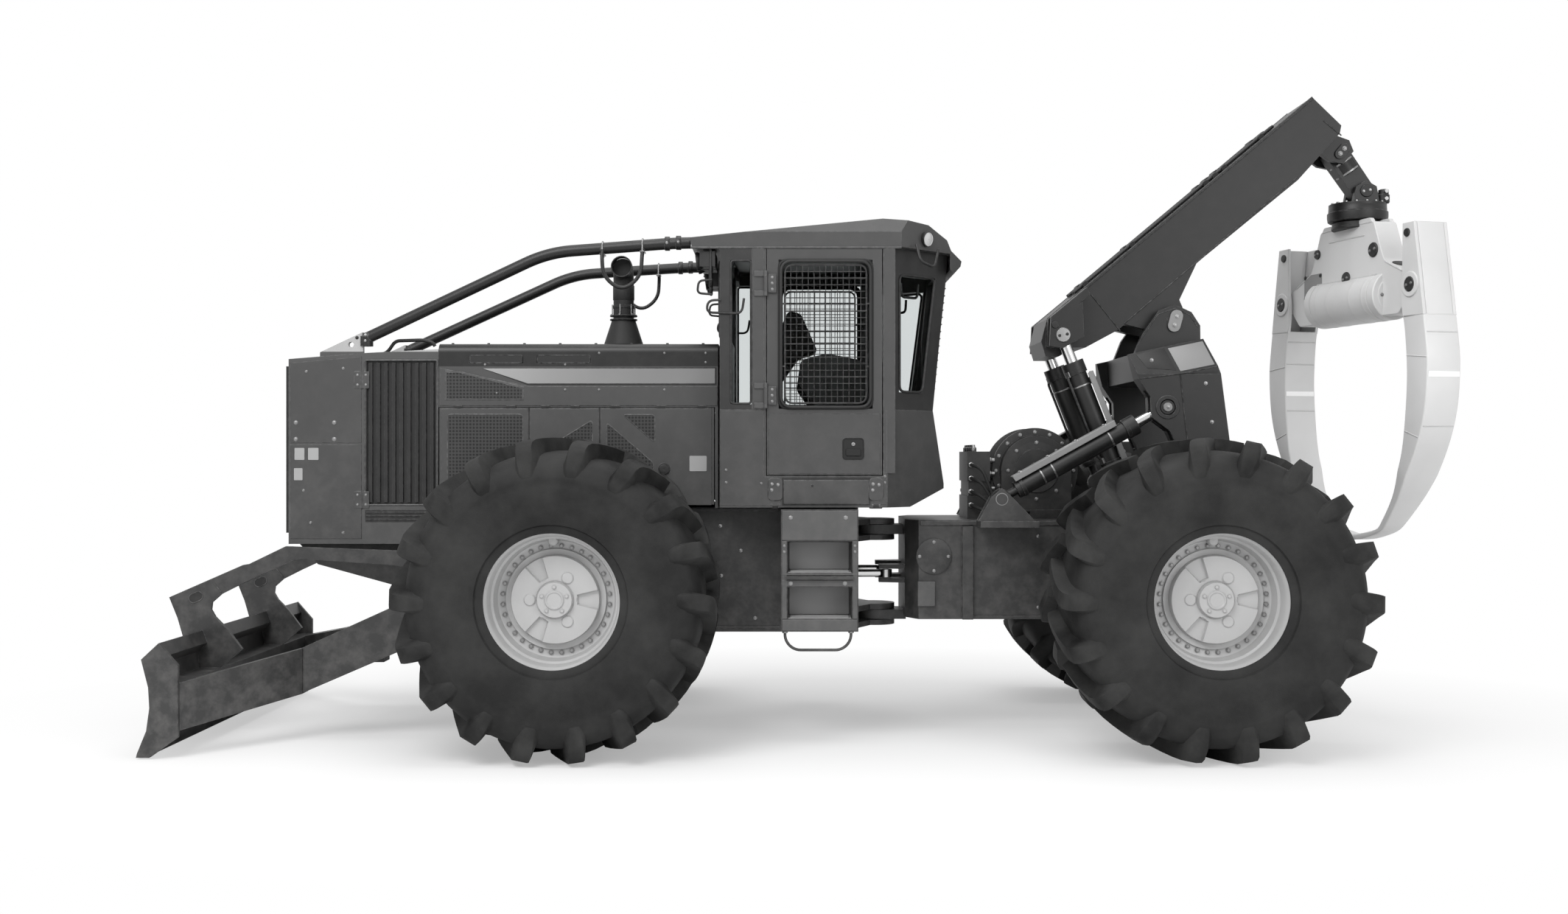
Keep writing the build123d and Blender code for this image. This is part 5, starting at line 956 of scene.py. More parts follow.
# outlines on the hood's sides, X and Z: the raised panel, the stripe, the upper punched field, each door
# skin's run of X, and the punched fields of the doors
CREASE = [(2.571, 2.156), (2.571, 2.405), (1.990, 2.284), (0.763, 2.284), (0.763, 2.156)]
STRIPE = [(2.289, 2.399), (0.779, 2.399), (0.779, 2.301), (1.998, 2.301)]
UPPER_FIELD = [(2.524, 2.205), (2.524, 2.372), (2.446, 2.372), (2.036, 2.270), (2.036, 2.205)]
DOOR_SKINS = [(1.997, 2.562), (1.537, 1.983), (0.800, 1.523)]
DOOR_FIELDS = [[(2.032, 2.100), (2.520, 2.100), (2.520, 1.600), (2.032, 1.600)],
               [(1.579, 2.062), (1.579, 1.640), (1.950, 1.640), (1.950, 1.835)],
               [(1.484, 2.045), (1.484, 1.600), (1.182, 1.600), (1.182, 1.785)],
               [(1.378, 2.098), (1.172, 2.098), (1.172, 1.918)]]


def dress_hood():
    """Dress the hood with its stripe, creased panels, meshes, latches and bolts."""
    hood, dark, stripe, mesh, steel, pale = range(6)
    shell = Shell()
    for side in SIDES:
        shell.sheet(side, CREASE, 0.599, 0.604, hood)
        shell.sheet(side, inset_outline(STRIPE, -0.009), 0.599, 0.6015, dark, 0.0006)
        shell.sheet(side, STRIPE, 0.600, 0.6040, stripe, 0.001)
        shell.sheet(side, inset_outline(UPPER_FIELD, -0.012), 0.603, 0.6065, hood, 0.0015)
        shell.sheet(side, UPPER_FIELD, 0.604, 0.6074, mesh, 0.0005)
        for low_x, high_x in DOOR_SKINS:
            shell.sheet(side, soften(corners(low_x, high_x, 1.510, 2.138), 0.006), 0.599, 0.603, hood, 0.0012)
        for field in DOOR_FIELDS:
            rim = soften(field, 0.022)
            shell.sheet(side, rim, 0.602, 0.6036, mesh, 0.0003)
            shell.rim(rim, side * 0.603, 0.0022, hood, 6)
        # latches along the seam, and the vents' dark sunk sheets
        for x in (2.455, 2.105, 1.885, 1.690, 1.430, 1.130, 0.863):
            shell.sheet(side, soften(rectangle(x, 2.150, 0.062, 0.013), 0.005), 0.599, 0.6055, dark, 0.0012)
        for low_x, high_x in ((1.590, 1.940), (2.030, 2.380)):
            vent = soften(corners(low_x + 0.004, high_x - 0.004, 2.436, 2.486), 0.008)
            shell.sheet(side, vent, 0.5925, 0.6004, dark, 0.0012)
            shell.rim(vent, side * 0.600, 0.0022, hood, 6)
        shell.screws(side, [(1.755, 2.261), (1.534, 2.261), (1.109, 2.261), (2.20, 2.240)],
            0.604, 0.006, steel)
        shell.screws(side, [(2.277, 2.425), (1.755, 2.425), (1.534, 2.500), (1.109, 2.500), (0.84, 2.50),
            (0.84, 2.44)], 0.600, 0.006, steel)
        # knobs on the rear door, and the blank plate
        for x, z, radius in ((1.109, 1.743, 0.032), (1.109, 1.640, 0.030)):
            knob = [(0.600, 0.040), (0.603, 0.040), (0.604, radius), (0.618, radius * 0.94),
                    (0.621, radius * 0.5), (0.619, 0.001)]
            shell.cap(side, knob, x, z, 28, dark)
        shell.sheet(side, soften(rectangle(0.889, 1.780, 0.112, 0.100), 0.008), 0.602, 0.6045, pale, 0.0005)
    # bolts along both of the top's edges
    edge = [(x, y, 2.5615) for x in np.linspace(0.86, 2.50, 8) for y in (-0.53, -0.18, 0.18, 0.53)]
    bolt_heads(shell, edge, 0.009, 0.008, dark, 6, "z", 1.0)
    shell.build("hood_fittings", finishes("hood stack stripe punched steel pale"))


class SKIDDER_OT_hood(bpy.types.Operator):
    """Dress the hood with its stripe, creased panels, meshes, latches and bolts"""
    bl_idname = "skidder.hood"
    bl_label = "Hood"

    def execute(self, context):
        dress_hood()
        return {"FINISHED"}


def on_guard_bar(x, side):
    """The point of a guard bar's rear run at one X."""
    share = (1.862 - x) / 0.808
    return (x, side * (0.625 + 0.030 * share), 3.150 + 0.056 * share)


def dress_stack():
    """Make the exhaust's clamps and the guard bars with their hoops, collars and clamps."""
    shell = Shell()
    centre = (STACK_X, 0, 0)
    rings = [(2.560, 0.150, 0.012), (2.762, 0.094, 0.010), (2.788, 0.094, 0.010), (2.845, 0.0745, 0.020)]
    for z, radius, height in rings:
        band = [(z, 0.068), (z, radius - 0.002), (z + 0.002, radius), (z + height - 0.002, radius),
                (z + height, radius - 0.002), (z + height, 0.066)]
        shell.add(*revolve(band, centre, 48, "z"), 0)
    six = np.arange(6) * tau / 6 + 0.3
    bolt_heads(shell, ring_places(STACK_X, 0.084, six, 2.798), 0.007, 0.008, 1, 6, "z")
    bolt_heads(shell, ring_places(STACK_X, 0.140, six, 2.572), 0.007, 0.007, 1, 6, "z")
    for t in six[:4]:
        stud = [(STACK_X + 0.078 * cos(t), 0.078 * sin(t), z) for z in (2.79, 2.83, 2.87)]
        shell.rod(stud, 0.005, 8, 1)
    # heat shield band round the pipe, and the mouth's rolled edge
    shell.add(*revolve([(2.90, 0.0700), (2.905, 0.0735), (3.00, 0.0735), (3.005, 0.0700)],
        centre, 48, "z"), 0)
    lip = np.arange(40) * tau / 40
    mouth = [(STACK_X + 0.069 * cos(t), 0.150, 3.118 + 0.069 * sin(t)) for t in lip]
    shell.add(*ring_bar(mouth, 0.004, (0, 1, 0)), 0)
    shell.build("exhaust_fittings", finishes("stack steel"))

    shell = Shell()
    for side in SIDES:
        bar = beside(side, [(3.056, 0.582, 2.595), (1.862, 0.625, 3.150), (1.054, 0.655, 3.206),
            (0.936, 0.660, 3.208)])
        shell.rod(rounded(bar, 0.16, 14), 0.0375, 28)
        for x in (1.085, 1.012):
            place = on_guard_bar(x, side)
            radius = 0.044
            collar = [(-0.016, 0.036), (-0.016, radius), (-0.013, radius + 0.002), (0.013, radius + 0.002),
                      (0.016, radius), (0.016, 0.036)]
            shell.add(*revolve(collar, place, 28, "x"), 0)
            bolt_heads(shell, [(x, place[1] + side * radius, place[2])], 0.007, 0.008, 1, 6, "y", side)
        # foot bolted to the nose's bracket
        shell.add(*box((3.032, 3.071), side_pair(side, 0.546, 0.619), (2.561, 2.631), 0.004), 0)
        shell.rod(beside(side, [(3.051, 0.582, 2.545), (3.051, 0.582, 2.575),
            (3.051, 0.582, 2.61)]), 0.041, 24)
        shell.screws(side, [(3.051, 2.578), (3.051, 2.615)], 0.619, 0.009, 1)
        hoop = beside(side, [(1.505, 0.648, 3.190), (1.505, 0.700, 3.130), (1.497, 0.700, 2.985),
            (1.375, 0.700, 2.893), (1.253, 0.700, 2.985), (1.245, 0.700, 3.130), (1.245, 0.652, 3.176)])
        shell.rod(rounded(hoop, 0.075, 8), 0.0125, 12)
        # U-bolts that hold the hoop to the bar
        for x, z in ((1.505, 3.176), (1.245, 3.193)):
            y = on_guard_bar(x, side)[1]
            turn = np.linspace(0, pi, 11)
            strap = [(x, y + side * 0.043, z - 0.055)]
            strap += [(x, y + side * 0.043 * cos(t), z + 0.043 * sin(t)) for t in turn]
            strap += [(x, y - side * 0.043, z - 0.055)]
            shell.rod(strap, 0.0055, 8, 1)
            shell.add(*box((x - 0.016, x + 0.016), tuple(sorted((y - 0.052, y + 0.052))),
                (z - 0.047, z - 0.040)), 1)
    bars = shell.build("guard_bars_dressed", finishes("boom steel"), 40)
    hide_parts("guard_bars")


class SKIDDER_OT_stack(bpy.types.Operator):
    """Make the exhaust's clamps and the guard bars with their hoops, collars and clamps"""
    bl_idname = "skidder.stack"
    bl_label = "Exhaust and guard bars"

    def execute(self, context):
        dress_stack()
        return {"FINISHED"}


# ------------------------------------------------------------------------------
# Cab
# ------------------------------------------------------------------------------
DOOR_WINDOW = (-0.236, 0.364, 2.131, 3.082)


def gasket(shell, outline, y, number, radius=0.010, bend=0.05):
    """A round seal that runs round an opening in X and Z, at one Y."""
    shell.rim(soften(outline, bend), y, radius, number)


def corners(x_low, x_high, z_low, z_high):
    """Outline of a rectangle from its limits."""
    return [(x_low, z_low), (x_high, z_low), (x_high, z_high), (x_low, z_high)]


def dress_cab():
    """Dress the cab with seals, pillars, mounts, lower panels, lamps, rails and roof seams."""
    body, dark, steel, lens = range(4)
    shell = Shell()
    for side in SIDES:
        # pressed strips beside the doorway, quarter window seal
        shell.sheet(side, corners(0.456, 0.532, 2.135, 3.155), 0.799, 0.804, body, 0.0015)
        shell.sheet(side, corners(-0.380, -0.306, 1.72, 3.155), 0.799, 0.804, body, 0.0015)
        gasket(shell, corners(0.541, 0.669, 2.164, 3.076), side * 0.799, dark, 0.007, 0.02)
        # body panels of the cab's base, with a raised rear quarter panel
        shell.sheet(side, [(0.736, 1.512), (0.736, 2.120), (0.457, 2.120), (0.457, 1.700), (0.352, 1.690),
            (0.352, 1.512)], 0.799, 0.803, body, 0.0015)
        shell.sheet(side, [(-0.304, 1.700), (-0.304, 2.118), (-0.326, 2.118), (-0.326, 1.520),
            (-0.228, 1.520), (-0.228, 1.690)], 0.799, 0.803, body, 0.0015)
        shell.screws(side, [(0.700, 1.66), (0.700, 1.74), (0.475, 1.655), (-0.315, 1.66), (-0.315, 1.70)],
            0.803, 0.006, steel)
        # panel under the door, in a dark surround
        shell.sheet(side, corners(-0.222, 0.343, 1.514, 1.694), 0.799, 0.802, dark, 0.0015)
        shell.sheet(side, corners(-0.212, 0.333, 1.521, 1.676), 0.800, 0.807, body, 0.003)
        shell.screws(side, [(0.148, 1.640)], 0.807, 0.007, dark)
        # cab mounts: plate, rubber block, bolts
        for x in (0.386, -0.258):
            shell.sheet(side, soften(corners(x - 0.046, x + 0.046, 1.545, 1.690), 0.03), 0.800,
                0.812, body, 0.003)
            shell.screws(side, [(x - 0.018, 1.646), (x + 0.020, 1.650), (x + 0.022, 1.612)],
                0.812, 0.0085, steel)
            shell.add(*revolve([(1.492, 0.012), (1.493, 0.040), (1.500, 0.044), (1.512, 0.044),
                (1.520, 0.036), (1.532, 0.036), (1.545, 0.046), (1.556, 0.046)],
                (x, side * 0.76, 0), 24, "z"), dark)
            bolt_heads(shell, [(x - 0.022, side * 0.790, 1.520), (x + 0.022, side * 0.790, 1.520)], 0.007,
                       0.012, steel, 6, "y", side)
        # rain gutter along the roof's foot
        shell.rod(beside(side, [(0.925, 0.797, 3.160), (0.2, 0.801, 3.160),
            (-0.42, 0.801, 3.160)]), 0.008, 10, body)
        # roof bolts and lifting bosses
        for x in (0.78, 0.33, -0.12):
            boss = [(0.0, 0.030), (0.004, 0.030), (0.006, 0.018), (0.012, 0.016), (0.013, 0.001)]
            z = 3.235 + (0.932 - x) * 0.0955
            shell.add(*revolve(boss, (x, side * 0.55, z - 0.004), 20, "z"), body)
        # lamps under the roof's front: housing, rim, lens, bracket
        for y in (0.50, 0.69):
            lamp(shell, (0.885, side * y, 3.085), (1, 0, -0.12), 0.060, (dark, lens))
        rail = beside(side, [(0.80, 0.765, 3.155), (0.80, 0.775, 2.930), (0.80, 0.700, 2.900),
            (0.80, 0.640, 2.930), (0.80, 0.640, 3.155)])
        shell.rod(rounded(rail, 0.04), 0.009, 10, dark)
        guard = beside(side, [(0.79, 0.790, 2.955), (0.875, 0.790, 2.950), (0.885, 0.790, 2.870),
            (0.79, 0.790, 2.862)])
        shell.rod(rounded(guard, 0.03), 0.0075, 10, dark)
        guard = beside(side, [(0.735, 0.806, 2.825), (0.815, 0.806, 2.822), (0.825, 0.806, 2.745),
            (0.600, 0.806, 2.738), (0.585, 0.806, 2.835)])
        shell.rod(rounded(guard, 0.04), 0.0080, 10, dark)
        # rear corner lamp, sunk in the roof's chamfer, with its hoop
        across = np.array([-1, side, 0]) / np.sqrt(2)
        place = np.array([-0.600, side * 0.640, 3.235])
        lamp(shell, tuple(place), tuple(across * (1, 1, 1) + (0, 0, -0.15)), 0.050, (dark, lens))
        hoop = beside(side, [(-0.52, 0.735, 3.19), (-0.545, 0.770, 3.075), (-0.640, 0.690, 3.045),
            (-0.672, 0.630, 3.17)])
        shell.rod(rounded(hoop, 0.035), 0.009, 10, dark)
        # inside rail at the rear corner window
        rail = beside(side, [(-0.43, 0.60, 2.955), (-0.435, 0.60, 2.865), (-0.545, 0.50, 2.865),
            (-0.55, 0.50, 2.955)])
        shell.rod(rounded(rail, 0.03), 0.009, 10, dark)
        # seal round the rear corner window, on the chamfer x - |y| = -1.13
        seal = np.array(soften([(-0.413, 2.243), (-0.413, 2.997), (-0.664, 2.997), (-0.574, 2.243)], 0.04))
        path = np.stack([seal[:, 0], side * (seal[:, 0] + 1.131), seal[:, 1]], axis=1)
        shell.add(*ring_bar(path, 0.009, across), dark)
    # windscreen seal, wiper and the front wall's ribs
    seal = soften([(-0.687, 2.603), (0.687, 2.603), (0.687, 3.087), (-0.687, 3.087)], 0.05)
    shell.add(*ring_bar([(0.742, y, z) for y, z in seal], 0.010, (1, 0, 0)), dark)
    shell.rod([(0.752, -0.06, 2.570), (0.760, -0.02, 2.75), (0.758, 0.05, 2.93)], 0.007, 8, dark)
    shell.rod([(0.757, -0.06, 2.70), (0.752, 0.03, 2.88), (0.757, 0.13, 3.05)], 0.005, 8, dark)
    for z in (2.55, 2.40, 2.25):
        shell.add(*box((0.739, 0.746), (-0.66, 0.66), (z, z + 0.018), 0.002), body)
    # sloped rear window's seal and guard wires
    def back(z):
        return -0.650 - 0.110 * (z - 2.127) / 1.037

    seal = soften([(-0.298, 2.243), (0.298, 2.243), (0.298, 3.037), (-0.298, 3.037)], 0.05)
    shell.add(*ring_bar([(back(z) - 0.002, y, z) for y, z in seal], 0.010, (1, 0, 0)), dark)
    for y in np.linspace(-0.26, 0.26, 12):
        shell.rod([(back(z) - 0.010, y, z) for z in (2.235, 2.64, 3.045)], 0.004, 6, dark)
    for z in np.linspace(2.28, 3.00, 16):
        shell.rod([(back(z) - 0.014, y, z) for y in (-0.30, 0, 0.30)], 0.004, 6, dark)
    shell.build("cab_fittings", finishes("body guard steel lens"))


class SKIDDER_OT_cab(bpy.types.Operator):
    """Dress the cab with seals, pillars, mounts, lower panels, lamps, rails and roof seams"""
    bl_idname = "skidder.cab"
    bl_label = "Cab"

    def execute(self, context):
        dress_cab()
        return {"FINISHED"}


def lamp(shell, place, facing, radius, numbers):
    """A round work lamp: a bowl, a rim and a domed lens, revolved round the way it faces."""
    facing = np.array(facing, float)
    facing /= np.linalg.norm(facing)
    side = np.cross(facing, (0, 0, 1))
    side /= np.linalg.norm(side)
    up = np.cross(side, facing)
    bowl = [(-0.060, 0.006), (-0.060, 0.40 * radius), (-0.045, 0.66 * radius), (-0.012, 0.95 * radius),
            (0.0, radius), (0.010, radius), (0.012, 0.96 * radius), (0.011, 0.88 * radius)]
    face = [(0.011, 0.90 * radius), (0.008, 0.86 * radius), (0.011, 0.60 * radius), (0.013, 0.25 * radius),
            (0.0135, 0.002)]
    turn = np.arange(28) * tau / 28
    for profile, number in ((bowl, numbers[0]), (face, numbers[1])):
        profile = np.array(profile)
        along, across = profile[:, 0][:, None, None], profile[:, 1][:, None, None]
        points = (np.array(place) + along * facing + across * (np.cos(turn)[None, :,
            None] * side + np.sin(turn)[None, :, None] * up))
        shell.add(points, grid_faces(len(profile), 28, wrap_columns=True), number)
    mount = np.array([place - facing * 0.05, place - facing * 0.05 + (0, 0, 0.035),
        place - facing * 0.045 + (0, 0, 0.075)])
    shell.rod(mount, 0.012, 10, numbers[0])


def dress_doors():
    """Make each door's mesh guard, seal, hinges and latch."""
    body, steel, dark = range(3)
    low_x, high_x, low_z, high_z = DOOR_WINDOW
    for side_name, side in (("left", 1), ("right", -1)):
        shell = Shell()
        # seal round the window, the pressed panel below it, and the hinges
        gasket(shell, corners(low_x + 0.006, high_x - 0.006, low_z + 0.006, high_z - 0.006), side * 0.799,
            dark, 0.012, 0.05)
        shell.sheet(side, corners(-0.285, 0.430, 1.714, 2.100), 0.799, 0.803, body)
        for z in (2.215, 2.930):
            leaf = soften(rectangle(0.405, z, 0.050, 0.118), 0.006)
            shell.sheet(side, leaf, 0.813, 0.818, body, 0.001)
            shell.screws(side, [(0.405, z - 0.038), (0.405, z), (0.405, z + 0.038)], 0.818, 0.007, steel)
            pin = beside(side, [(0.447, 0.814, z - 0.052), (0.447, 0.814, z), (0.447, 0.814, z + 0.052)])
            shell.rod(pin, 0.0142, 14, body)
        # latch: sunk tray, paddle and lock
        tray = soften(rectangle(-0.112, 1.875, 0.130, 0.132), 0.020)
        shell.sheet(side, tray, 0.802, 0.806, dark, 0.001)
        shell.rim(tray, side * 0.806, 0.004, dark, 6)
        paddle = soften(rectangle(-0.112, 1.852, 0.096, 0.044), 0.010)
        shell.sheet(side, paddle, 0.806, 0.815, dark, 0.003)
        shell.add(*revolve([(side * 0.806, 0.012), (side * 0.810, 0.012), (side * 0.811, 0.009),
                            (side * 0.8105, 0.001)], (-0.112, 0, 1.905), 20), steel)
        shell.build("door_fittings_" + side_name, finishes("body steel seal"),
                    rides="door_" + side_name)

        shell = Shell()
        y = side * 0.8125
        outer = corners(-0.222, 0.350, 2.140, 3.072)
        shell.rim(soften(outer, 0.075, 8), y, 0.0115, 0, 12)
        inner = corners(-0.196, 0.324, 2.166, 3.046)
        shell.rim(soften(inner, 0.055, 8), y, 0.0065, 0, 10)
        pitch = sizes().mesh_pitch
        columns = int(round(0.520 / (pitch * 1.15)))
        rows = int(round(0.880 / (pitch * 1.28)))
        for x in np.linspace(-0.196, 0.324, columns + 1)[1:-1]:
            shell.rod([(x, y, 2.166), (x, y, 2.6), (x, y, 3.046)], 0.0030, 6)
        for count, z in enumerate(np.linspace(2.166, 3.046, rows + 1)[1:-1]):
            thick = 0.0050 if count % 5 == 3 else 0.0030
            shell.rod([(-0.196, y + side * 0.005, z), (0.06, y + side * 0.005, z),
                (0.324, y + side * 0.005, z)], thick, 6)
        # stand-offs between the two rims and down to the door
        for x, z in ((-0.222, 2.40), (-0.222, 2.80), (0.350, 2.40), (0.350, 2.80),
                (0.06, 2.140), (0.06, 3.072)):
            stem = beside(side, [(x, 0.8003, z), (x, 0.806, z), (x, 0.814, z)])
            shell.rod(stem, 0.009, 10)
        for x, z in ((-0.209, 2.40), (-0.209, 2.80), (0.337, 2.40), (0.337, 2.80)):
            shell.rod([(x - 0.015, y, z), (x, y, z), (x + 0.015, y, z)], 0.006, 8)
        mesh = shell.build("mesh_guard_" + side_name, finishes("guard"), rides="door_" + side_name)
        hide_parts("door_guard_" + side_name)


class SKIDDER_OT_doors(bpy.types.Operator):
    """Make each door's mesh guard, seal, hinges and latch"""
    bl_idname = "skidder.doors"
    bl_label = "Doors"

    def execute(self, context):
        dress_doors()
        return {"FINISHED"}


# ------------------------------------------------------------------------------
# Frames, steps and winch
# ------------------------------------------------------------------------------
def dress_frames():
    """Dress both frames: step faces, caps of the pivot, ribs, covers and lower edges."""
    frame_paint, steel, light, pale = range(4)
    shell = Shell()
    for side in SIDES:
        # folded faces of the step box round its two recesses, treads on their floors, and bolts; the treads
        # and the recesses' back walls are painted lighter than the faces, painted light that cancels the
        # shade inside the recesses
        for low_z, high_z in ((1.296, 1.484), (1.074, 1.086), (1.004, 1.046), (0.725, 0.796)):
            shell.sheet(side, corners(-0.134, 0.343, low_z, high_z), 0.898, 0.905, light, 0.003)
        for low_x, high_x in ((-0.134, -0.104), (0.313, 0.343)):
            shell.sheet(side, corners(low_x, high_x, 0.800, 1.292), 0.898, 0.9045, light)
        for floor_z in (0.800, 1.090):
            shell.add(*box((-0.096, 0.305), side_pair(side, 0.725, 0.896),
                (floor_z - 0.001, floor_z + 0.006), 0.002), pale)
            # back wall of each recess: a pale sheet, painted light that cancels the recess's shade
            shell.sheet(side, soften(corners(-0.088, 0.297, floor_z + 0.012, floor_z + 0.188), 0.010),
                0.7195, 0.7245, pale)
            for row in range(5):
                rib = [(x, side * (0.745 + 0.032 * row), floor_z + 0.0075) for x in (-0.080, 0.105, 0.290)]
                shell.rod(rib, 0.004, 8, pale)
        shell.screws(side, [(0.288, 1.440), (-0.060, 1.440), (0.288, 1.025), (-0.055, 1.025)],
            0.905, 0.011, steel)
        shell.screws(side, [(0.328, 1.262), (0.328, 1.224), (-0.119, 1.262), (-0.119, 1.224)],
            0.9045, 0.007, steel)
        for x in (-0.095, 0.324):
            shell.add(*revolve([(0.708, 0.016), (0.712, 0.018), (0.730, 0.018), (0.734, 0.010),
                (0.734, 0.001)], (x, side * 0.870, 0), 16, "z"), steel)
        # front frame: edge strips and bolts ahead of the steps
        shell.screws(side, [(0.750, 1.368), (0.615, 1.205), (0.745, 1.040), (0.52, 0.76), (0.95, 0.76),
            (1.05, 1.40)], 0.450, 0.010, steel)
        shell.sheet(side, corners(0.36, 1.05, 0.690, 0.708), 0.448, 0.458, frame_paint)
        shell.sheet(side, corners(0.36, 1.40, 1.465, 1.485), 0.448, 0.458, frame_paint)
    for z in (0.694, 0.812, 1.272, 1.388):
        cap = [(z - 0.010, 0.001), (z - 0.012, 0.040), (z - 0.008, 0.072), (z + 0.008, 0.072),
            (z + 0.012, 0.040), (z + 0.010, 0.001)]
        shell.add(*revolve(cap, (STEER_X, 0, 0), 32, "z"), steel)
    shell.build("front_frame_fittings", finishes("frame steel step tread_plate"))

    shell = Shell()
    for side in SIDES:
        shell.sheet(side, corners(-2.540, -0.570, 1.372, 1.402), 0.449, 0.462, frame_paint, 0.003)
        shell.sheet(side, corners(-2.300, -0.900, 0.756, 0.776), 0.449, 0.458, frame_paint, 0.003)
        for x in (-0.919, -0.845):
            shell.weld([(x, side * 0.452, 0.770), (x, side * 0.452, 1.366)], 0.004, frame_paint)
        cover = [(0.4575, 0.117), (0.4615, 0.117), (0.4630, 0.114), (0.4630, 0.030), (0.4635, 0.001)]
        shell.cap(side, cover, -0.660, 1.167, 56, frame_paint)
        shell.screws(side, [(-0.660, 1.262), (-0.660, 1.072), (-0.565, 1.167), (-0.755, 1.167)],
            0.463, 0.009, steel)
        shell.sheet(side, soften(corners(-0.668, -0.552, 0.838, 1.002), 0.008), 0.448, 0.470, light, 0.004)
        shell.screws(side, [(-1.35, 1.30), (-1.95, 1.30), (-1.35, 0.83)], 0.450, 0.010, steel)
        # pin caps of the arch cylinder's base and of the arch's pivot
        for x, z, face, radius in ((*ARCH_CYLINDER[0], 0.664, 0.045), (*ARCH_PIVOT, 0.690, 0.075)):
            cap = [(side * (face - 0.03), radius), (side * face, radius),
                (side * (face + 0.006), radius * 0.9), (side * (face + 0.007), 0.001)]
            shell.add(*revolve(cap, (x, 0, z), 28), steel)
    shell.build("rear_frame_fittings", finishes("frame steel step"), rides="rear_frame")


class SKIDDER_OT_frames(bpy.types.Operator):
    """Dress both frames: step faces, caps of the pivot, ribs, covers and lower edges"""
    bl_idname = "skidder.frames"
    bl_label = "Frames"

    def execute(self, context):
        dress_frames()
        return {"FINISHED"}


def dress_winch():
    """Make the winch's ribbed drum, housings and bolts, and the valve block's spools and pipes."""
    dark, steel, hose = range(3)
    shell = Shell()
    # grooved drum: radius rises and falls along the axle
    grooves = np.linspace(-0.146, 0.146, 120)
    drum = [(y, 0.196 + 0.008 * abs(sin(y * 110))) for y in grooves]
    shell.add(*revolve(drum, on_axle(WINCH_AXLE), 48), steel)
    for side in SIDES:
        flange = [(0.148, 0.200), (0.148, 0.284), (0.152, 0.290), (0.176, 0.290), (0.180, 0.285),
            (0.181, 0.242), (0.190, 0.236), (0.236, 0.236), (0.248, 0.224), (0.253, 0.150), (0.262, 0.146),
            (0.264, 0.060), (0.270, 0.056), (0.271, 0.001)]
        shell.cap(side, flange, *WINCH_AXLE, 72, dark)
        turn = np.arange(16) * tau / 16
        for radius, station, turns in ((0.262, 0.181, turn), (0.190, 0.251, turn[::2])):
            places = axle_circle(WINCH_AXLE, radius, turns, side * station)
            bolt_heads(shell, places, 0.010, 0.010, steel, 6, "y", side)
    # spools, caps and fittings on the valve block
    for row, y in enumerate(np.linspace(-0.20, 0.20, 8)):
        shell.add(*revolve([(1.858, 0.020), (1.862, 0.022), (1.885, 0.022), (1.892, 0.014), (1.905, 0.012),
                            (1.906, 0.001)], (-0.950, y, 0), 18, "z"), steel if row % 2 else dark)
        for z in (1.52, 1.60, 1.70, 1.79):
            stub = [(-0.006, 0.020), (0.010, 0.020), (0.014, 0.015), (0.034, 0.015), (0.036, 0.001)]
            points, faces = revolve([(-station, radius) for station, radius in stub],
                (-1.060, y, z + 0.01 * (row % 2)), 12, "x")
            shell.add(points, faces, steel)
    for side in SIDES:
        for row in range(4):
            z, y = 1.50 + 0.09 * row, side * (0.245 + 0.012 * row)
            pipe = [(-0.93, side * 0.235, z), (-0.93, y + side * 0.05, z), (-0.99, y + side * 0.11, z - 0.03),
                    (-1.10, y + side * 0.13, 1.455), (-1.30, y + side * 0.13, 1.445 + 0.006 * row)]
            shell.rod(rounded(pipe, 0.05), 0.011, 10, hose)
            nut = [(0.0, 0.019), (side * 0.022, 0.019), (side * 0.026, 0.012)]
            shell.add(*revolve(nut, (-0.93, side * 0.238, z), 6), steel)
    shell.build("winch_fittings", finishes("dark steel hose"), rides="rear_frame")


class SKIDDER_OT_winch(bpy.types.Operator):
    """Make the winch's ribbed drum, housings and bolts, and the valve block's spools and pipes"""
    bl_idname = "skidder.winch"
    bl_label = "Winch and valves"

    def execute(self, context):
        dress_winch()
        return {"FINISHED"}


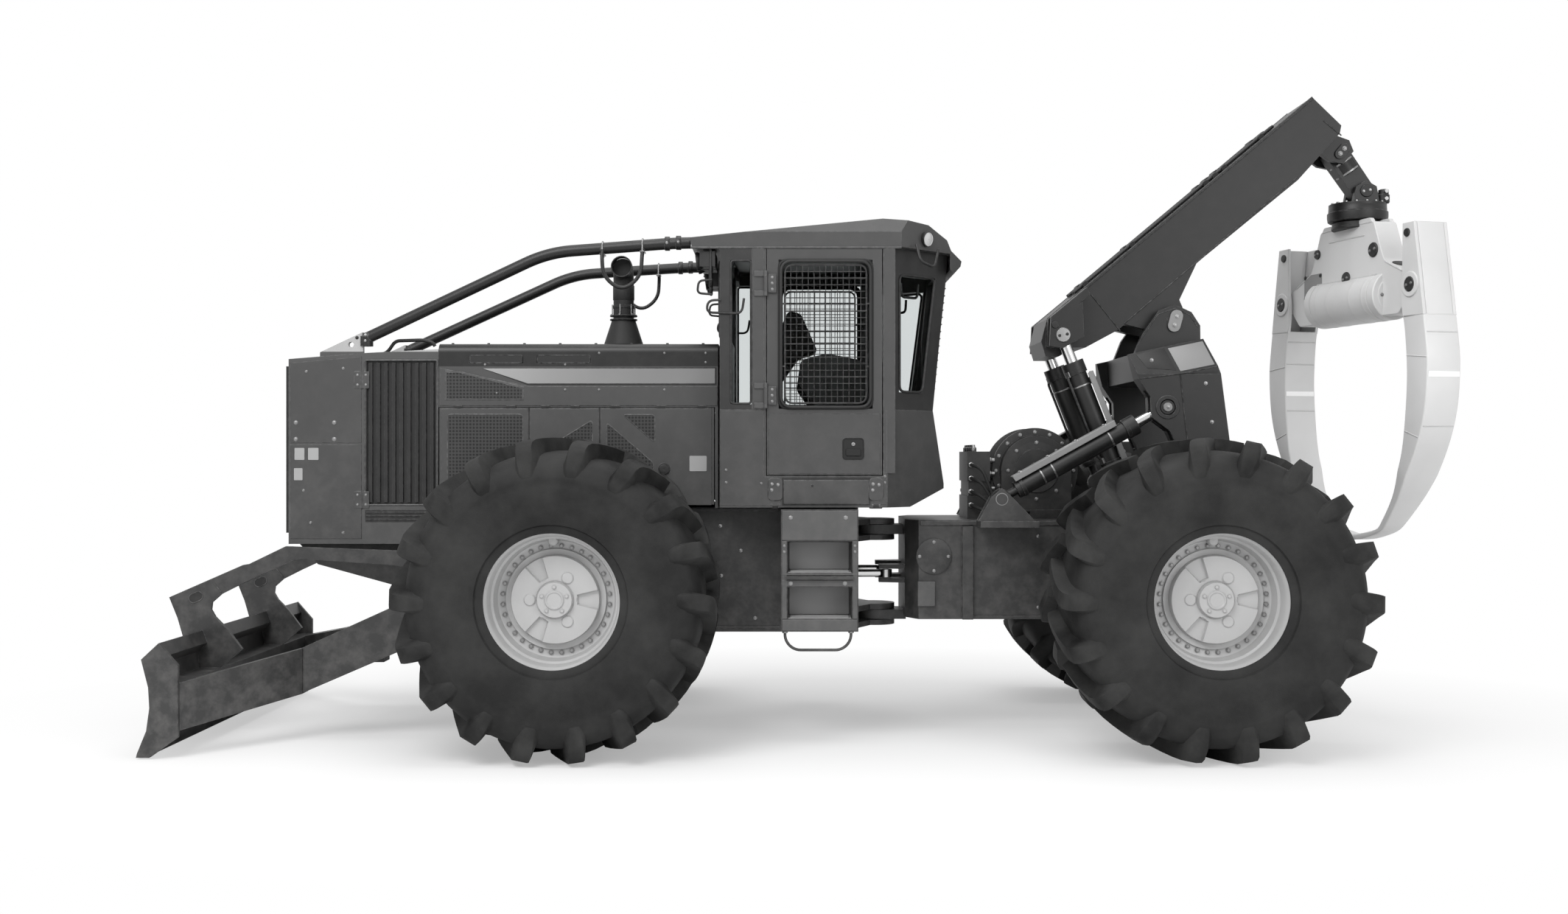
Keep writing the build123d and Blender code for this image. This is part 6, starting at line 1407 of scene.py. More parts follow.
# ------------------------------------------------------------------------------
# Blade and cylinders
# ------------------------------------------------------------------------------
def dress_blade():
    """Dress the blade: cutting edge with bolts, welds, slots of the uprights and arm pins."""
    frame_paint, dark, steel = range(3)
    shell = Shell()
    # bolted cutting edge on the lower face, and the bolts' heads on it
    edge = [(4.180, 0.155), (4.229, 0.038)]
    ends = [(x, y, z) for (x, z), y in ((edge[0], -1.27), (edge[0], 1.27), (edge[1], 1.27), (edge[1], -1.27))]
    slab(shell, ends, (0.922, 0, 0.386), 0.007, dark)
    heads = [(4.2105, y, 0.100) for y in np.linspace(-1.20, 1.20, 13)]
    bolt_heads(shell, heads, 0.013, 0.008, steel, 6, "x", 1.0)
    for side in SIDES:
        # slot, pin and weld of each upright, on both of its faces
        for y in (0.615, 0.645):
            facing = 1 if y > 0.63 else -1
            turn = np.linspace(0, pi, 9)
            lean = radians(-25)
            arcs = [(0.017 + 0.030 * np.sin(t), 0.030 * np.cos(t)) for t in turn]
            arcs += [(-0.017 - 0.030 * np.sin(t), -0.030 * np.cos(t)) for t in turn]
            slot = [(4.143 + a * cos(lean) - b * sin(lean),
                0.914 + a * sin(lean) + b * cos(lean)) for a, b in arcs]
            shell.add(*plate(slot, *sorted((side * y, side * (y + facing * 0.0008))), bevel=0.0003), dark)
            rim = side_path(slot, side * (y + facing * 0.001))
            shell.add(*ring_bar(rim, 0.003, (0, 1, 0), 6), frame_paint)
            shell.weld([(4.026, side * (y + facing * 0.001), 1.008),
                (3.979, side * (y + facing * 0.001), 0.948)], 0.004, frame_paint)
        shell.screws(side, [(4.130, 0.665)], 0.645, 0.010, steel)
        # arm pivot caps and their bolts
        cap = [(side * 0.738, 0.088), (side * 0.750, 0.088), (side * 0.754, 0.080), (side * 0.755, 0.001)]
        shell.add(*revolve(cap, on_axle(BLADE_PIVOT), 36), frame_paint)
        three = np.arange(3) * tau / 3
        shell.screws(side, [(BLADE_PIVOT[0] + 0.062 * sin(t),
            BLADE_PIVOT[1] + 0.062 * cos(t)) for t in three], 0.755, 0.009, steel)
    shell.build("blade_fittings", finishes("frame guard steel"), rides="blade")


class SKIDDER_OT_blade(bpy.types.Operator):
    """Dress the blade: cutting edge with bolts, welds, slots of the uprights and arm pins"""
    bl_idname = "skidder.blade"
    bl_label = "Blade"

    def execute(self, context):
        dress_blade()
        return {"FINISHED"}


# name: base pin, rod pin, middle Y, barrel radius, share of the run, side of the guard, turn of the feed pipe
CYLINDERS = {"blade": (*BLADE_CYLINDER, 0.530, 0.048, 0.70, 0, radians(30)),
             "arch": (*ARCH_CYLINDER, 0.600, 0.058, 0.82, 1, radians(-75)),
             "boom": (*BOOM_CYLINDER, 0.350, 0.066, 0.82, 1, radians(30))}
EYE_RADIUS = {"arch": 0.066, "boom": 0.076}


def cylinder_frame(base, rod, middle, side):
    """Maps (distance along, lift from the axis, offset along Y) to points on one cylinder."""
    start, end = on_axle(base, side * middle), on_axle(rod, side * middle)
    along = (end - start) / np.linalg.norm(end - start)
    lift = np.array([along[2], 0, -along[0]])
    if lift[2] < 0:
        lift = -lift

    def place(points):
        points = np.asarray(points, float)
        return (start + points[..., :1] * along + points[..., 1:2] * lift
                + points[..., 2:3] * np.array([0.0, 1.0, 0.0]))
    return place, float(np.linalg.norm(end - start))


def dress_cylinders():
    """Dress the cylinders: bands, glands, ports, feed pipes and light guard plates."""
    paint_on, steel, light = range(3)
    for name, (base, rod, middle, radius, share, guard, lean) in CYLINDERS.items():
        shell = Shell()
        for side in SIDES:
            place, length = cylinder_frame(base, rod, middle, side)
            turn = np.arange(32) * tau / 32
            reach = length * share

            def collar(start, end, size, number):
                rings = [(start, radius - 0.002), (start, size - 0.002), (start + 0.002, size),
                    (end - 0.002, size), (end, size - 0.002), (end, radius - 0.002)]
                grid = [[(station, ring * cos(t), ring * sin(t)) for t in turn] for station, ring in rings]
                shell.add(place(np.array(grid)), grid_faces(len(rings), 32, wrap_columns=True), number)

            collar(0.150, 0.175, radius + 0.006, paint_on)
            for share_at in (0.30, 0.38, 0.80):
                collar(reach * share_at, reach * share_at + 0.012, radius + 0.003, steel)
            collar(reach - 0.085, reach - 0.004, radius + 0.010, paint_on)
            if guard:
                # light plate laid over the guard, with a folded flange down its open side and bolts
                eye = EYE_RADIUS[name] + radius * 0.9
                run = reach - eye
                low, high = eye + run * 0.02, eye + run * 0.86
                sheet = [(low - 0.004, -radius * 0.82), (high + 0.004, -radius * 0.82),
                         (high + 0.004, radius * 0.82), (low - 0.004, radius * 0.82)]
                points, faces = plate(sheet, radius + 0.027, radius + 0.036, "z", 0.003)
                shell.add(place(points[..., [0, 2, 1]] * (1, guard, 1)), faces, light)
                low_lift, high_lift = radius - 0.004, radius + 0.034
                flange = [(low, low_lift), (high, low_lift), (high + 0.004, high_lift),
                    (low - 0.004, high_lift)]
                points, faces = plate(flange, *side_pair(side, radius * 0.80,
                    radius * 0.80 + 0.006), "z", 0.002)
                shell.add(place(points * (1, guard, 1)), faces, light)
                spots = [(low + (high - low) * at, guard * (radius + 0.038), step * radius * 0.62)
                         for at in (0.08, 0.36, 0.64, 0.92) for step in (-1, 1)]
                for spot in spots:
                    head = [np.array(spot) + (0, guard * rise, 0) for rise in (-0.004, 0.0, 0.004)]
                    shell.rod(place(np.array(head)), [0.012, 0.012, 0.009], 10, steel)
            # feed pipe along the barrel, turned about its axis from the face away from the guard
            def turned(points):
                along, depth, across = np.moveaxis(np.asarray(points, float), -1, 0)
                return place(np.stack([along, -depth * cos(lean) + across * sin(lean),
                                       side * (depth * sin(lean) + across * cos(lean))], axis=-1))

            out = radius + 0.016
            pipe = [(0.19, radius * 0.7, 0), (0.21, out, 0), (reach * 0.5, out, 0), (reach - 0.09, out, 0),
                    (reach - 0.06, radius * 0.8, 0)]
            shell.rod(rounded(turned(pipe), 0.02), 0.009, 10, paint_on)
            for station in (0.19, reach - 0.07):
                block = [(station - 0.020, radius * 0.6), (station + 0.020, radius * 0.6),
                         (station + 0.020, radius + 0.012), (station - 0.020, radius + 0.012)]
                points, faces = plate(block, -0.02, 0.02, "z", 0.003)
                shell.add(turned(points), faces, steel)
        shell.build(name + "_cylinder_fittings", finishes("boom steel guard_plate"),
                    rides=name + "_barrels")


class SKIDDER_OT_cylinders(bpy.types.Operator):
    """Dress the cylinders: bands, glands, ports, feed pipes and light guard plates"""
    bl_idname = "skidder.cylinders"
    bl_label = "Cylinders"

    def execute(self, context):
        dress_cylinders()
        return {"FINISHED"}


# ------------------------------------------------------------------------------
# Arch, boom and hanging link
# ------------------------------------------------------------------------------
def capsule(x, z, length, width, lean):
    """Outline of a round-ended plate in X and Z; lean is the angle of its long axis from +Z towards -X."""
    turn = np.linspace(0, pi, 11)
    half, radius = (length - width) / 2, width / 2
    local = [(radius * cos(t), half + radius * sin(t)) for t in turn]
    local += [(-radius * cos(t), -half - radius * sin(t)) for t in turn]
    return [(x + a * cos(lean) - b * sin(lean), z + a * sin(lean) + b * cos(lean)) for a, b in local]


def slab(shell, outline, normal, thickness, number=0, inset=0.004):
    """A flat plate on any plane: the outline, lifted along the normal, its top drawn inwards."""
    outline, normal = np.asarray(outline, float), np.asarray(normal, float)
    normal /= np.linalg.norm(normal)
    middle = outline.mean(axis=0)
    inward = middle - outline
    inward *= inset / np.linalg.norm(inward, axis=1)[:, None]
    rings = np.array([outline, outline + normal * thickness * 0.6, outline + inward + normal * thickness])
    faces = list(grid_faces(3, len(outline), wrap_columns=True))
    faces.append(tuple(range(2 * len(outline), 3 * len(outline))))
    shell.add(rings, faces, number)


def lock_plate(shell, place, face, side, length, width, lean, number, bolt):
    """A keeper plate over a pin's end, with its bolts."""
    x, z = place
    shell.sheet(side, capsule(x, z, length, width, lean), face, face + 0.012, number)
    reach = (length - width) / 2
    spots = [(x - step * reach * sin(lean), z + step * reach * cos(lean)) for step in (-0.9, 0.9)]
    shell.screws(side, spots, face + 0.012, 0.012, bolt, 0.008)


def pin_cap(shell, place, side, face, radius, number, bolt=None):
    """A pin's domed end with a chamfer, and two bolts across it."""
    x, z = place
    cap = [(face - 0.020, radius), (face + 0.004, radius), (face + 0.010, radius * 0.90),
        (face + 0.011, 0.001)]
    shell.cap(side, cap, x, z, 32, number)
    if bolt is not None:
        shell.screws(side, [(x - radius * 0.5, z + radius * 0.1), (x + radius * 0.5, z - radius * 0.1)],
            face + 0.011, radius * 0.17, bolt, 0.006)


BOOM_TOP_LINE = ((-1.440, 2.752), (-3.223, 4.244))


def dress_arch():
    """Dress the arch and the boom with shoulders, welds, keeper plates, pins and clamps."""
    boom, steel, light, dark = range(4)
    names = finishes("boom steel guard_plate guard")
    shell = Shell()
    for side in SIDES:
        def slope(x, z):
            return (x, side * (0.430 + (2.640 - z) * 0.825), z)

        normal = (0, side * 0.771, 0.636)
        slab(shell, [slope(*spot) for spot in ((-2.190, 2.535), (-2.428, 2.585), (-2.472, 2.425),
            (-2.240, 2.378))], normal, 0.003, light)
        slab(shell, [slope(*spot) for spot in ((-1.975, 2.490), (-2.165, 2.540), (-2.215, 2.385),
            (-2.030, 2.400))], normal, 0.003, dark)
        # crease of the leg's outer plate, welds round the foot and along the shoulder
        for path in ([(-2.235, 0.661, 2.362), (-2.262, 0.661, 2.10), (-2.300, 0.661, 1.78)],
                     [(-1.975, 0.661, 2.330), (-2.240, 0.661, 2.362), (-2.480, 0.661, 2.410)],
                     [(-2.548, 0.661, 1.93), (-2.566, 0.661, 1.52)]):
            shell.weld([(x, side * y, z) for x, y, z in path], 0.0045, boom)
        ear = [(-2.050, 2.600), (-2.165, 2.775), (-2.280, 2.815), (-2.380, 2.768), (-2.430, 2.690)]
        shell.weld([(x, side * 0.346, z) for x, z in ear], 0.003, boom)
        lock_plate(shell, BOOM_PIVOT, 0.351, side, 0.150, 0.084, radians(15), light, steel)
        boss = [(0.652, 0.078), (0.664, 0.078), (0.667, 0.074), (0.667, 0.052),
            (0.660, 0.050), (0.660, 0.045)]
        shell.cap(side, boss, *ARCH_CYLINDER[1], 40, boom)
        pin_cap(shell, ARCH_CYLINDER[1], side, 0.664, 0.030, light, None)
        shell.screws(side, [ARCH_CYLINDER[1]], 0.674, 0.010, steel)
        boss = [(0.655, 0.128), (0.664, 0.128), (0.668, 0.122), (0.668, 0.082)]
        shell.cap(side, boss, *ARCH_PIVOT, 44, boom)
        pin_cap(shell, BOOM_CYLINDER[0], side, 0.408, 0.046, steel, steel)
        shell.screws(side, [(-2.05, 2.45), (-2.40, 2.30), (-2.44, 2.05)], 0.661, 0.010, steel)
    shell.build("arch_fittings", names, rides="arch")

    shell = Shell()
    (heel_x, heel_z), (tip_x, tip_z) = BOOM_TOP_LINE
    run = np.array([tip_x - heel_x, tip_z - heel_z])
    length = np.linalg.norm(run)
    run /= length
    up = np.array([-run[1], run[0]]) * -1.0
    for side in SIDES:
        # folded flange along each top edge
        flange = []
        for share, lift in ((0.000, -0.016), (0.000, 0.004), (1.0, 0.004), (1.0, -0.016)):
            spot = np.array([heel_x, heel_z]) + run * length * share + up * lift
            flange.append(tuple(spot))
        shell.sheet(side, flange, 0.250, 0.268, boom, 0.003)
        seams = [[(-1.700, 2.960), (-1.932, 2.672)], [(-1.960, 2.722), (-2.505, 3.185)],
            [(-2.505, 3.185), (-3.120, 3.702)], [(-1.660, 2.905), (-1.500, 2.790)],
            [(-3.300, 4.085), (-3.420, 3.985)]]
        for (low_x, low_z), (high_x, high_z) in seams:
            shell.weld([(low_x, side * 0.261, low_z), (high_x, side * 0.261, high_z)], 0.0045, boom)
        pin_cap(shell, BOOM_CYLINDER[1], side, 0.421, 0.050, steel, dark)
        pin_cap(shell, (-1.466, 2.700), side, 0.421, 0.024, dark, None)
        # keeper plate over the link's upper pin
        lock_plate(shell, LINK_TOP, 0.131, side, 0.120, 0.070, radians(40), boom, steel)
    # clamps that hold the lines on the boom's top, and the lines themselves
    for share in (0.16, 0.34, 0.62, 0.655, 0.69, 0.83):
        spot = np.array([heel_x, heel_z]) + run * length * share
        for y in (-0.10, 0.10):
            block = [tuple(spot + run * step + up * lift) for step,
                lift in ((-0.022, -0.002), (-0.022, 0.022), (-0.012, 0.030), (0.012, 0.030), (0.022, 0.022),
                (0.022, -0.002))]
            shell.add(*plate(block, y - 0.055, y + 0.055, "y", 0.003), dark)
    for y in (-0.130, -0.100, -0.070, 0.070, 0.100, 0.130):
        line = [np.array([heel_x, heel_z]) + run * length * share + up * 0.014 for share in (0.12,
            0.3, 0.5, 0.7, 0.88)]
        shell.rod([(x, y, z) for x, z in line], 0.011, 12, dark)
    shell.build("boom_fittings", names, rides="boom")

    shell = Shell()
    # round damper housing on the link's upper arm, with its bands
    start, end = np.array([-3.478, 0, 3.895]), np.array([-3.602, 0, 3.716])
    along = (end - start) / np.linalg.norm(end - start)
    for station, radius, width, number in ((0.045, 0.083, 0.100, boom), (0.050, 0.087, 0.012, steel),
                                           (0.128, 0.087, 0.012, steel)):
        first = start + along * station
        ring = [first + along * width * share for share in (0.0, 0.03, 0.5, 0.97, 1.0)]
        sizes_at = [radius - 0.004, radius, radius, radius, radius - 0.004]
        shell.rod(ring, sizes_at, 36, number)
    for side in SIDES:
        lock_plate(shell, (-3.640, 3.665), 0.0605, side, 0.110, 0.070, radians(50), light, steel)
    shell.build("link_fittings", names, rides="hang_link")

    shell = Shell()
    axis = (GRAPPLE_AXIS_X, 0, 0)
    housing = [(3.439, 0.060), (3.439, 0.188), (3.445, 0.196), (3.470, 0.200), (3.500, 0.200), (3.506, 0.192),
               (3.545, 0.190), (3.556, 0.182), (3.563, 0.165), (3.564, 0.060)]
    shell.add(*revolve(housing, axis, 60, "z"), boom)
    ring = np.arange(16) * tau / 16
    bolt_heads(shell, ring_places(GRAPPLE_AXIS_X, 0.172, ring, 3.561), 0.010, 0.010, steel, 6, "z")
    for side in SIDES:
        # swing motor with its ports, beside the link
        motor = [(3.560, 0.036), (3.565, 0.040), (3.615, 0.040), (3.620, 0.034), (3.650, 0.034),
            (3.655, 0.022), (3.656, 0.001)]
        shell.add(*revolve(motor, (-3.776, side * 0.070, 0), 28, "z"), dark)
        for z in (3.585, 3.635):
            shell.rod(beside(side, [(-3.776, 0.100, z), (-3.776, 0.115, z), (-3.776, 0.130, z)]),
                0.013, 12, steel)
        pin_cap(shell, LINK_FOOT, side, 0.110, 0.044, dark, steel)
    shell.build("crosshead_fittings", names, rides="crosshead")


class SKIDDER_OT_arch(bpy.types.Operator):
    """Dress the arch and the boom with shoulders, welds, keeper plates, pins and clamps"""
    bl_idname = "skidder.arch"
    bl_label = "Arch and boom"

    def execute(self, context):
        dress_arch()
        return {"FINISHED"}


# ------------------------------------------------------------------------------
# Grapple: tables in its own plane, R out from the turning axis, W across, Z up
# ------------------------------------------------------------------------------
GRAPPLE_YAW = radians(-75)
TONG_HALF = 0.124
# a tong's back and front, from its pins down to its tip
TONG_BACK = [(0.765, 3.335), (0.815, 3.025), (0.855, 2.761), (0.890, 2.533), (0.898, 2.404), (0.885, 2.213),
             (0.851, 2.054), (0.788, 1.894), (0.698, 1.732), (0.586, 1.566), (0.434, 1.396), (0.343, 1.325),
             (0.160, 1.272), (0.030, 1.256)]
TONG_FRONT = [(0.650, 3.335), (0.645, 3.050), (0.632, 2.930), (0.640, 2.790), (0.670, 2.640), (0.690, 2.381),
              (0.677, 2.138), (0.644, 1.895), (0.592, 1.731), (0.510, 1.566), (0.364, 1.397), (0.283, 1.337),
              (0.030, 1.290)]
HEAD_EDGE = [(0.300, 3.405), (0.380, 3.200), (0.415, 3.130), (0.560, 3.065), (0.690, 2.995),
    (0.640, 2.850), (0.560, 2.760)]
SLOT_FLOOR_Z = 2.735


def grapple_place(points):
    """Turns (R, W, Z) points by the grapple's yaw about its axis."""
    r, w, z = np.moveaxis(np.asarray(points, float), -1, 0)
    return np.stack([GRAPPLE_AXIS_X + r * cos(GRAPPLE_YAW) - w * sin(GRAPPLE_YAW),
                     r * sin(GRAPPLE_YAW) + w * cos(GRAPPLE_YAW), z], axis=-1)


def curve_through(points, steps=8):
    """Catmull-Rom curve: between p1 and p2 it is 0.5 (2 p1 + (p2 - p0) t + ... ) in t from 0 to 1."""
    points = np.asarray(points, float)
    padded = np.concatenate([[2 * points[0] - points[1]], points, [2 * points[-1] - points[-2]]])
    t = np.linspace(0, 1, steps, endpoint=False)[:, None]
    pieces = []
    for p0, p1, p2, p3 in zip(padded[:-3], padded[1:-2], padded[2:-1], padded[3:]):
        pieces.append(0.5 * (2 * p1 + (p2 - p0) * t + (2 * p0 - 5 * p1 + 4 * p2 - p3) * t ** 2
                             + (3 * p1 - p0 - 3 * p2 + p3) * t ** 3))
    return np.concatenate(pieces + [points[-1:]])


def below(curve, level):
    """The part of a falling curve under a height, starting exactly there."""
    index = int(np.argmax(curve[:, 1] < level))
    share = (curve[index - 1, 1] - level) / (curve[index - 1, 1] - curve[index, 1])
    return np.concatenate([[curve[index - 1] + share * (curve[index] - curve[index - 1])], curve[index:]])


def even(curve, count):
    """A curve resampled at equal steps of its length."""
    reach = np.concatenate([[0], np.cumsum(np.linalg.norm(np.diff(curve, axis=0), axis=1))])
    wanted = np.linspace(0, reach[-1], count)
    return np.stack([np.interp(wanted, reach, curve[:, axis]) for axis in range(2)], axis=1)


def round_bar(shell, back, front, half, round_off, number, sense):
    """Loft of rounded rectangles that run from a back curve to a front curve, half wide each way."""
    corner = np.linspace(0, pi / 2, 4)
    rings = []
    for outer, inner, reach in zip(back, front, half):
        depth = np.linalg.norm(inner - outer)
        into = (inner - outer) / depth
        bend = min(round_off, depth * 0.3)
        ring = []
        for base, turn_in, w_sense in ((0, 1, -1), (0, 1, 1), (depth, -1, 1), (depth, -1, -1)):
            arc = [(base + turn_in * bend * (1 - cos(t)),
                w_sense * (reach - bend * (1 - sin(t)))) for t in corner]
            ring.append(arc)
        order = [*reversed(ring[0]), *ring[1], *reversed(ring[2]), *ring[3]]
        rings.append([(sense * (outer[0] + into[0] * d), w, outer[1] + into[1] * d) for d, w in order])
    count = len(rings[0])
    faces = list(grid_faces(len(rings), count, wrap_columns=True))
    last = (len(rings) - 1) * count
    faces += [tuple(range(count)), tuple(range(last + count - 1, last - 1, -1))]
    if sense > 0:
        faces = [face[::-1] for face in faces]
    shell.add(np.array(rings), faces, number)


def make_grapple():
    """Make the grapple's head and its two curved tongs."""
    white, band, dark, steel, panel = range(5)
    names = finishes("grapple bright guard steel panel")
    back, front = curve_through(TONG_BACK), curve_through(TONG_FRONT)
    low_back, low_front = even(below(back, SLOT_FLOOR_Z), 56), even(below(front, SLOT_FLOOR_Z), 56)
    for name, sense in (("tong_front", 1), ("tong_rear", -1)):
        shell = Shell()
        half = np.interp(low_back[:, 1], [1.24, 1.70], [0.060, TONG_HALF])
        round_bar(shell, low_back, low_front, half, 0.010, white, sense)
        high = even(back[back[:, 1] > SLOT_FLOOR_Z - 0.03], 24)
        strap = high - np.array([0.024, 0.0])
        round_bar(shell, high, strap, np.full(24, 0.0985), 0.004, white, sense)
        for side in SIDES:
            cheek_back = high
            cheek_front = even(front[front[:, 1] > SLOT_FLOOR_Z - 0.03], 14)[::-1]
            outline = np.concatenate([cheek_back, cheek_front]) * (sense, 1)
            shell.sheet(side, outline, 0.100, TONG_HALF, white, 0.003)
            # pivot's collar and dark pin, and the upper pin
            x, z = sense * TONG_PIVOT[0], TONG_PIVOT[1]
            collar = [(0.122, 0.082), (0.130, 0.082), (0.133, 0.078), (0.133, 0.050)]
            shell.cap(side, collar, x, z, 40, white)
            pin_cap(shell, (x, z), side, 0.126, 0.048, dark, steel)
            pin_cap(shell, (sense * 0.700, 3.270), side, TONG_HALF, 0.028, dark, None)
            # seams of the blade's plates
            for share in (0.16, 0.42):
                index = int(share * 55)
                path = [(sense * low_back[index][0], side * (half[index] + 0.0005), low_back[index][1]),
                        (sense * low_front[index][0], side * (half[index] + 0.0005), low_front[index][1])]
                shell.weld([(r - sense * 0.010 * (1 if count == 0 else -1), w, z) for count,
                    (r, w, z) in enumerate(path)], 0.003, white)
        # bright bands and thin seams across the outer and the inner face
        for curve, level, depth, push in ((low_back, 2.350, 0.017, 0.0012),
                (low_front, 2.285, 0.017, -0.0012)):
            heights = np.linspace(level - depth, level + depth, 4)
            radii = np.interp(heights, curve[::-1, 1], curve[::-1, 0])
            outer = np.stack([sense * (radii + push), np.full(4, -0.114), heights], axis=1)
            grid = np.array([outer, outer * (1, -1, 1)])
            shell.add(grid, grid_faces(2, 4, flip=(sense * push > 0)), band)
        for curve, level, push in ((low_back, 2.62, 0.001), (low_front, 2.50, -0.001),
                (low_front, 2.66, -0.001), (low_back, 2.02, 0.001), (low_front, 2.16, -0.001)):
            radius = np.interp(level, curve[::-1, 1], curve[::-1, 0])
            path = [(sense * (radius + push), w, level) for w in (-0.112, 0.0, 0.112)]
            shell.weld(path, 0.003, white)
        piece = shell.build("curved_" + name, names, 32, name, place=grapple_place)
        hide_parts(name)

    shell = Shell()
    edge = soften(HEAD_EDGE + [(-r, z) for r, z in reversed(HEAD_EDGE)], 0.020, 4)
    shell.add(*plate(edge, -0.088, 0.088, "y", 0.004), white)
    # round housing of the tongs' cylinder, with bands and a stepped end
    housing = [(-0.400, 0.001), (-0.400, 0.120), (-0.396, 0.126), (-0.396, 0.158), (-0.390, 0.165),
        (-0.330, 0.165), (-0.328, 0.161), (-0.320, 0.161), (-0.318, 0.165), (0.318, 0.165), (0.320, 0.161),
        (0.328, 0.161), (0.330, 0.165), (0.390, 0.165), (0.396, 0.158), (0.396, 0.126),
        (0.400, 0.120), (0.400, 0.001)]
    shell.add(*revolve(housing, (0, 0, 2.900), 64, "x"), white)
    for station in (-0.270, -0.130, 0.130, 0.270):
        ring = [(station - 0.010, 0.163), (station - 0.008, 0.1665), (station + 0.008, 0.1665),
            (station + 0.010, 0.163)]
        shell.add(*revolve(ring, (0, 0, 2.900), 64, "x"), white)
    for sense in (-1, 1):
        six = np.arange(6) * tau / 6
        bolt_heads(shell, [(sense * 0.398, 0.095 * cos(t), 2.900 + 0.095 * sin(t)) for t in six], 0.010,
            0.010, steel, 6, "x", sense)
        boss = [(-0.088, 0.061), (-0.086, 0.063), (0.086, 0.063), (0.088, 0.061)]
        shell.add(*revolve(boss, (sense * TONG_PIVOT[0], 0, TONG_PIVOT[1]), 36), white)
        shell.add(*revolve([(-0.124, 0.001), (-0.124, 0.042), (0.124, 0.042), (0.124, 0.001)],
                           (sense * TONG_PIVOT[0], 0, TONG_PIVOT[1]), 32), dark)
        for low_w in (-0.088, 0.058):
            ear = soften([(sense * 0.112, 3.395), (sense * 0.288, 3.395), (sense * 0.262, 3.432),
                          (sense * 0.142, 3.432)], 0.012)
            shell.add(*plate(ear, low_w, low_w + 0.030, "y", 0.002), white)
    turntable = [(3.386, 0.062), (3.386, 0.168), (3.390, 0.172), (3.404, 0.172), (3.406, 0.168),
        (3.430, 0.168), (3.434, 0.164), (3.434, 0.062)]
    shell.add(*revolve(turntable, (0, 0, 0), 56, "z"), dark)
    for side in SIDES:
        face = side * 0.088
        # cover panel with black bolts, slot lines, pins and round covers on each face
        cover = soften(corners(0.284, 0.497, 2.940, 3.120), 0.010)
        shell.sheet(side, np.array(cover), 0.087, 0.0905, panel, 0.0012)
        shell.screws(side, [(0.300, 2.955), (0.300, 3.104), (0.481, 2.955), (0.481, 3.104)],
            0.0905, 0.012, dark)
        for place, radius in (((0.0, 3.050), 0.045), ((-0.300, 3.210), 0.050), ((0.335, 3.255), 0.034)):
            pin_cap(shell, place, side, 0.089, radius, dark, steel)
        for path in ([(0.420, face, 3.118), (0.600, face, 3.036)],
                [(-0.420, face, 3.118), (-0.600, face, 3.036)], [(0.20, face, 3.32), (-0.20, face, 3.32)]):
            shell.weld(path, 0.004, white)
        seat = np.linspace(-0.9, 0.9, 24)
        ring = [(0.380 * t, side * 0.0885, 3.041) for t in seat]
        shell.weld(ring, 0.004, white)
    # oval cover on each sloping shoulder
    for sense in (-1, 1):
        slope = np.array([0.145, 0, -0.065]) / 0.1589
        normal = np.array([sense * 0.409, 0, 0.9125])
        centre = np.array([sense * 0.4875, 0, 3.0975])
        turn = np.arange(32) * tau / 32
        oval = [centre + (sense * slope[0] * 0.052 * cos(t), 0.074 * sin(t),
            slope[2] * 0.052 * cos(t)) for t in turn]
        slab(shell, oval, normal, 0.005, dark, 0.006)
    piece = shell.build("housed_grapple_head", names, 32, "grapple_head",
        place=grapple_place)
    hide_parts("grapple_head")


class SKIDDER_OT_grapple(bpy.types.Operator):
    """Make the grapple's head and its two curved tongs"""
    bl_idname = "skidder.grapple"
    bl_label = "Grapple"

    def execute(self, context):
        make_grapple()
        return {"FINISHED"}


# ------------------------------------------------------------------------------
# Operator's place
# ------------------------------------------------------------------------------
# name, low corner, high corner, lean of the top towards the rear, how far a point may swell
SEAT_PADS = [("cushion", (-0.235, -0.225, 1.880), (0.225, 0.225, 1.968), 0.0, 0.022),
             ("backrest", (-0.250, -0.215, 2.010), (-0.180, 0.215, 2.590), 0.098, 0.020)]


def pad_grid(low, high, lean, steps=14):
    """A closed block of quads; its outline is a superellipse, so its corners are round."""
    low, high = np.array(low), np.array(high)
    middle, half = (low + high) / 2, (high - low) / 2
    rings, count = 9, steps * 4
    turn = np.arange(count) * tau / count
    thin = int(np.argmin(half))
    wide = [axis for axis in range(3) if axis != thin]
    rows = []
    for level in np.linspace(-1, 1, rings):
        draw = (1 - abs(level) ** 6 * 0.10)
        ring = np.zeros((count, 3))
        ring[:, wide[0]] = np.sign(np.cos(turn)) * np.abs(np.cos(turn)) ** 0.35 * draw
        ring[:, wide[1]] = np.sign(np.sin(turn)) * np.abs(np.sin(turn)) ** 0.35 * draw
        ring[:, thin] = level
        rows.append(ring)
    points = np.array(rows) * half + middle
    points[..., 0] -= lean * (points[..., 2] - low[2]) / (high[2] - low[2])
    faces = list(grid_faces(rings, count, wrap_columns=True))
    last = (rings - 1) * count
    faces += [tuple(range(count))[::-1], tuple(range(last, last + count))]
    return points.reshape(-1, 3), faces


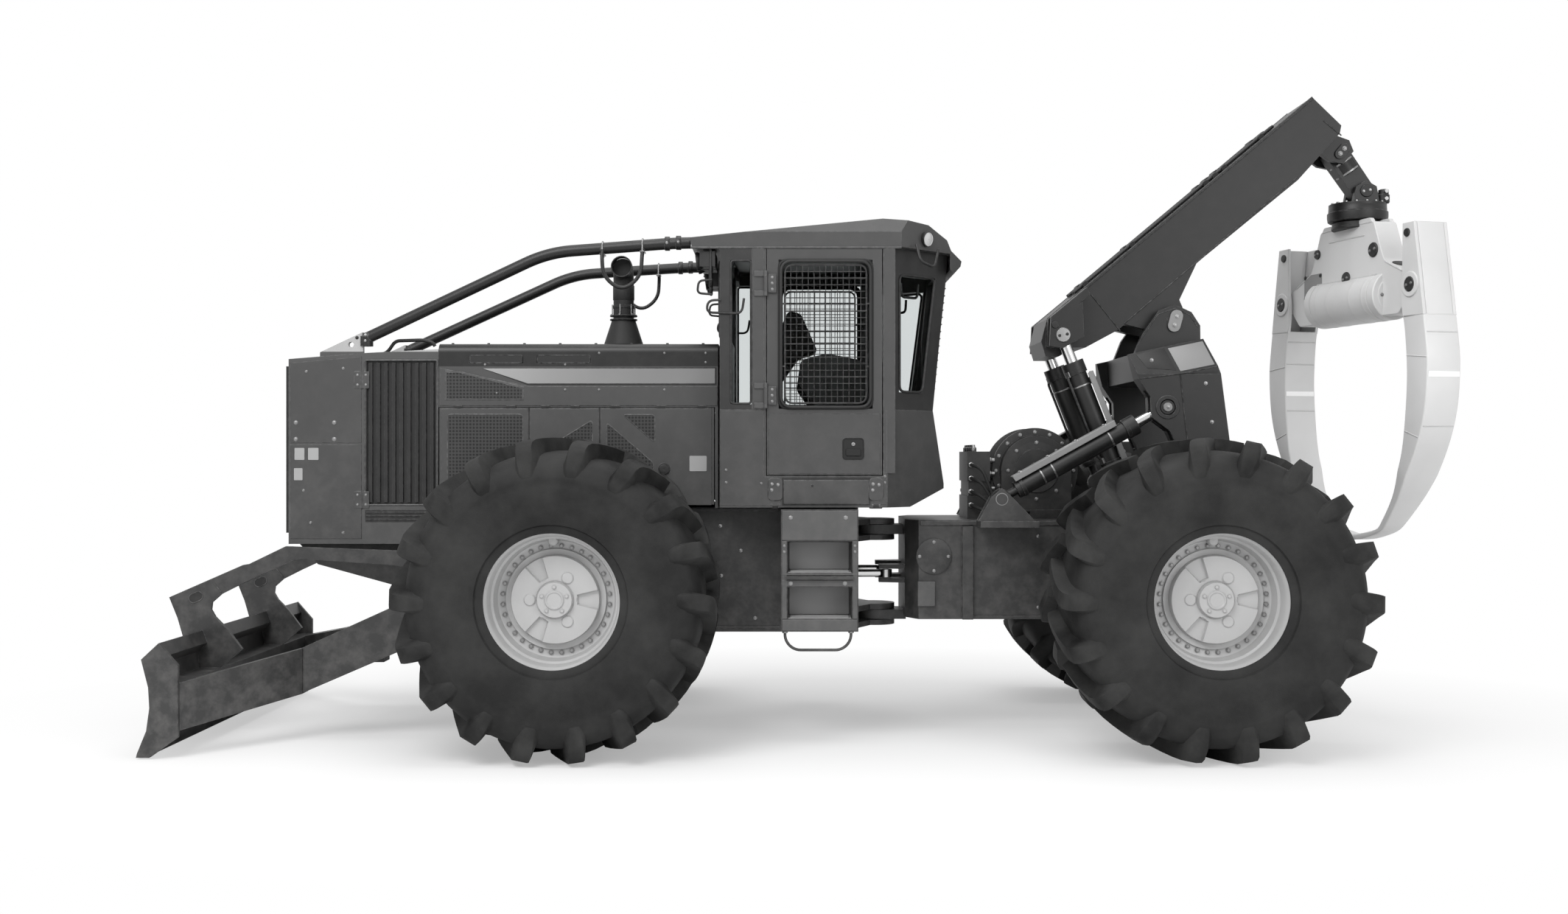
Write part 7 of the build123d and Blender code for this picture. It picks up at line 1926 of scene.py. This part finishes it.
def swollen(mesh, cap):
    """The mesh puffed by a cloth run under pressure, no point moved further than the cap."""
    scene = bpy.context.scene
    work = bpy.data.objects.new("pad_work", mesh)
    scene.collection.objects.link(work)
    bpy.context.view_layer.objects.active = work
    remesh = work.modifiers.new("even", "REMESH")
    remesh.mode = "VOXEL"
    remesh.voxel_size = 0.008
    bpy.ops.object.modifier_apply(modifier="even")
    rest = np.array([vertex.co for vertex in work.data.vertices])
    cloth = work.modifiers.new("puff", "CLOTH")
    cloth.settings.use_pressure = True
    cloth.settings.uniform_pressure_force = 4.0
    cloth.settings.effector_weights.gravity = 0.0
    for step in range(1, 21):
        scene.frame_set(step)
    bpy.ops.object.modifier_apply(modifier="puff")
    scene.frame_set(1)
    moved = np.array([vertex.co for vertex in work.data.vertices]) - rest
    length = np.linalg.norm(moved, axis=1)[:, None]
    moved *= np.minimum(1.0, cap / np.maximum(length, 1e-9))
    points = rest + moved
    faces = [tuple(polygon.vertices) for polygon in work.data.polygons]
    bpy.data.objects.remove(work)
    return points, faces


def make_place():
    """Make the padded seat, the armrests' pads, the control sticks, the column and the display."""
    shell = Shell()
    for name, low, high, lean, cap in SEAT_PADS:
        mesh = bpy.data.meshes.new(name)
        points, faces = pad_grid(low, high, lean)
        mesh.from_pydata((points + (DATUM_X, 0, 0)).tolist(), [], faces)
        points, faces = swollen(mesh, cap)
        points = points - (DATUM_X, 0, 0)
        # sewn channels: a shallow groove wherever cos(k y) peaks, on the face that bears the operator
        facing = points[:, 2] if name == "cushion" else points[:, 0]
        level = (facing - facing.min()) / (facing.max() - facing.min())
        groove = np.exp(-((np.abs(points[:, 1]) - 0.125) / 0.008) ** 2) * 0.010 * np.clip(level * 2 - 1, 0, 1)
        points[:, 2 if name == "cushion" else 0] -= groove
        shell.add(points, faces, 0)
    piece = shell.build("seat_padding", finishes("seat"), 60)
    smoother = piece.modifiers.new("smooth", "SUBSURF")
    smoother.levels = smoother.render_levels = 1
    bpy.context.view_layer.objects.active = piece
    bpy.ops.object.modifier_apply(modifier="smooth")
    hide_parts("seat_pads")

    dark, plastic, steel = range(3)
    shell = Shell()
    # the suspension's bellows: seven round folds, one over another
    for fold in range(7):
        z = 1.585 + 0.036 * fold
        bend = soften(corners(-0.225, 0.125, -0.185, 0.185), 0.05)
        ring = [(x, y, z) for x, y in bend]
        shell.add(*ring_bar(ring, 0.015, (0, 0, 1), 8), plastic)
    for side in SIDES:
        # armrest pads, sticks with moulded grips, and switch plates
        shell.add(*box((-0.258, 0.196), side_pair(side, 0.302, 0.398), (2.086, 2.112), 0.010), plastic)
        stick = [(2.075, 0.030), (2.090, 0.034), (2.100, 0.022), (2.112, 0.016), (2.130, 0.018),
            (2.150, 0.024), (2.175, 0.027), (2.200, 0.028), (2.215, 0.024), (2.222, 0.012), (2.223, 0.001)]
        shell.add(*revolve(stick, (0.120, side * 0.350, 0), 24, "z"), dark)
        for row in range(3):
            button = [(2.108, 0.010), (2.116, 0.010), (2.118, 0.007), (2.118, 0.001)]
            shell.add(*revolve(button, (0.020 - 0.045 * row, side * (0.335 + 0.020 * (row % 2)),
                0), 14, "z"), steel)
        # switch panel outboard of each armrest
        panel = soften([(-0.300, 2.100), (0.100, 2.100), (0.240, 2.300), (0.220, 2.460), (0.050, 2.505),
            (-0.280, 2.440)], 0.03)
        shell.sheet(side, panel, 0.410, 0.500, plastic, 0.006)
    # steering column with its hooded display
    column = soften([(0.560, 2.240), (0.420, 2.230), (0.230, 2.500), (0.100, 2.540), (0.215, 2.800),
        (0.300, 2.820), (0.400, 2.600)], 0.03)
    shell.add(*plate(column, -0.130, 0.130, bevel=0.008), plastic)
    # display on the console with its bezel
    shell.add(*box((0.450, 0.520), (-0.150, 0.150), (2.235, 2.262), 0.006), plastic)
    shell.add(*slab_box((0.480, 0, 2.330), 0.110, 0.075), dark)
    shell.build("controls", finishes("dark plastic steel"))


class SKIDDER_OT_place(bpy.types.Operator):
    """Make the padded seat, the armrests' pads, the control sticks, the column and the display"""
    bl_idname = "skidder.place"
    bl_label = "Operator's place"

    def execute(self, context):
        make_place()
        return {"FINISHED"}


def slab_box(middle, half_width, half_height):
    """A display: a thin box that leans back by a quarter of its height."""
    points, faces = plate([(-0.012, -half_height), (0.012, -half_height), (0.012, half_height),
        (-0.012, half_height)], -half_width, half_width, "y", 0.004)
    points = points.reshape(-1, 3)
    points[:, 0] += 0.25 * points[:, 2]
    return points + np.array(middle), faces


# ------------------------------------------------------------------------------
# Panel, registration and the build
# ------------------------------------------------------------------------------
OPERATORS = [SKIDDER_OT_finishes, SKIDDER_OT_stage, SKIDDER_OT_wheels, SKIDDER_OT_nose, SKIDDER_OT_hood,
    SKIDDER_OT_stack, SKIDDER_OT_cab, SKIDDER_OT_doors, SKIDDER_OT_frames, SKIDDER_OT_winch, SKIDDER_OT_blade,
    SKIDDER_OT_cylinders, SKIDDER_OT_arch, SKIDDER_OT_grapple, SKIDDER_OT_place]


class SKIDDER_PT_build(bpy.types.Panel):
    """Sizes, colours and the build steps"""
    bl_label = "Grapple skidder"
    bl_idname = "SKIDDER_PT_build"
    bl_space_type = "VIEW_3D"
    bl_region_type = "UI"
    bl_category = "Skidder"

    def draw(self, context):
        for group in (context.scene.skidder_sizes, context.scene.skidder_colours):
            for key in group.__annotations__:
                self.layout.prop(group, key)
        for operator in OPERATORS:
            self.layout.operator(operator.bl_idname)


CLASSES = [SkidderSizes, SkidderColours] + OPERATORS + [SKIDDER_PT_build]


def register():
    """Registers the classes and hangs the settings on the scene."""
    for kept in CLASSES:
        bpy.utils.register_class(kept)
    bpy.types.Scene.skidder_sizes = bpy.props.PointerProperty(type=SkidderSizes)
    bpy.types.Scene.skidder_colours = bpy.props.PointerProperty(type=SkidderColours)


def unregister():
    """Takes the settings and the classes away again."""
    del bpy.types.Scene.skidder_colours
    del bpy.types.Scene.skidder_sizes
    for kept in reversed(CLASSES):
        bpy.utils.unregister_class(kept)


def main():
    """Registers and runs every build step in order."""
    register()
    for operator in OPERATORS:
        group, name = operator.bl_idname.split(".")
        getattr(getattr(bpy.ops, group), name)()


if __name__ == "__main__":
    main()
